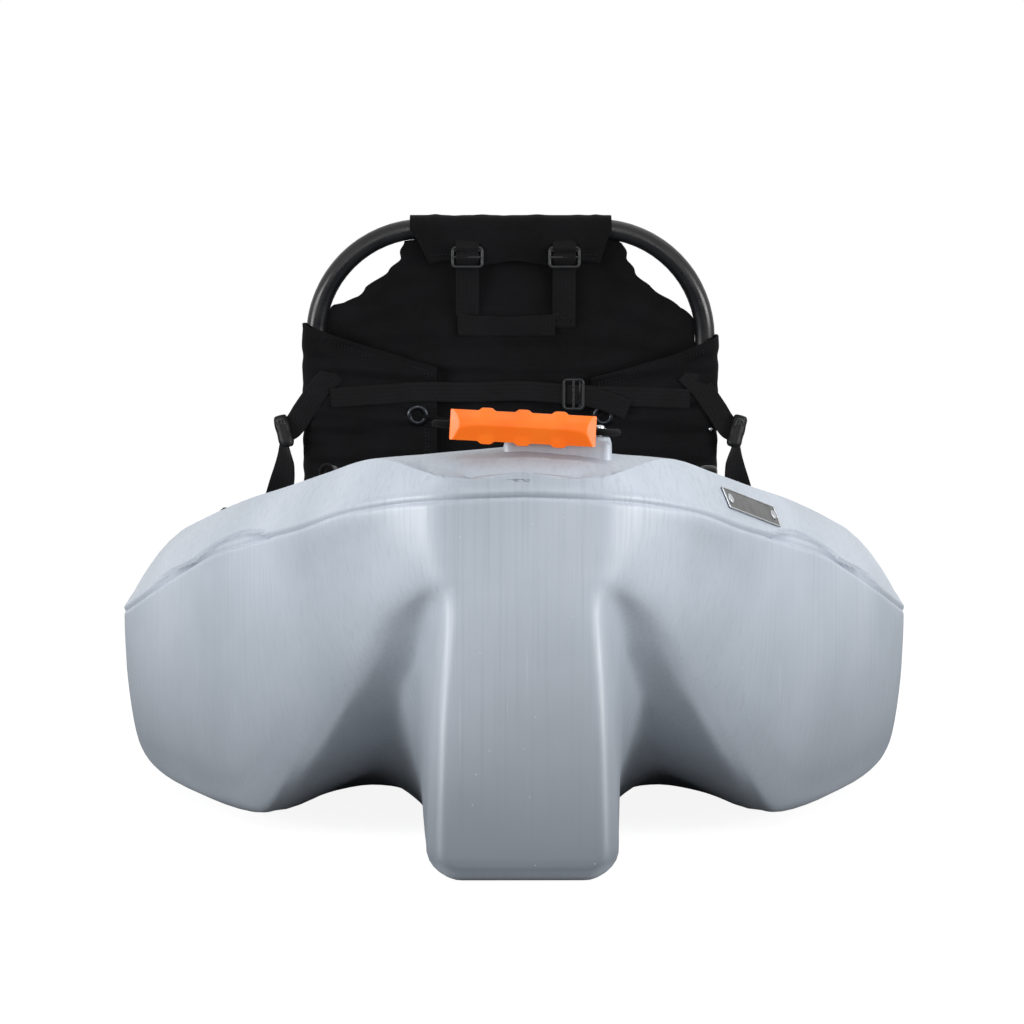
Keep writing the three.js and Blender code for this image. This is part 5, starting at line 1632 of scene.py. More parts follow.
@dataclass
class Studio:
    """Camera where the photograph was taken from, soft lamps, a pale floor and a white room."""

    camera_place: tuple[float, float, float] = (-0.035, -4.675, 0.383)
    lens: float = 118.05
    pitch: float = 1.228
    yaw: float = 0.5
    room: float = 0.38
    lamps: Sequence[tuple[Sequence[float], Sequence[float], Sequence[float], float]] = (
        ((0.0, -2.6, 1.2), (0.0, -1.72, 0.34), (1.1, 0.45), 5.5),
        ((0.0, -5.4, 0.4), (0.0, -1.7, 0.18), (4.0, 0.9), 38.0),
        ((-2.7, -2.1, 0.5), (-0.3, -1.3, 0.14), (1.6, 0.9), 58.0),
        ((2.7, -2.1, 0.5), (0.3, -1.3, 0.14), (1.6, 0.9), 58.0),
        ((0.9, 0.3, 3.5), (0.0, 0.2, 0.0), (3.4, 3.4), 20.0),
    )

    def build(self) -> None:
        """Builds the whole studio."""
        self.camera()
        self.world()
        self.floor()
        for number, (place, aim, size, power) in enumerate(self.lamps):
            self.lamp(f"soft_lamp_{number}", place, aim, size, power)

    def camera(self) -> None:
        """Camera astern, looking forward and a little down."""
        data = bpy.data.cameras.new("camera")
        data.sensor_fit = "HORIZONTAL"
        data.sensor_width = 36
        data.lens = self.lens
        data.clip_end = 100
        camera = linked("camera", data)
        camera.location = self.camera_place
        camera.rotation_euler = (math.radians(90 - self.pitch), 0, math.radians(-self.yaw))
        bpy.context.scene.camera = camera

    def world(self) -> None:
        """White where the camera or a shiny surface sees it, and a plain soft light elsewhere."""
        bpy.context.scene.view_settings.view_transform = "Standard"
        world = bpy.data.worlds.new("white_room")
        world.use_nodes = True
        bpy.context.scene.world = world
        tree = world.node_tree
        rays = add_node(tree, "LightPath")
        shiny = math_node(tree, "MAXIMUM", rays.outputs["Is Glossy Ray"], rays.outputs["Is Transmission Ray"])
        seen = math_node(tree, "MAXIMUM", rays.outputs["Is Camera Ray"], shiny)
        strength = shares_of(tree, seen, 0.0, 1.0, self.room, 1.0)
        shader = tree.nodes["Background"]
        shader.inputs["Color"].default_value = (1, 1, 1, 1)
        tree.links.new(strength, shader.inputs["Strength"])

    def floor(self) -> None:
        """A wide white floor that the camera sees near white, with the boat's soft shadow kept."""
        reach = 40.0
        corners = np.array([[[-reach, -reach, 0], [reach, -reach, 0]], [[-reach, reach, 0], [reach, reach, 0]]])
        floor = grid_mesh("studio_floor", corners.astype(float) - [0, 0, 0.0005])
        material = bpy.data.materials.new("studio_floor_white")
        material.use_nodes = True
        tree = material.node_tree
        shader = tree.nodes["Principled BSDF"]
        shader.inputs["Base Color"].default_value = (0.3, 0.3, 0.3, 1)
        shader.inputs["Roughness"].default_value = 0.9
        shader.inputs["Specular IOR Level"].default_value = 0.0
        rays = add_node(tree, "LightPath")
        glow = shares_of(tree, rays.outputs["Is Camera Ray"], 0.0, 1.0, 0.0, 0.9)
        shader.inputs["Emission Color"].default_value = (1, 1, 1, 1)
        tree.links.new(glow, shader.inputs["Emission Strength"])
        floor.data.materials.append(material)

    def lamp(
        self, name: str, place: Sequence[float], aim: Sequence[float], size: Sequence[float], power: float
    ) -> None:
        """One soft lamp.

        Args:
            name: lamp name.
            place: X, Y and Z.
            aim: where it points.
            size: width and height.
            power: watts.
        """
        data = bpy.data.lights.new(name, "AREA")
        data.shape = "RECTANGLE"
        data.size, data.size_y = size
        data.energy = power
        lamp = linked(name, data)
        lamp.location = place
        lamp.rotation_euler = (Vector(aim) - Vector(place)).to_track_quat("-Z", "Y").to_euler()


# Sewn and bent pieces


def sheet(name: str, middle: np.ndarray, thick: float) -> Piece:
    """A sheet of cloth about a middle surface, with rounded hems.

    Args:
        name: piece name.
        middle: array of rows, columns and X, Y, Z.
        thick: thickness.

    Returns:
        The closed solid.
    """
    piece = grid_mesh(name, middle)
    wall = piece.modifiers.new("wall", "SOLIDIFY")
    wall.thickness = thick
    wall.offset = 0
    rounded_edges(piece, 0.35 * thick, 2, 60)
    turned_out(piece)
    return piece


def ridges(x: np.ndarray, z: np.ndarray, lines: Sequence[Sequence[float]]) -> np.ndarray:
    """Folds in cloth: each is a bell across the line between two points, fading past its ends.

    Args:
        x: first coordinate of each point of the cloth.
        z: second coordinate.
        lines: start X and Z, end X and Z, width and height of each fold.

    Returns:
        Height of the folds at each point.
    """
    total = np.zeros_like(x)
    for x0, z0, x1, z1, width, height in lines:
        long = (x1 - x0) ** 2 + (z1 - z0) ** 2
        share = np.clip(((x - x0) * (x1 - x0) + (z - z0) * (z1 - z0)) / long, 0, 1)
        off = np.hypot(x - x0 - share * (x1 - x0), z - z0 - share * (z1 - z0))
        total += height * np.exp(-((off / width) ** 2)) * (0.25 + 0.75 * np.sin(math.pi * share) ** 0.7)
    return total


def ribbon(
    name: str,
    points: Sequence[Sequence[float]],
    width: float,
    thick: float,
    across: Sequence[Sequence[float]] = ((1, 0, 0),),
    count: int = 60,
) -> Piece:
    """A flat strap along a smooth path, turning between directions of its width.

    Args:
        name: piece name.
        points: places along its middle.
        width: strap width.
        thick: strap thickness.
        across: directions of its width, at even shares of the path.
        count: steps along it.

    Returns:
        The closed solid, with stadium-shaped edges.
    """
    path = smooth_path(points, count)
    along = units(np.gradient(path, axis=0))
    turns = np.array(across, float)
    at, places = np.linspace(0, 1, count), np.linspace(0, 1, len(turns))
    first = np.stack([np.interp(at, places, turns[:, k]) for k in range(3)], axis=1)
    first = units(first - along * (first * along).sum(1, keepdims=True))
    flat = np.linspace(-1, 1, 9)[:, None] * (width / 2 - thick / 2)
    face = np.concatenate([flat, np.full_like(flat, thick / 2)], axis=1)
    turn = np.linspace(0, math.pi, 5)[1:-1, None]
    edge = np.concatenate([np.sin(turn), np.cos(turn)], axis=1) * thick / 2 + [width / 2 - thick / 2, 0]
    profile = np.concatenate([face, edge, -face, -edge])
    return grid_mesh(name, carried(path, profile, first, np.cross(along, first)), wrap_columns=True, caps=True)


# Shares of a stitch's length and the thread's size there
SPINDLE = ((0, 0.3), (0.2, 1), (0.8, 1), (1, 0.3))


def stitched(
    name: str, runs: Sequence[np.ndarray], out: Sequence[float], pitch: float = 4.5 * MM
) -> Piece:
    """Rows of stitches: slim six-sided spindles laid end to end along lines.

    Args:
        name: piece name.
        runs: polylines that the rows follow.
        out: direction the stitches stand out in.
        pitch: distance from one stitch to the next.

    Returns:
        One object of closed spindles.
    """
    starts, ends = [], []
    for run in runs:
        total = float(np.linalg.norm(np.diff(run, axis=0), axis=1).sum())
        marks = even_steps(np.array(run, float), max(3, 2 * int(total / pitch) + 1), False)
        starts.append(marks[0:-1:2])
        ends.append(marks[1::2][: len(marks[0:-1:2])])
    start, end = np.concatenate(starts), np.concatenate(ends)
    along = end - start
    lift = np.broadcast_to(np.array(out, float), along.shape)
    side = units(np.cross(along, lift))
    profile = circle(0.5 * MM, 6)
    rings = [carried(start + along * share, profile, side, lift, size) for share, size in SPINDLE]
    points = np.stack(rings, axis=1)
    count = len(points)
    quads = cell_faces(4, 6, False, True)
    cells = (quads[None] + 24 * np.arange(count)[:, None, None]).reshape(-1, 4).tolist()
    ends_of = [[b + k for k in range(6)][::-1] for b in range(0, 24 * count, 24)]
    ends_of += [[b + k for k in range(18, 24)] for b in range(0, 24 * count, 24)]
    mesh = bpy.data.meshes.new(name)
    mesh.from_pydata(points.reshape(-1, 3).tolist(), [], cells + ends_of)
    piece = linked(name, mesh)
    turned_out(piece)
    return piece


def hoop(name: str, path: np.ndarray, profile: np.ndarray, up: Sequence[float]) -> Piece:
    """A closed profile carried round a closed flat path.

    Args:
        name: piece name.
        path: points of the closed path.
        profile: closed outline, in the path's plane and square to it.
        up: normal of the path's plane.

    Returns:
        The closed ring.
    """
    along = units(np.roll(path, -1, axis=0) - np.roll(path, 1, axis=0))
    normal = np.broadcast_to(np.array(up, float), path.shape)
    rings = carried(path, profile, np.cross(along, normal), normal)
    return grid_mesh(name, rings, wrap_rows=True, wrap_columns=True)


def ladder_lock(name: str, width: float = 0.042, height: float = 0.028) -> Piece:
    """A moulded ladder lock about the origin, in the XZ plane: a rounded frame and a ribbed middle bar.

    Args:
        name: piece name.
        width: outer width.
        height: outer height.

    Returns:
        The buckle.
    """
    x, z, wall = width / 2 - 0.0025, height / 2 - 0.002, 0.0042
    line = even_steps(rounded_outline(rectangle(-x, -z, x, z), 0.004, 6), 72, True)
    path = np.column_stack([line[:, 0], np.full(72, -0.0026), line[:, 1]])
    frame = hoop(f"{name}_frame", path, circle(1, 12) * [wall / 2, 0.0024], (0, 1, 0))
    reach = np.linspace(-x, x, 41)
    rib = 1 + 0.13 * (np.sin(math.tau * reach / 0.0024) > 0)
    bars = []
    for number, (low, deep, lift) in enumerate(((0.0, 0.0019, -0.0034), (z - 0.0036, 0.0016, -0.0018))):
        line = np.column_stack([reach, np.full(41, lift), np.full(41, low)])
        bars.append(swept(f"{name}_bar_{number}", line, circle(1, 12) * [deep, 0.0017], (0, 1, 0), rib))
    return one_piece(name, [frame, *bars])


# Seat: the axis that its back folds about, and the back's lean at rest in degrees
PIVOT = (0.0, -0.4, 0.284)
LEAN = 10.0


def leaned(piece: Piece) -> Piece:
    """Moves a piece from the seat back's upright frame to its place over the pivot."""
    return moved(piece, PIVOT, (LEAN, 0, 0))


@dataclass
class SeatBack:
    """The folding back: a bent tube arch, a cloth panel, two wings round the tube and its webbing.

    It is built upright about the pivot, and leans back ten degrees at rest.
    """

    half: float = 0.245
    top: float = 0.3693
    foot: float = -0.014
    tube: float = 0.0125
    corner: float = 0.138
    skin: float = 0.0144
    panel_low: float = 0.026
    wing_low: float = 0.026
    wing_flap: float = 0.022
    sleeve_half: float = 0.126
    sleeve_drop: float = 0.041
    back: float = -0.0165
    buckle_x: float = 0.0605
    buckle_shift: float = 0.0065
    buckle_drop: float = 0.0335
    waist_height: float = 0.164
    grommet_x: float = 0.117
    grommet_height: float = 0.136
    roll: Sequence[float] = (0.2852, -0.027, 0.1165)
    roll_axis: Sequence[float] = (0.26, 0.3, 0.92)
    side_width: float = 0.0335
    upper_width: float = 0.028
    top_width: float = 0.029
    waist_width: float = 0.025
    webbing: float = 0.0017
    thin_webbing: float = 0.0016
    edge_heights: Sequence[float] = (0.026, 0.255, 0.264, 0.2725, 0.2751, 0.2841, 0.295, 0.3034, 0.3136, 0.3303, 0.358)
    port_edge: Sequence[float] = (0.2325, 0.2325, 0.2322, 0.2254, 0.2102, 0.1913, 0.182, 0.1698, 0.1546, 0.1394, 0.1335)
    starboard_edge: Sequence[float] = (
        0.2325, 0.232, 0.2234, 0.2115, 0.207, 0.1931, 0.177, 0.1665, 0.157, 0.1476, 0.1387
    )
    panel_folds: Sequence[Sequence[float]] = (
        (-0.215, 0.25, -0.10, 0.292, 0.010, 0.0042),
        (-0.20, 0.235, -0.07, 0.243, 0.009, 0.0034),
        (-0.19, 0.268, -0.14, 0.33, 0.008, 0.0030),
        (-0.13, 0.30, -0.075, 0.262, 0.009, -0.0030),
        (0.215, 0.24, 0.11, 0.285, 0.010, 0.0040),
        (0.20, 0.222, 0.09, 0.24, 0.010, 0.0034),
        (0.16, 0.30, 0.115, 0.25, 0.008, -0.0028),
        (0.12, 0.33, 0.175, 0.285, 0.007, 0.0028),
        (-0.12, 0.2, 0.03, 0.196, 0.008, 0.0050),
        (-0.02, 0.188, 0.13, 0.2, 0.009, 0.0042),
        (-0.09, 0.218, 0.1, 0.222, 0.008, -0.0036),
        (-0.1, 0.175, 0.1, 0.178, 0.008, 0.0036),
        (-0.06, 0.12, 0.05, 0.11, 0.012, 0.0030),
        (-0.16, 0.06, 0.16, 0.066, 0.014, 0.0030),
    )
    pocket_span: tuple[float, float, float, float] = (-0.066, 0.056, 0.236, 0.263)
    wing_inner: tuple[float, float] = (0.0926, 0.101)
    wing_tops: Sequence[Sequence[Sequence[float]]] = (
        ((0.09, 0.1155, 0.1875, 0.262), (0.196, 0.2032, 0.225, 0.2508)),
        ((0.1, 0.106, 0.2044, 0.262), (0.182, 0.1835, 0.2122, 0.2366)),
    )
    wing_folds: Sequence[Sequence[float]] = (
        (0.255, 0.21, 0.12, 0.185, 0.009, 0.0045),
        (0.25, 0.185, 0.1, 0.18, 0.007, -0.0028),
        (0.25, 0.145, 0.15, 0.175, 0.008, 0.0042),
        (0.255, 0.12, 0.13, 0.13, 0.008, 0.0036),
        (0.25, 0.098, 0.12, 0.112, 0.007, -0.0030),
        (0.25, 0.085, 0.115, 0.088, 0.009, 0.0040),
        (0.24, 0.05, 0.13, 0.062, 0.009, 0.0036),
        (0.245, 0.225, 0.2, 0.2, 0.007, 0.0030),
    )

    def build(self) -> None:
        """Builds every piece of the back."""
        self.frame()
        self.panel()
        for side in Side:
            self.wing(side)
            self.grommet(side)
            self.top_strap(side)
            self.side_strap(side)
        self.sleeve()
        self.waist()
        self.lacing()

    def dress(self, piece: Piece, finish: Finish, slot: str, *nodes: str) -> Piece:
        """Leans a piece back and dresses it."""
        return dressed(leaned(piece), finish, Body.SEAT_BACK, nodes, 50)

    def frame(self) -> None:
        """The bent tube, with a moulded plug in each end."""
        x, z = self.half, self.top
        corners = [(-x, 0, self.foot), (-x, 0, z), (x, 0, z), (x, 0, self.foot)]
        path = bent_path(corners, self.corner, 220)
        tube = swept("seat_back_arch", path, circle(self.tube, 36), (0, 1, 0))
        self.dress(tube, TUBE_POWDER_COAT, "black_tube", "seat_back_frame")
        for side in Side:
            low = self.foot
            profile = [(0.008, low - 0.0035), (0.0112, low - 0.0028), (0.0123, low - 0.0012), (0.0123, low + 0.0005)]
            plug = moved(turned(f"back_tube_plug_{side.word}", profile, 32), (side.sign * x, 0, 0))
            self.dress(plug, BLACK_NYLON, "black_plastic")

    def panel(self) -> None:
        """The cloth panel: its edges follow a table of heights, and it hangs in a shallow curve.

        A point at share u across and v up lies at the edge's width times u; it sags by a half sine
        both ways, with folds and a fine quilted wave over it.
        """
        z = np.linspace(self.panel_low, self.top - self.tube - 0.0005, 120)
        left = np.interp(z, self.edge_heights, self.port_edge)
        right = np.interp(z, self.edge_heights, self.starboard_edge)
        wave = 0.0016 * np.sin(math.tau * z / 0.021) * (z > 0.27)
        rise = np.maximum(0, z - self.top + self.corner)
        arch = self.half - self.corner + np.sqrt(np.maximum(0, (self.corner - self.tube) ** 2 - rise**2))
        left, right = [np.minimum(edge + wave, arch) for edge in (left, right)]
        u = np.linspace(0, 1, 150)
        x = -left[:, None] + (left + right)[:, None] * u
        high = np.broadcast_to(z[:, None], x.shape)
        v = (z - z[0]) / (z[-1] - z[0])
        dip = np.sin(math.pi * u)[None] * np.sin(math.pi * v)[:, None]
        slack = ridges(x, high, self.panel_folds) + 0.0007 * np.sin(math.tau * (x + 0.4 * high) / 0.05)
        y = -0.006 * dip - slack * np.clip(6 * np.sin(math.pi * u)[None], 0, 1)
        points = np.stack([x, y, high], axis=2)
        panel = self.dress(sheet("seat_back_cloth", points, 0.0045), SEAT_CLOTH, "black_mesh_cloth", "seat_back_panel")
        self.pocket()

    def pocket(self) -> None:
        """A welt pocket on the panel: a narrow sheet whose upper edge stands away in a half sine."""
        x0, x1, z0, z1 = self.pocket_span
        x, z = np.linspace(x0, x1, 50), np.linspace(z0, z1, 16)
        u, v = np.meshgrid((x - x0) / (x1 - x0), (z - z0) / (z1 - z0))
        away = 0.0105 + 0.006 * v * np.sin(math.pi * u) + 0.0012 * np.sin(math.tau * 2.3 * u)
        points = np.stack([x0 + (x1 - x0) * u, -away, z0 + (z1 - z0) * v - 0.003 * np.sin(math.pi * u) * v], axis=2)
        band = self.dress(sheet("back_pocket_welt", points, 0.0022), WEBBING, "black_webbing")
        row = np.array([(x, -0.0122, z0 + 0.003) for x in (x0 + 0.003, x1 - 0.003)])
        self.dress(stitched("pocket_stitches", [row], (0, -1, 0)), THREAD, "black_webbing")

    def wing(self, side: Side) -> None:
        """One wing: a sheet that lies behind the tube, goes round it and a little way in front.

        Its section runs straight, then round a half circle about the tube; folds and the edge's
        slow wave stand out along its normal.

        Args:
            side: side of the boat.
        """
        number = 0 if side is Side.PORT else 1
        inner = self.wing_inner[number]
        radius = self.skin + 0.0004
        straight = np.column_stack([np.linspace(inner, self.half, 60), np.full(60, -radius)])
        turn = np.radians(np.linspace(-90, 90, 26))[1:]
        arc = np.column_stack([self.half + radius * np.cos(turn), radius * np.sin(turn)])
        front = np.column_stack([np.linspace(self.half, self.half - self.wing_flap, 8)[1:], np.full(7, radius)])
        line = np.concatenate([straight, arc, front])
        top = np.interp(line[:, 0], *self.wing_tops[number])
        v = np.linspace(0, 1, 90)[:, None]
        z = self.wing_low + (top - self.wing_low)[None] * v
        x = np.broadcast_to(line[:, 0], z.shape)
        fold = ridges(x, z, [(a, b + 0.006 * number, c, d, w, h) for a, b, c, d, w, h in self.wing_folds])
        puff = 0.0012 * np.sin(math.tau * z / 0.047 + 9 * x) + 0.0009 * np.sin(math.tau * z / 0.019 - 30 * x)
        behind = np.clip(-line[:, 1] / radius, 0, 1)[None]
        stand = (np.maximum(fold, -0.0012) + 0.0025 + puff) * behind + 0.0008 + 0.0006 * np.sin(math.tau * z / 0.031)
        out = units(np.gradient(line, axis=0))
        points = np.stack([x + out[:, 1] * stand, line[:, 1] - out[:, 0] * stand, z], axis=2)
        points[:, :, 0] *= side.sign
        name = f"seat_wing_cloth_{side.word}"
        wing = self.dress(sheet(name, points, 0.0026), SEAT_CLOTH, "black_mesh_cloth", f"seat_wing_{side.word}")
        rows = []
        for inset in (0.006, 0.0095):
            rows.append(points[3:-3, 2] + [side.sign * inset, -0.0016, 0])
            rows.append(points[-2, 2:60] + [0, -0.0016, -inset])
        self.dress(stitched(f"wing_stitches_{side.word}", rows, (0, -1, 0)), THREAD, "black_webbing")

    def sleeve(self) -> None:
        """The sleeve over the top bar: round it by a half circle, with a flap down on each side.

        Each flap narrows towards its hem; shallow upright creases run over the bar.
        """
        radius = self.skin + 0.0006
        drop = np.linspace(-self.sleeve_drop, 0, 26)[:-1]
        turn = np.radians(np.linspace(0, 180, 26))
        y = np.concatenate([np.full(25, radius), radius * np.cos(turn), np.full(25, -radius)])
        z = np.concatenate([drop, radius * np.sin(turn), drop[::-1]])
        low = np.clip(-z / self.sleeve_drop, 0, 1) ** 0.8
        u = np.linspace(-1, 1, 130)[:, None]
        x = (self.sleeve_half - np.where(u < 0, 0.024, 0.014) * low[None]) * u
        hem = 0.0022 * np.sin(math.tau * x / 0.085 + 1.1) * np.clip(-z / self.sleeve_drop, 0, 1)[None]
        lines = [(p, -0.05, p + lean, 0.02, w, h) for p, lean, w, h in (
            (-0.105, 0.012, 0.006, 0.0022), (-0.088, 0.02, 0.007, -0.0012), (-0.03, -0.006, 0.008, 0.0016),
            (-0.012, 0.004, 0.006, -0.0010), (0.028, 0.006, 0.009, 0.0018), (0.085, 0.0, 0.007, 0.0020),
            (0.1, -0.016, 0.006, -0.0010), (0.114, -0.008, 0.005, 0.0018))]
        fold = np.maximum(ridges(x, np.broadcast_to(z, x.shape), lines), -0.0008)
        sag = 0.0035 * np.sin(math.pi * np.clip(-z / self.sleeve_drop, 0, 1))[None] * (1 - u**2)
        puff = 0.0008 + fold + sag * (y < 0)
        out = units(np.gradient(np.stack([y, z], axis=1), axis=0))
        points = np.stack([x, y + out[:, 1] * puff, self.top + z + hem - out[:, 0] * puff], axis=2)
        sleeve = sheet("seat_top_sleeve_cloth", points, 0.0024)
        self.dress(sleeve, SEAT_CLOTH, "black_mesh_cloth", "seat_top_sleeve")
        rows = [points[3:-3, -1 - k] + [0, -0.0016, 0.004] for k in (0, 3)]
        self.dress(stitched("sleeve_stitches", rows, (0, -1, 0)), THREAD, "black_webbing")

    def top_strap(self, side: Side) -> None:
        """A ladder lock below the sleeve, its tab above and its strap below, sewn to the panel.

        Args:
            side: side of the boat.
        """
        x, z = side.sign * self.buckle_x + self.buckle_shift, self.top - self.buckle_drop
        lock = moved(ladder_lock(f"top_ladder_lock_{side.word}"), (x, self.back - 0.0042, z), (-6, 0, 2 * side.sign))
        self.dress(lock, BLACK_NYLON, "black_plastic", f"top_buckle_{side.word}")
        low = 0.262 if side is Side.PORT else 0.246
        back = self.back
        run = [
            (x, -0.0095, low), (x, -0.0115, low + 0.02), (x, back + 0.001, z - 0.022), (x, back - 0.0035, z - 0.010),
            (x, back - 0.0088, z - 0.001), (x, back - 0.0062, z + 0.0055), (x, back - 0.002, z + 0.004),
        ]
        strap = ribbon(f"top_webbing_{side.word}", run, self.top_width, self.thin_webbing, count=70)
        self.dress(strap, WEBBING, "black_webbing", f"top_strap_{side.word}")
        tab = [
            (x, back + 0.0005, z + 0.032), (x, back - 0.002, z + 0.020), (x, back - 0.0078, z + 0.0135),
            (x, back - 0.0072, z + 0.0092), (x, back - 0.001, z + 0.010), (x, back + 0.0012, z + 0.020),
        ]
        tab = ribbon(f"top_tab_{side.word}", tab, self.top_width, self.thin_webbing, count=40)
        self.dress(tab, WEBBING, "black_webbing")
        box = rectangle(x - 0.011, low + 0.004, x + 0.011, low + 0.018)
        cross = [box[0], box[2], box[1], box[3], box[0], box[1], box[2], box[3]]
        row = np.array([(a, -0.0113 - 0.08 * (b - low - 0.004), b) for a, b in cross])
        self.dress(stitched(f"top_box_stitches_{side.word}", [row], (0, -1, 0), 3.2 * MM), THREAD, "black_webbing")

    def waist(self) -> None:
        """The webbing across both wings, through a ladder lock that is turned upright."""
        z, back = self.waist_height, self.back - 0.0065
        run = [
            (-0.226, back + 0.0005, z - 0.006), (-0.16, back - 0.001, z - 0.001), (-0.11, back, z + 0.002),
            (-0.05, back + 0.003, z + 0.001), (0.01, back + 0.002, z + 0.003), (0.05, back, z + 0.001),
            (0.068, back - 0.004, z), (0.079, back - 0.0075, z), (0.09, back - 0.004, z - 0.001),
            (0.11, back - 0.0005, z - 0.003), (0.16, back - 0.001, z - 0.004), (0.226, back + 0.0005, z - 0.007),
        ]
        band = ribbon("waist_webbing_band", run, self.waist_width, self.webbing, ((0, 0, 1),), 200)
        self.dress(band, WEBBING, "black_webbing", "waist_webbing")
        tail = [(0.086, back - 0.0065, z - 0.001), (0.1, back - 0.004, z - 0.004), (0.125, back - 0.0045, z - 0.011),
                (0.148, back - 0.003, z - 0.02)]
        tail = ribbon("waist_webbing_tail", tail, self.waist_width, self.thin_webbing, ((0, 0, 1),), 40)
        self.dress(tail, WEBBING, "black_webbing")
        lock = moved(ladder_lock("waist_ladder_lock"), (0, 0, 0), (0, 90, 0))
        self.dress(moved(lock, (0.079, back - 0.0035, z)), BLACK_NYLON, "black_plastic", "waist_buckle")

    def grommet(self, side: Side) -> None:
        """A rolled metal eyelet in a wing.

        Args:
            side: side of the boat.
        """
        back = self.skin + 0.0054
        profile = [(0.0072, -0.003), (0.0072, 0.0008), (0.0078, 0.0022), (0.0095, 0.0031), (0.0118, 0.0026),
                   (0.0136, 0.0012), (0.014, 0.0), (0.0136, -0.0004), (0.0095, -0.0004), (0.0088, -0.003)]
        ring = np.array(profile)
        angle = np.linspace(0, math.tau, 48, endpoint=False)[:, None]
        high = -back - ring[:, 1] + 0 * angle
        points = np.stack([ring[:, 0] * np.cos(angle), high, ring[:, 0] * np.sin(angle)], axis=2)
        eye = grid_mesh(f"eyelet_{side.word}", points, wrap_rows=True, wrap_columns=True)
        moved(eye, (side.sign * self.grommet_x, 0, self.grommet_height))
        self.dress(eye, BLACKENED_STEEL, "steel", f"grommet_{side.word}")

    def lacing(self) -> None:
        """The cord that draws the wings together: it sags between the eyelets."""
        x, z, back = self.grommet_x, self.grommet_height, -self.skin - 0.0056
        half = [
            (x - 0.001, 0.006, 0), (x - 0.004, -0.004, -0.0005), (x - 0.02, -0.0085, -0.002), (x / 2, -0.010, -0.008),
        ]
        run = [(-across, out, up) for across, out, up in half] + [(0, -0.010, -0.014)] + half[::-1]
        line = [(across, back + out, z + up) for across, out, up in run]
        cord = swept("wing_lacing", smooth_path(line, 160), circle(0.0022, 14), (0, 0, 1))
        self.dress(cord, CORD, "black_webbing", "lacing_cord")

    def side_strap(self, side: Side) -> None:
        """One side strap: flat from the wing, folded up round its buckle, then turning down to the deck's eye.

        Args:
            side: side of the boat.
        """
        s = side.sign
        lean = Euler((math.radians(LEAN), 0, 0)).to_matrix()

        def placed(x: float, y: float, z: float) -> list[float]:
            """A place on the seat back at rest."""
            return list(lean @ Vector((s * x, y, z)) + Vector(PIVOT))

        eye = (s * 0.325, -0.232, 0.2712)
        roll, axis = np.array(self.roll), units(np.array(self.roll_axis))
        upper = [placed(*p) for p in ((0.2205, -0.0185, 0.1905), (0.238, -0.0205, 0.1733), (0.2495, -0.021, 0.1575),
                                      (0.2605, -0.021, 0.1415), (0.2685, -0.0215, 0.1285), (0.2765, -0.0225, 0.119),
                                      (0.2865, -0.025, 0.1155))]
        wide = [(0.78, 0.1, 0.62 * s), (0.78, 0.1, 0.62 * s), (0.76, 0.1, 0.65 * s), (0.66, 0.1, 0.75 * s),
                (0.36, 0.1, 0.93 * s), (0.26, 0.1, 0.96 * s)]
        strap = ribbon(f"side_webbing_upper_{side.word}", upper, self.upper_width, self.webbing, wide, 60)
        dressed(strap, WEBBING, Body.SEAT_BACK, (), 50)
        reach = np.linspace(-1, 1, 41)
        line = [placed(*(roll + 0.0203 * t * axis)) for t in reach]
        outline = circle(0.0096, 40) * [1, 0.76]
        outline *= 1 - 0.13 * np.exp(-(((np.arange(40) - 17) / 2.2) ** 2))[:, None]
        size = np.sqrt(1 - 0.5 * np.abs(reach) ** 7) * (1 + 0.03 * np.sin(7 * reach + s))
        fold = swept(f"side_webbing_fold_{side.word}", np.array(line), outline, (1, 0, 0), size)
        dressed(fold, ROLLED_WEBBING, Body.SEAT_BACK, (), 50)
        low = placed(*(roll - axis * 0.0135 + [0, 0.004, 0]))
        run = [
            low, (s * 0.2865, -0.372, 0.374), (s * 0.2885, -0.348, 0.352), (s * 0.2965, -0.312, 0.324),
            (s * 0.31, -0.268, 0.291), (s * 0.321, -0.242, 0.2745), eye,
        ]
        across = [(0.3 * s, 0.45, 0.85), (0.3 * s, 0.45, 0.85), (0.5 * s, 0.4, 0.75), (0.8 * s, 0.3, 0.5),
                  (s, 0.05, 0.15), (s, 0, 0), (s, 0, 0)]
        strap = ribbon(f"side_webbing_{side.word}", run, self.side_width, self.webbing, across, 120)
        dressed(strap, WEBBING, None, [f"side_strap_{side.word}"], 50)
        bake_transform(strap)
        lock = moved(ladder_lock(f"side_ladder_lock_{side.word}", 0.037, 0.0115), (0, 0, 0), (0, -74 * s, 0))
        self.dress(moved(lock, (s * roll[0], roll[1] + 0.0005, roll[2])), BLACK_NYLON, "black_plastic",
                   f"side_buckle_{side.word}")
        if side is Side.STARBOARD:
            profile = [(0.0024, 0), (0.0026, 0.0008), (0.002, 0.0018), (0.0008, 0.0023)]
            rivet = moved(turned("strap_rivet", profile, 28), (0, 0, 0), (90, 0, 0))
            self.dress(moved(rivet, (0.2525, -0.0178, 0.1176)), STEEL, "steel")


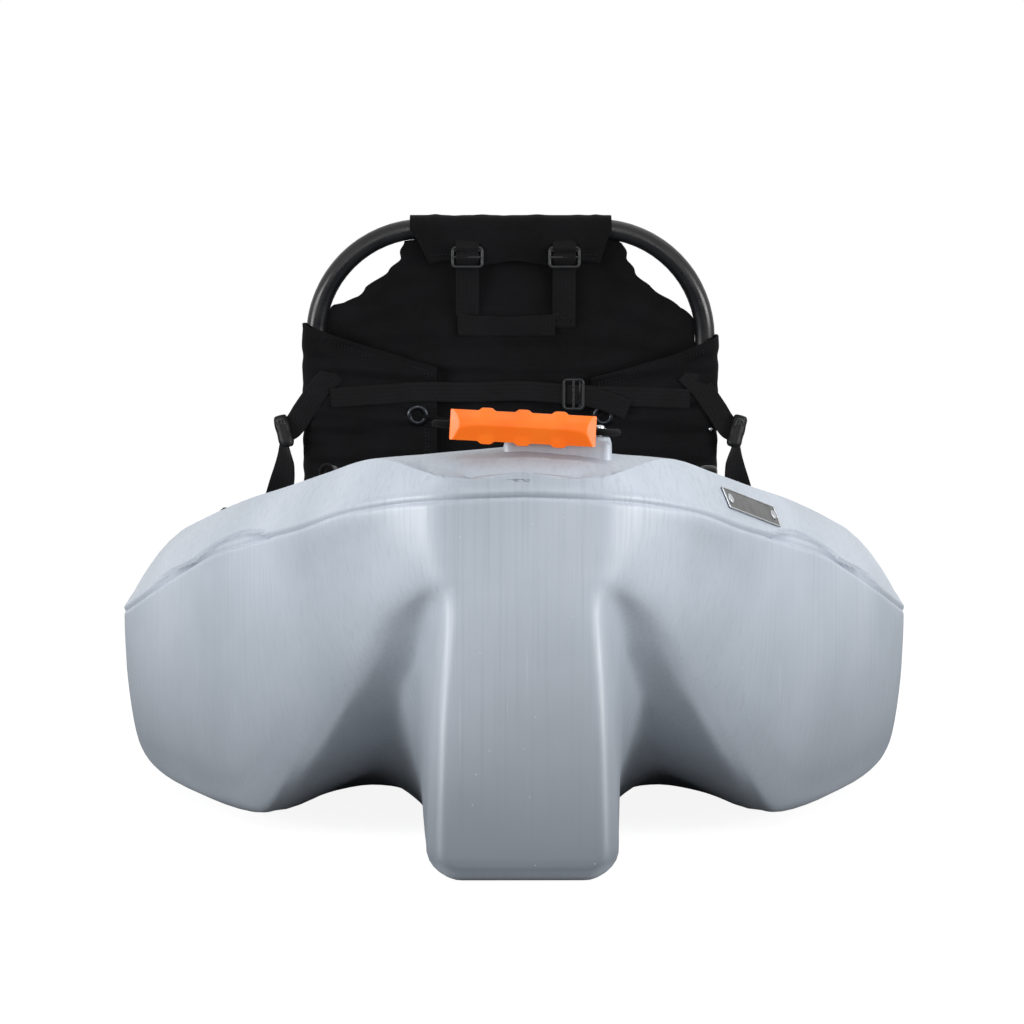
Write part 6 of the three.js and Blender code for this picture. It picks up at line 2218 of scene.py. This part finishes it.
@dataclass
class SeatBase:
    """The seat's fixed base: a bent tube on two skids, a cloth sling, hinge plates and bolts."""

    half: float = 0.2125
    aft: float = -0.414
    fore: float = 0.02
    height: float = 0.252
    tube: float = 0.0125
    corner: float = 0.06
    crossbar_y: float = -0.386
    crossbar: float = 0.01
    skid: float = 0.0963
    leg: float = 0.011
    leg_corner: float = 0.038
    sling_half: float = 0.1996
    sag: float = 0.014

    def build(self) -> None:
        """Builds every piece of the base."""
        self.frame()
        self.sling()
        for side in Side:
            self.leg_of(side)
            bolt = node_copy(f"seat_pivot_bolt_{side.word}", f"pivot_bolt_{side.word}", 0.0007)
            dressed(bolt, STEEL, Body.HULL, [f"seat_pivot_bolt_{side.word}"])

    def frame(self) -> None:
        """The bent tube with its hinge plates, and the bar across it."""
        x, z = self.half, self.height
        corners = [(-x, self.aft, z), (-x, self.fore, z), (x, self.fore, z), (x, self.aft, z)]
        parts = [swept("base_tube", bent_path(corners, self.corner, 160), circle(self.tube, 32), (0, 0, 1))]
        for side in Side:
            outline = rounded_outline(rectangle(-0.015, 0, 0.015, 0.047), 0.0149, 10)
            plate = moved(slab("hinge_plate", outline, -0.003, 0.003), (0, 0, 0), (90, 0, 0))
            plate = rounded_edges(moved(plate, (0, 0, 0), (0, 0, 90)), 0.001, 2, 60)
            parts.append(moved(plate, (side.sign * 0.222, PIVOT[1], z)))
        dressed(one_piece("seat_base_tube", parts), TUBE_POWDER_COAT, Body.HULL, ["seat_base_frame"])
        reach = x - self.tube + 0.0004
        y = self.crossbar_y
        line = np.linspace([-reach, y, z], [reach, y, z], 20)
        beads = [hoop_about(f"weld_{s}", (s * (reach - 0.0022), y, z), self.crossbar + 0.0006) for s in (-1, 1)]
        bar = one_piece("seat_rear_bar", [swept("bar", line, circle(self.crossbar, 28), (0, 0, 1)), *beads])
        dressed(bar, TUBE_POWDER_COAT, Body.HULL, ["seat_rear_crossbar"])

    def leg_of(self, side: Side) -> None:
        """One skid: a bent tube under the base, with two moulded pads on the floor.

        Args:
            side: side of the boat.
        """
        x, top = side.sign * self.half, self.height - self.tube + 0.001
        corners = [(x, -0.3459, top), (x, -0.368, self.skid), (x, -0.016, self.skid), (x, -0.0381, top)]
        leg = swept(f"seat_skid_{side.word}", bent_path(corners, self.leg_corner, 120), circle(self.leg, 28), (1, 0, 0))
        dressed(leg, TUBE_POWDER_COAT, Body.HULL, [f"seat_leg_{side.word}"])
        profile = circle(self.leg + 0.0018, 28)
        profile[:, 1] = np.clip(profile[:, 1], -self.leg + 0.0002, None)
        pads = []
        for number, (start, end) in enumerate(((-0.325, -0.265), (-0.12, -0.06))):
            line = np.linspace([x, start, self.skid], [x, end, self.skid], 13)
            size = 1 - 0.1 * np.abs(np.linspace(-1, 1, 13)) ** 8
            pads.append(swept(f"pad_{number}", line, profile, (1, 0, 0), size))
        dressed(one_piece(f"skid_pads_{side.word}", pads), BLACK_RUBBER, Body.HULL)

    def sling(self) -> None:
        """The sling: a sheet that sags by a half sine both ways, and sleeves that carry it on the tubes."""
        y = np.linspace(self.crossbar_y + 0.0104, self.fore - self.tube - 0.0004, 110)
        into = np.maximum(0, y - y[-1] + self.corner)
        half = self.sling_half - self.corner + np.sqrt(np.maximum(0, self.corner**2 - into**2))
        half[-1] = half[-2]
        u = np.linspace(-1, 1, 110)
        x = half[:, None] * u
        v = (y - y[0]) / (y[-1] - y[0])
        dip = np.cos(math.pi * u / 2)[None] * np.sin(math.pi * v)[:, None]
        place = np.broadcast_to(y[:, None], x.shape)
        folds = [
            (-0.19, -0.33, -0.08, -0.27, 0.01, 0.0022), (0.19, -0.33, 0.09, -0.26, 0.01, 0.0022),
            (-0.18, -0.03, -0.09, -0.1, 0.011, 0.0022), (0.18, -0.03, 0.08, -0.09, 0.011, 0.0022),
            (-0.16, -0.2, 0.16, -0.2, 0.03, -0.003),
        ]
        z = self.height - self.sag * dip + ridges(x, place, folds) * dip ** 0.5
        sling = sheet("seat_sling_cloth", np.stack([x, place, z], axis=2), 0.004)
        dressed(sling, MESH_CLOTH, Body.HULL, ["seat_base_sling"], 50)
        runs = {
            "sling_sleeve_port": [(-self.half, -0.325, self.height), (-self.half, -0.06, self.height)],
            "sling_sleeve_starboard": [(self.half, -0.325, self.height), (self.half, -0.06, self.height)],
            "sling_sleeve_front": [(-0.13, self.fore, self.height), (0.13, self.fore, self.height)],
        }
        for name, (start, end) in runs.items():
            line = np.linspace(start, end, 60)
            wave = 1 + 0.012 * np.sin(np.linspace(0, 41, 60))
            cover = swept(name, line, circle(self.tube + 0.0024, 28), (0, 0, 1), wave)
            dressed(cover, SEAT_CLOTH, Body.HULL, (), 50)


def hoop_about(name: str, place: Sequence[float], radius: float, bead: float = 0.0016) -> Piece:
    """A weld bead: a thin ring about a line along X.

    Args:
        name: piece name.
        place: its middle.
        radius: radius of the ring's middle line.
        bead: radius of the bead.

    Returns:
        The closed ring.
    """
    ring = circle(radius, 40)
    path = np.column_stack([np.zeros(40), ring]) + np.array(place)
    return hoop(name, path, circle(bead, 8), (1, 0, 0))


@dataclass
class CarryHandle:
    """A moulded grip on a loop of rope whose ends are held by two screws.

    Its frame has X along the grip, and the grip lies towards -Y.
    """

    name: str
    body: Body
    place: tuple[float, float, float]
    turn: float
    screws: tuple[float, float]
    finish: Finish
    slot: str
    length: float = 0.127
    height: float = 0.0266
    depth: float = 0.0245
    rib: float = 0.0025
    rib_width: float = 0.0062
    roll: float = 3.0
    reach: float = 0.038
    lift: float = 0.004
    rope: float = 0.0032

    def build(self) -> None:
        """Builds the grip and its rope."""
        self.grip()
        self.line()

    def set_down(self, piece: Piece) -> Piece:
        """Moves a piece from the handle's frame to the boat's."""
        return moved(piece, self.place, (0, 0, self.turn))

    def grip(self) -> None:
        """The grip: a rounded bar whose outer face is the lowest of three surfaces.

        They are a barrel that falls off as the square of the height and the fifth power of the
        share along, a flat that slopes down and in, and a slope that falls to each end from a
        point short of it. Three bell-shaped ribs swell the edges and the inner face.
        """
        s = np.sign(np.linspace(-1, 1, 201)) * np.abs(np.linspace(-1, 1, 201)) ** 0.8
        y, z = self.depth / 2, self.height / 2
        ring = even_steps(rounded_outline(rectangle(-y, -z, y, z), 0.0052, 10), 144, True)
        t = ring[None, :, 1] / z
        share = np.abs(s)[:, None]
        unit = 12.25 * MM
        barrel = unit * (1.02 - 0.3 * t**2 - 0.26 * share**5)
        flat = unit * (0.99 + 0.5 * t)
        slope = unit * (0.3 + 4.4 * (1 - share))
        soft = 0.00028
        lowest = -soft * np.log(sum(np.exp(-surface / soft) for surface in (barrel, flat, slope)))
        out = np.where(ring[None, :, 0] < 0, -np.minimum(-ring[None, :, 0], lowest), ring[None, :, 0] + 0 * share)
        pitch = self.length / 4
        swell = sum(np.exp(-(((s * self.length / 2 - i * pitch) / self.rib_width) ** 6)) for i in (-1, 0, 1))
        edge = np.clip((np.abs(t) - 0.5) / 0.4, 0, 1) ** 1.3
        inner = np.clip(ring[None, :, 0] / y, 0, 1)
        high = ring[None, :, 1] + np.sign(t) * self.rib * swell[:, None] * edge
        out = out + self.rib * swell[:, None] * inner
        round_end = np.sqrt(np.clip(1 - np.clip((share - 0.988) / 0.012, 0, 1) ** 2, 0, 1)) * 0.08 + 0.92
        run = np.broadcast_to(s[:, None] * self.length / 2, out.shape)
        points = np.stack([run, out * round_end, high * round_end], axis=2)
        grip = grid_mesh(f"{self.name}_moulded_grip", points, wrap_columns=True, caps=True)
        moved(grip, (0, -self.reach, self.lift), (0, self.roll, 0))
        dressed(self.set_down(grip), self.finish, self.body, [f"{self.name}_grip"], 42)

    def line(self) -> None:
        """The rope: from beside one screw, through the grip, to beside the other."""
        left, right = self.screws
        half, turn, eye = self.length / 2, 0.013, 0.0097
        reach, lift, tilt = self.reach, self.lift, math.tan(math.radians(self.roll))
        bend = [(half + turn, turn - reach), (half + turn / 4, turn / 8 - reach), (half - turn, -reach)]
        inner = [(-x, y, None) for x, y in bend] + [(0, -reach, None)] + [(x, y, None) for x, y in bend[::-1]]
        run = [(left - eye, 0, 0), (left - eye - turn / 2, -turn / 2, 0), *inner,
               (right + eye + turn / 2, -turn / 2, 0), (right + eye, 0, 0)]
        path = smooth_path([(x, y, lift - x * tilt if z is None else z) for x, y, z in run], 170)
        rope = swept(f"{self.name}_braided_rope", path, circle(self.rope, 16), (0, 0, 1))
        lugs = []
        for number, x in enumerate(self.screws):
            ring = np.column_stack([x + circle(0.0072, 32)[:, 0], circle(0.0072, 32)[:, 1], np.zeros(32)])
            lugs.append(hoop(f"lug_{number}", ring, circle(1, 10) * [0.0022, 0.0026], (0, 0, 1)))
        dressed(self.set_down(rope), CORD, self.body, [f"{self.name}_rope"], 50)
        lug = one_piece(f"{self.name}_rope_lugs", lugs)
        dressed(self.set_down(lug), BLACK_NYLON, Body.HULL)


def pan_screw(name: str, place: Sequence[float], head: float, low: float, top: float) -> Piece:
    """A pan-head screw on a washer, upright, with a cross recess.

    Args:
        name: piece name.
        place: X and Y of its axis.
        head: head radius.
        low: height of the washer's foot.
        top: height of the head's top.

    Returns:
        The screw.
    """
    profile = [
        (head * 0.62, low), (head * 0.62, top - head * 0.75), (head * 1.28, top - head * 0.75),
        (head * 1.34, top - head * 0.68), (head * 1.28, top - head * 0.56), (head, top - head * 0.56),
        (head, top - head * 0.3), (head * 0.86, top - head * 0.12), (head * 0.6, top - head * 0.03), (head * 0.2, top),
    ]
    screw = turned(name, profile, 36)
    arm, half = head * 0.62, head * 0.12
    for number, turn in enumerate((0, 90)):
        corners = rounded_outline(rectangle(-arm, -half, arm, half), half * 0.6, 3)
        cut = moved(slab(f"{name}_cross_{number}", corners, top - head * 0.3, top + head), (0, 0, 0), (0, 0, turn))
        joined_solid(screw, [cut], "DIFFERENCE")
    return moved(screw, (place[0], place[1], 0))


def screw_set(name: str, places: Sequence[Sequence[float]], head: float, low: float, top: float) -> None:
    """Pan-head screws of one size on the hull, as one piece.

    Args:
        name: piece name.
        places: X and Y of each screw's axis.
        head: head radius.
        low: height of the washers' feet.
        top: height of the heads' tops.
    """
    screws = [pan_screw(f"{name}_{number}", place, head, low, top) for number, place in enumerate(places)]
    dressed(one_piece(name, screws), STEEL, Body.HULL, (), 30)


@dataclass
class DeckFittings:
    """What is fixed on the deck: screws, the plate, strap eyes, tracks, cargo lacing and holders."""

    track_x: float = 0.35
    track_ends: tuple[float, float] = (-0.17, 0.13)
    eye: tuple[float, float] = (0.325, -0.232)
    lacing_eyes: Sequence[tuple[float, float]] = ((0.18376, -1.422), (0.27724, -0.928))
    lacing_height: float = 0.0125
    lacing_step: float = 0.018
    plate_share: float = 0.07
    plate_ring: float = 10.47
    plate_turn: float = -2.0
    plate_half: tuple[float, float] = (0.0708, 0.0103)
    pedal_place: tuple[float, float, float] = (0.2394, 0.61, 0.165)
    pedal_lean: float = 12.0

    def build(self) -> None:
        """Builds every fitting."""
        self.screws()
        self.plate()
        self.lacing()
        for side in Side:
            self.strap_eye(side)
            self.track(side)
            self.holder_of(side)
            self.brace(side)

    def screws(self) -> None:
        """The handles' screws."""
        for number, (x, low) in enumerate(zip(STERN_SCREWS, (0.3823, 0.3863))):
            screw = pan_screw(f"stern_pan_screw_{number + 1}", (x, STERN_SCREW_Y), SCREW_HEAD, low, 0.3962)
            dressed(screw, STEEL, Body.HULL, [f"stern_handle_screw_{number + 1}"], 30)
        screw_set("bow_pan_screws", [(x, BOW_SCREW_Y) for x in BOW_SCREWS], SCREW_HEAD, 0.3902, 0.4003)
        low = float(FORM.deck(*SIDE_HANDLE)[0])
        for side in Side:
            spots = [(side.sign * SIDE_HANDLE[0], SIDE_HANDLE[1] + along) for along in SIDE_SCREWS]
            screw_set(f"side_pan_screws_{side.word}", spots, SCREW_HEAD, low + 0.0003, low + 0.0122)

    def plate(self) -> None:
        """The bare identification plate, with a bright rim and two rivets.

        Its frame follows the hull's lines. Over the frame's plane, the hull's height is the cubic
        in the distances along and across that fits the skin's nearest places best, so the plate
        follows the hull without its facets.
        """
        shares, rings = [self.plate_share + d for d in (0, 0.004, -0.004)], [self.plate_ring + d for d in (0, 0.004)]
        spots = FORM.half_sections(np.array(shares), np.array(rings))
        sides = np.broadcast_to(FORM.stern + np.array(shares)[:, None] * FORM.length, spots.shape[:2])
        spots = np.stack([spots[:, :, 0], sides, spots[:, :, 1]], axis=2)
        middle, long, rise = spots[0, 0], spots[1, 0] - spots[2, 0], spots[0, 1] - spots[0, 0]
        out = np.cross(long, rise)
        long, out = units(long), units(out)
        short = np.cross(out, long)
        turn = math.radians(self.plate_turn)
        long, short = long * math.cos(turn) + short * math.sin(turn), short * math.cos(turn) - long * math.sin(turn)
        (x, y), skin = self.plate_half, bpy.data.objects["hull_moulding"]
        u, v = (grid.ravel() for grid in np.meshgrid(np.linspace(-x, x, 29), np.linspace(-y, y, 7)))
        near = [skin.closest_point_on_mesh(Vector(middle + a * long + b * short))[1][:] for a, b in zip(u, v)]
        found = (np.array(near) - middle) @ np.stack([long, short, out], axis=1)

        def terms(a: np.ndarray, b: np.ndarray) -> np.ndarray:
            """The cubic's terms at distances along and across, as shares of the half length."""
            return np.stack([(a / x) ** i * (b / x) ** j for i in range(4) for j in range(4 - i)], axis=1)

        weights = np.linalg.lstsq(terms(found[:, 0], found[:, 1]), found[:, 2], rcond=None)[0]

        def laid(local: np.ndarray) -> np.ndarray:
            """Points on the hull's skin, from distances along the plate, across it and out of it."""
            high = terms(local[:, 0], local[:, 1]) @ weights + local[:, 2] + 0.0004
            return middle + local[:, :1] * long + local[:, 1:2] * short + high[:, None] * out

        u, v = np.meshgrid(np.linspace(-x, x, 65), np.linspace(-y, y, 13))
        points = laid(np.column_stack([u.ravel(), v.ravel(), np.full(u.size, 0.0006)])).reshape(*u.shape, 3)
        dressed(sheet("identification_plate", points, 0.0011), PLATE, Body.HULL, ["hin_plate"])
        line = even_steps(rounded_outline(rectangle(-x, -y, x, y), 0.0018, 6), 220, True)
        path = laid(np.column_stack([line, np.full(220, 0.001)]))
        parts = [hoop("plate_rim", path, circle(1, 10) * [0.0009, 0.0008], out)]
        for number, place in enumerate((-0.059, 0.059)):
            profile = [(0.0052, 0.0), (0.005, 0.0007), (0.0038, 0.0014), (0.0018, 0.0018), (0.0006, 0.0019)]
            rivet = turned(f"rivet_{number}", profile, 28)
            local = np.array([v.co[:] for v in rivet.data.vertices]) + [place, 0, 0.001]
            rivet.data.vertices.foreach_set("co", laid(local).ravel())
            turned_out(rivet)
            parts.append(rivet)
        dressed(one_piece("plate_rim_and_rivets", parts), STEEL, Body.HULL)

    def lacing(self) -> None:
        """The elastic over the tank well, from eye to eye, and its four posts."""
        for side in Side:
            for number, (x, y) in enumerate(self.lacing_eyes):
                deck = float(FORM.deck(x, y)[0])
                profile = [
                    (0.0088, deck - 0.008), (0.012, deck - 0.001), (0.0122, deck + 0.0012), (0.0108, deck + 0.0026),
                    (0.0088, deck + 0.0036), (0.0088, deck + 0.0125), (0.0083, deck + 0.0156), (0.0064, deck + 0.0175),
                    (0.003, deck + 0.018),
                ]
                post = moved(turned(f"lacing_post_{side.word}_{number + 1}", profile, 36), (side.sign * x, y, 0))
                dressed(post, BLACK_NYLON, Body.HULL, [f"tank_well_eye_{side.word}_{number + 1}"])

        def at(sign: int, number: int, dy: float = 0.0, dx: float = 0.0) -> tuple[float, float, float]:
            """A place beside an eye."""
            x, y = self.lacing_eyes[number]
            return (sign * x + dx, y + dy, float(FORM.deck(x, y)[0]) + self.lacing_height)

        step = self.lacing_step
        middle = tuple((np.array(at(1, 0)) + np.array(at(-1, 1))) / 2)
        run = [
            at(-1, 0, -step), at(-1, 0, step), at(1, 0, -2 * step, -2 * step), at(1, 0, -step), at(1, 0, step), middle,
            at(-1, 1, -step), at(-1, 1, step), at(1, 1, -2 * step, -2 * step), at(1, 1, -step), at(1, 1, step),
        ]
        path = smooth_path(run, 500)
        knots = []
        for number, end in enumerate((path[:9], path[-9:])):
            middle = end.mean(0)
            turn = np.linspace(0, 2.5 * math.tau, 90)
            along = (turn / turn[-1] - 0.5) * 0.011
            loop = middle + np.column_stack([0.0048 * np.cos(turn), along, 0.0048 * np.sin(turn)])
            knots.append(swept(f"stop_knot_{number}", loop, circle(0.0027, 12), (0, 1, 0)))
        cord = swept("lacing_elastic", path, circle(0.003, 16), (0, 0, 1))
        dressed(cord, CORD, Body.HULL, ["tank_well_bungee"], 50)
        dressed(one_piece("lacing_stop_knots", knots), CORD, Body.HULL, (), 50)

    def strap_eye(self, side: Side) -> None:
        """A moulded base with a bent bar over it and two screws.

        Args:
            side: side of the boat.
        """
        x, y = side.sign * self.eye[0], self.eye[1]
        deck = float(FORM.deck(*self.eye)[0])
        outline = rounded_outline(rectangle(-0.02, -0.0085, 0.02, 0.0085), 0.0075, 8)
        base = rounded_edges(slab("base", outline, -0.007, 0.004), 0.0012, 3, 60)
        loop = [(-0.0135, 0, 0), (-0.0135, 0, 0.0137), (0.0135, 0, 0.0137), (0.0135, 0, 0)]
        bar = swept("bar", bent_path(loop, 0.005, 60), circle(1, 16) * [0.0026, 0.0023], (0, 1, 0))
        eye = moved(one_piece(f"deck_eye_{side.word}", [base, bar]), (x, y, deck))
        dressed(eye, BLACK_NYLON, Body.HULL, [f"strap_eye_{side.word}"])
        screw_set(f"deck_eye_screws_{side.word}", [(x - 0.0172, y), (x + 0.0172, y)], 0.0021, deck, deck + 0.0052)

    def track(self, side: Side) -> None:
        """The gear track's own extrusion with softer edges, end caps and screws in its groove.

        Args:
            side: side of the boat.
        """
        node = f"gear_track_{side.word}"
        bar = node_copy(node, f"track_extrusion_{side.word}", 0.0006)
        dressed(bar, TRACK_ANODISED, Body.HULL, [node])
        top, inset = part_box(node)[1][2], 0.025
        along = np.linspace(self.track_ends[0] + inset, self.track_ends[1] - inset, 4)
        spots = [(side.sign * self.track_x, y) for y in along]
        screw_set(f"track_screws_{side.word}", spots, 0.0024, top - 0.0095, top - 0.0035)

    def holder_of(self, side: Side) -> None:
        """A flush rod holder: a tube that leans aft through a flange, bored open, with four screws.

        Args:
            side: side of the boat.
        """
        x, y = side.sign * ROD_HOLDER[0], ROD_HOLDER[1]
        deck = float(FORM.deck(*ROD_HOLDER)[0])
        place = (x, y, deck)
        flange = turned("flange", [(0.035, -0.012), (0.036, 0.0), (0.0358, 0.0028), (0.0345, 0.0042), (0.0325, 0.005),
                                   (0.029, 0.0050), (0.0275, 0.0044)], 72)
        holder = moved(flange, place)
        tube = moved(turned("tube", [(0.0235, -0.205), (0.0243, -0.203), (0.0243, 0.05)], 48), place, (ROD_LEAN, 0, 0))
        cap = slab("cap", circle(0.09, 40), deck + 0.0046, deck + 0.2)
        joined_solid(tube, [moved(cap, (x, y, 0))], "DIFFERENCE")
        joined_solid(holder, [tube], "UNION")
        bore = moved(turned("bore", [(0.0205, -0.2015), (0.021, -0.2), (0.021, 0.1)], 48), place, (ROD_LEAN, 0, 0))
        joined_solid(holder, [bore], "DIFFERENCE")
        holder.name = f"flush_rod_holder_{side.word}"
        dressed(holder, BLACK_NYLON, Body.HULL, [f"rod_holder_{side.word}"], 30)
        ring = 0.0305
        spots = [(x + ring * math.cos(a), y + ring * math.sin(a)) for a in np.radians([45, 135])]
        spots += [(x - ring, y - 0.001), (x + ring, y - 0.001)]
        screw_set(f"rod_holder_screws_{side.word}", spots, 0.0021, deck + 0.003, deck + 0.0063)

    def brace(self, side: Side) -> None:
        """A foot rail with its screws, and a pedal with grip bars across its face.

        Args:
            side: side of the boat.
        """
        s = side.sign
        rail = f"foot_rail_{side.word}"
        dressed(node_copy(rail, f"brace_rail_{side.word}", 0.0012), TRACK_ANODISED, Body.HULL, [rail])
        screws = []
        for number, (y, z) in enumerate([(y, z) for y in (0.345, 0.545, 0.745) for z in (0.1478, 0.1822)]):
            screw = moved(pan_screw(f"rail_screw_{number}", (0, 0), 0.0025, -0.002, 0.0022), (0, 0, 0), (0, -90 * s, 0))
            screws.append(moved(screw, (s * 0.2947, y, z)))
        dressed(one_piece(f"rail_screws_{side.word}", screws), STEEL, Body.HULL, (), 30)
        node, body = f"foot_pedal_{side.word}", Body(f"foot_pedal_{side.word}")
        dressed(node_copy(node, f"moulded_pedal_{side.word}", 0.0016), BLACK_NYLON, body, [node])
        bars = []
        for number, z in enumerate(np.linspace(-0.044, 0.044, 7)):
            half = 0.037 - 0.012 * (abs(z) / 0.044) ** 4
            line = np.linspace([-half, -0.0004, z], [half, -0.0004, z], 25)
            size = np.sqrt(np.clip(1 - np.abs(np.linspace(-1, 1, 25)) ** 10, 0.05, 1))
            bars.append(swept(f"grip_bar_{number}", line, circle(1, 14) * [0.0024, 0.0030], (0, 1, 0), size))
        grip = moved(one_piece(f"pedal_grip_bars_{side.word}", bars), (0, 0, 0), (-self.pedal_lean, 0, 0))
        place = self.pedal_place
        dressed(moved(grip, (s * place[0], place[1], place[2])), BLACK_RUBBER, body)


@dataclass
class Hatches:
    """The bow hatch with its hinge, the day hatch in the console and the drain plug."""

    lid_low: float = 0.0109
    lid_edge: float = 0.0199
    lid_top: float = 0.0289
    lid_inset: float = 0.03
    steps: int = 200

    def build(self) -> None:
        """Builds both hatches and the plug."""
        for node, name, finish, slot in (
            ("bow_hatch_rim", "bow_hatch_moulded_rim", BLACK_NYLON, "black_plastic"),
            ("bow_hatch_gasket", "bow_hatch_seal", BLACK_RUBBER, "black_rubber"),
            ("bow_hatch_hinge", "bow_hatch_hinge_leaf", BLACK_NYLON, "black_plastic"),
        ):
            dressed(node_copy(node, name, 0.0007), finish, Body.HULL, [node])
        self.bow_lid()
        self.day_hatch()
        plug = node_copy("drain_plug", "drain_plug_head", 0.0009)
        dressed(plug, BLACK_NYLON, Body.DRAIN_PLUG, ["drain_plug"])

    def bow_lid(self) -> None:
        """The lid: rings of the hatch's outline that turn over a round edge and rise to a crown.

        The crown is a quarter sine from the edge to the flat, with a shallow bell-shaped channel
        where it ends, and the flat rises a little to its middle.
        """
        place = HATCH_PLACE
        edge = -place.overhang
        rings = []

        def ring(inset: float, z: float) -> None:
            """Adds the outline, drawn in by an inset, at a height."""
            inside = min(inset, place.corner - 0.004)
            line = even_steps(place.outline(inside), self.steps, True)
            shrink = 1 - (inset - inside) / np.array([place.half_width - inside, place.half_length - inside])
            rings.append(np.column_stack([line * shrink, np.full(self.steps, z)]))

        ring(edge + 0.022, self.lid_low)
        ring(edge + 0.0016, self.lid_low)
        for angle in np.linspace(0, math.pi / 2, 4):
            ring(edge + 0.0012 * (1 - math.sin(angle)), self.lid_low + 0.0012 * (1 - math.cos(angle)))
        for angle in np.linspace(0, math.pi / 2, 6):
            ring(edge + 0.0035 * (1 - math.cos(angle)), self.lid_edge - 0.0035 * (1 - math.sin(angle)))
        start, rise = edge + 0.0035, self.lid_top - self.lid_edge
        for t in np.linspace(0.08, 1, 12):
            inset = start + (self.lid_inset - start) * t
            ring(inset, self.lid_edge + rise * math.sin(math.pi * t / 2) ** 1.5)
        for inset in np.linspace(self.lid_inset + 0.003, place.half_width - 0.004, 16):
            dip = 0.0026 * math.exp(-(((inset - self.lid_inset - 0.011) / 0.0035) ** 2))
            ring(inset, self.lid_top - 0.0004 - dip)
        lid = grid_mesh("bow_hatch_moulded_lid", np.stack(rings), wrap_columns=True, caps=True)
        hinge_y, hinge_z = 0.171, 0.0154

        def hinge_bar(name: str, half: float, radius: float, sides: int) -> Piece:
            """A round bar on the hinge's axis."""
            line = np.linspace([-half, hinge_y, hinge_z], [half, hinge_y, hinge_z], 4)
            return swept(name, line, circle(radius, sides), (0, 0, 1))

        web = slab("web", rounded_outline(rectangle(-0.0135, 0.13, 0.0135, hinge_y), 0.002), 0.0112, 0.0196)
        knuckle = rounded_edges(hinge_bar("knuckle", 0.0136, 0.006, 32), 0.0006, 2, 60)
        joined_solid(lid, [web, knuckle], "UNION")
        joined_solid(lid, [hinge_bar("pin", 0.04, 0.0029, 24)], "DIFFERENCE")
        dressed(place.seated(lid), LID_POLYETHYLENE, Body.BOW_HATCH_LID, ["bow_hatch_lid"], 40)

    def day_hatch(self) -> None:
        """The round hatch: a turned ring with six screws, and a lid with a knurled rim and a bar."""
        section = [(0.052, -0.024), (0.056, -0.024), (0.056, 0.0), (0.0696, 0.0), (0.07, 0.0006), (0.0698, 0.0042),
                   (0.068, 0.0062), (0.0655, 0.007), (0.0535, 0.007), (0.052, 0.0062)]
        ring = moved(turned_ring("day_hatch_moulded_ring", section, 96), DAY_HATCH)
        dressed(ring, BLACK_NYLON, Body.HULL, ["day_hatch_ring"], 30)
        (x, y, z), circle_radius = DAY_HATCH, 0.0656
        turns = np.radians(np.arange(30, 390, 60))
        spots = [(x + circle_radius * math.cos(a), y + circle_radius * math.sin(a)) for a in turns]
        screw_set("day_hatch_screws", spots, 0.0019, z + 0.004, z + 0.0083)
        profile = np.array([(0.048, -0.0046), (0.0508, -0.0042), (0.0508, 0.0072), (0.0592, 0.0073), (0.0604, 0.0082),
                            (0.0604, 0.0128), (0.0592, 0.0146), (0.057, 0.0153), (0.051, 0.0153), (0.0495, 0.0143),
                            (0.047, 0.0138), (0.02, 0.0138), (0.004, 0.0138)])
        turn = np.linspace(0, math.tau, 288, endpoint=False)
        knurl = 1 + 0.006 * (np.cos(48 * turn) > 0)[None] * (profile[:, 0] > 0.0595)[:, None]
        radius = profile[:, :1] * knurl
        height = np.repeat(profile[:, 1:], len(turn), axis=1)
        points = np.stack([radius * np.cos(turn), radius * np.sin(turn), height], axis=2)
        lid = grid_mesh("day_hatch_moulded_lid", points, wrap_columns=True, caps=True)
        line = np.linspace([-0.0505, 0, 0], [0.0505, 0, 0], 61)
        size = 1 - 0.28 * np.abs(np.linspace(-1, 1, 61)) ** 6
        outline = rounded_outline([(-0.006, -0.0135), (0.006, -0.0135), (0.0045, 0.0135), (-0.0045, 0.0135)], 0.0022, 5)
        bar = moved(swept("finger_bar", line, outline, (0, 1, 0), size), (0, 0, 0.0137))
        joined_solid(lid, [bar], "UNION")
        dressed(moved(lid, DAY_HATCH), BLACK_NYLON, Body.DAY_HATCH_LID, ["day_hatch_lid"], 30)


def handles() -> list[CarryHandle]:
    """The four carry handles, in their own frames."""
    rise = float(FORM.deck(*SIDE_HANDLE)[0]) + 0.0054
    orange, black = (ORANGE_NYLON, "orange_plastic"), (BLACK_RUBBER, "black_rubber")
    made = [
        CarryHandle("stern_handle", Body.STERN_HANDLE, (0, STERN_SCREW_Y, 0.3895), 0, STERN_SCREWS, *orange),
        CarryHandle("bow_handle", Body.BOW_HANDLE, (0, BOW_SCREW_Y, 0.3935), 180, BOW_SCREWS, *orange),
    ]
    for side in Side:
        name = f"side_handle_{side.word}"
        place = (side.sign * SIDE_HANDLE[0], SIDE_HANDLE[1], rise)
        made.append(CarryHandle(name, Body(name), place, 90 * side.sign, SIDE_SCREWS, *black))
    return made


def main() -> None:
    """Builds the scene, piece group by piece group, and logs each."""
    logging.basicConfig(level=logging.INFO, format="%(name)s: %(message)s")
    for group in (Studio(), Hull(), SeatBack(), SeatBase(), *handles(), DeckFittings(), Hatches()):
        group.build()
        LOG.info("%s built", type(group).__name__)


if __name__ == "__main__":
    main()
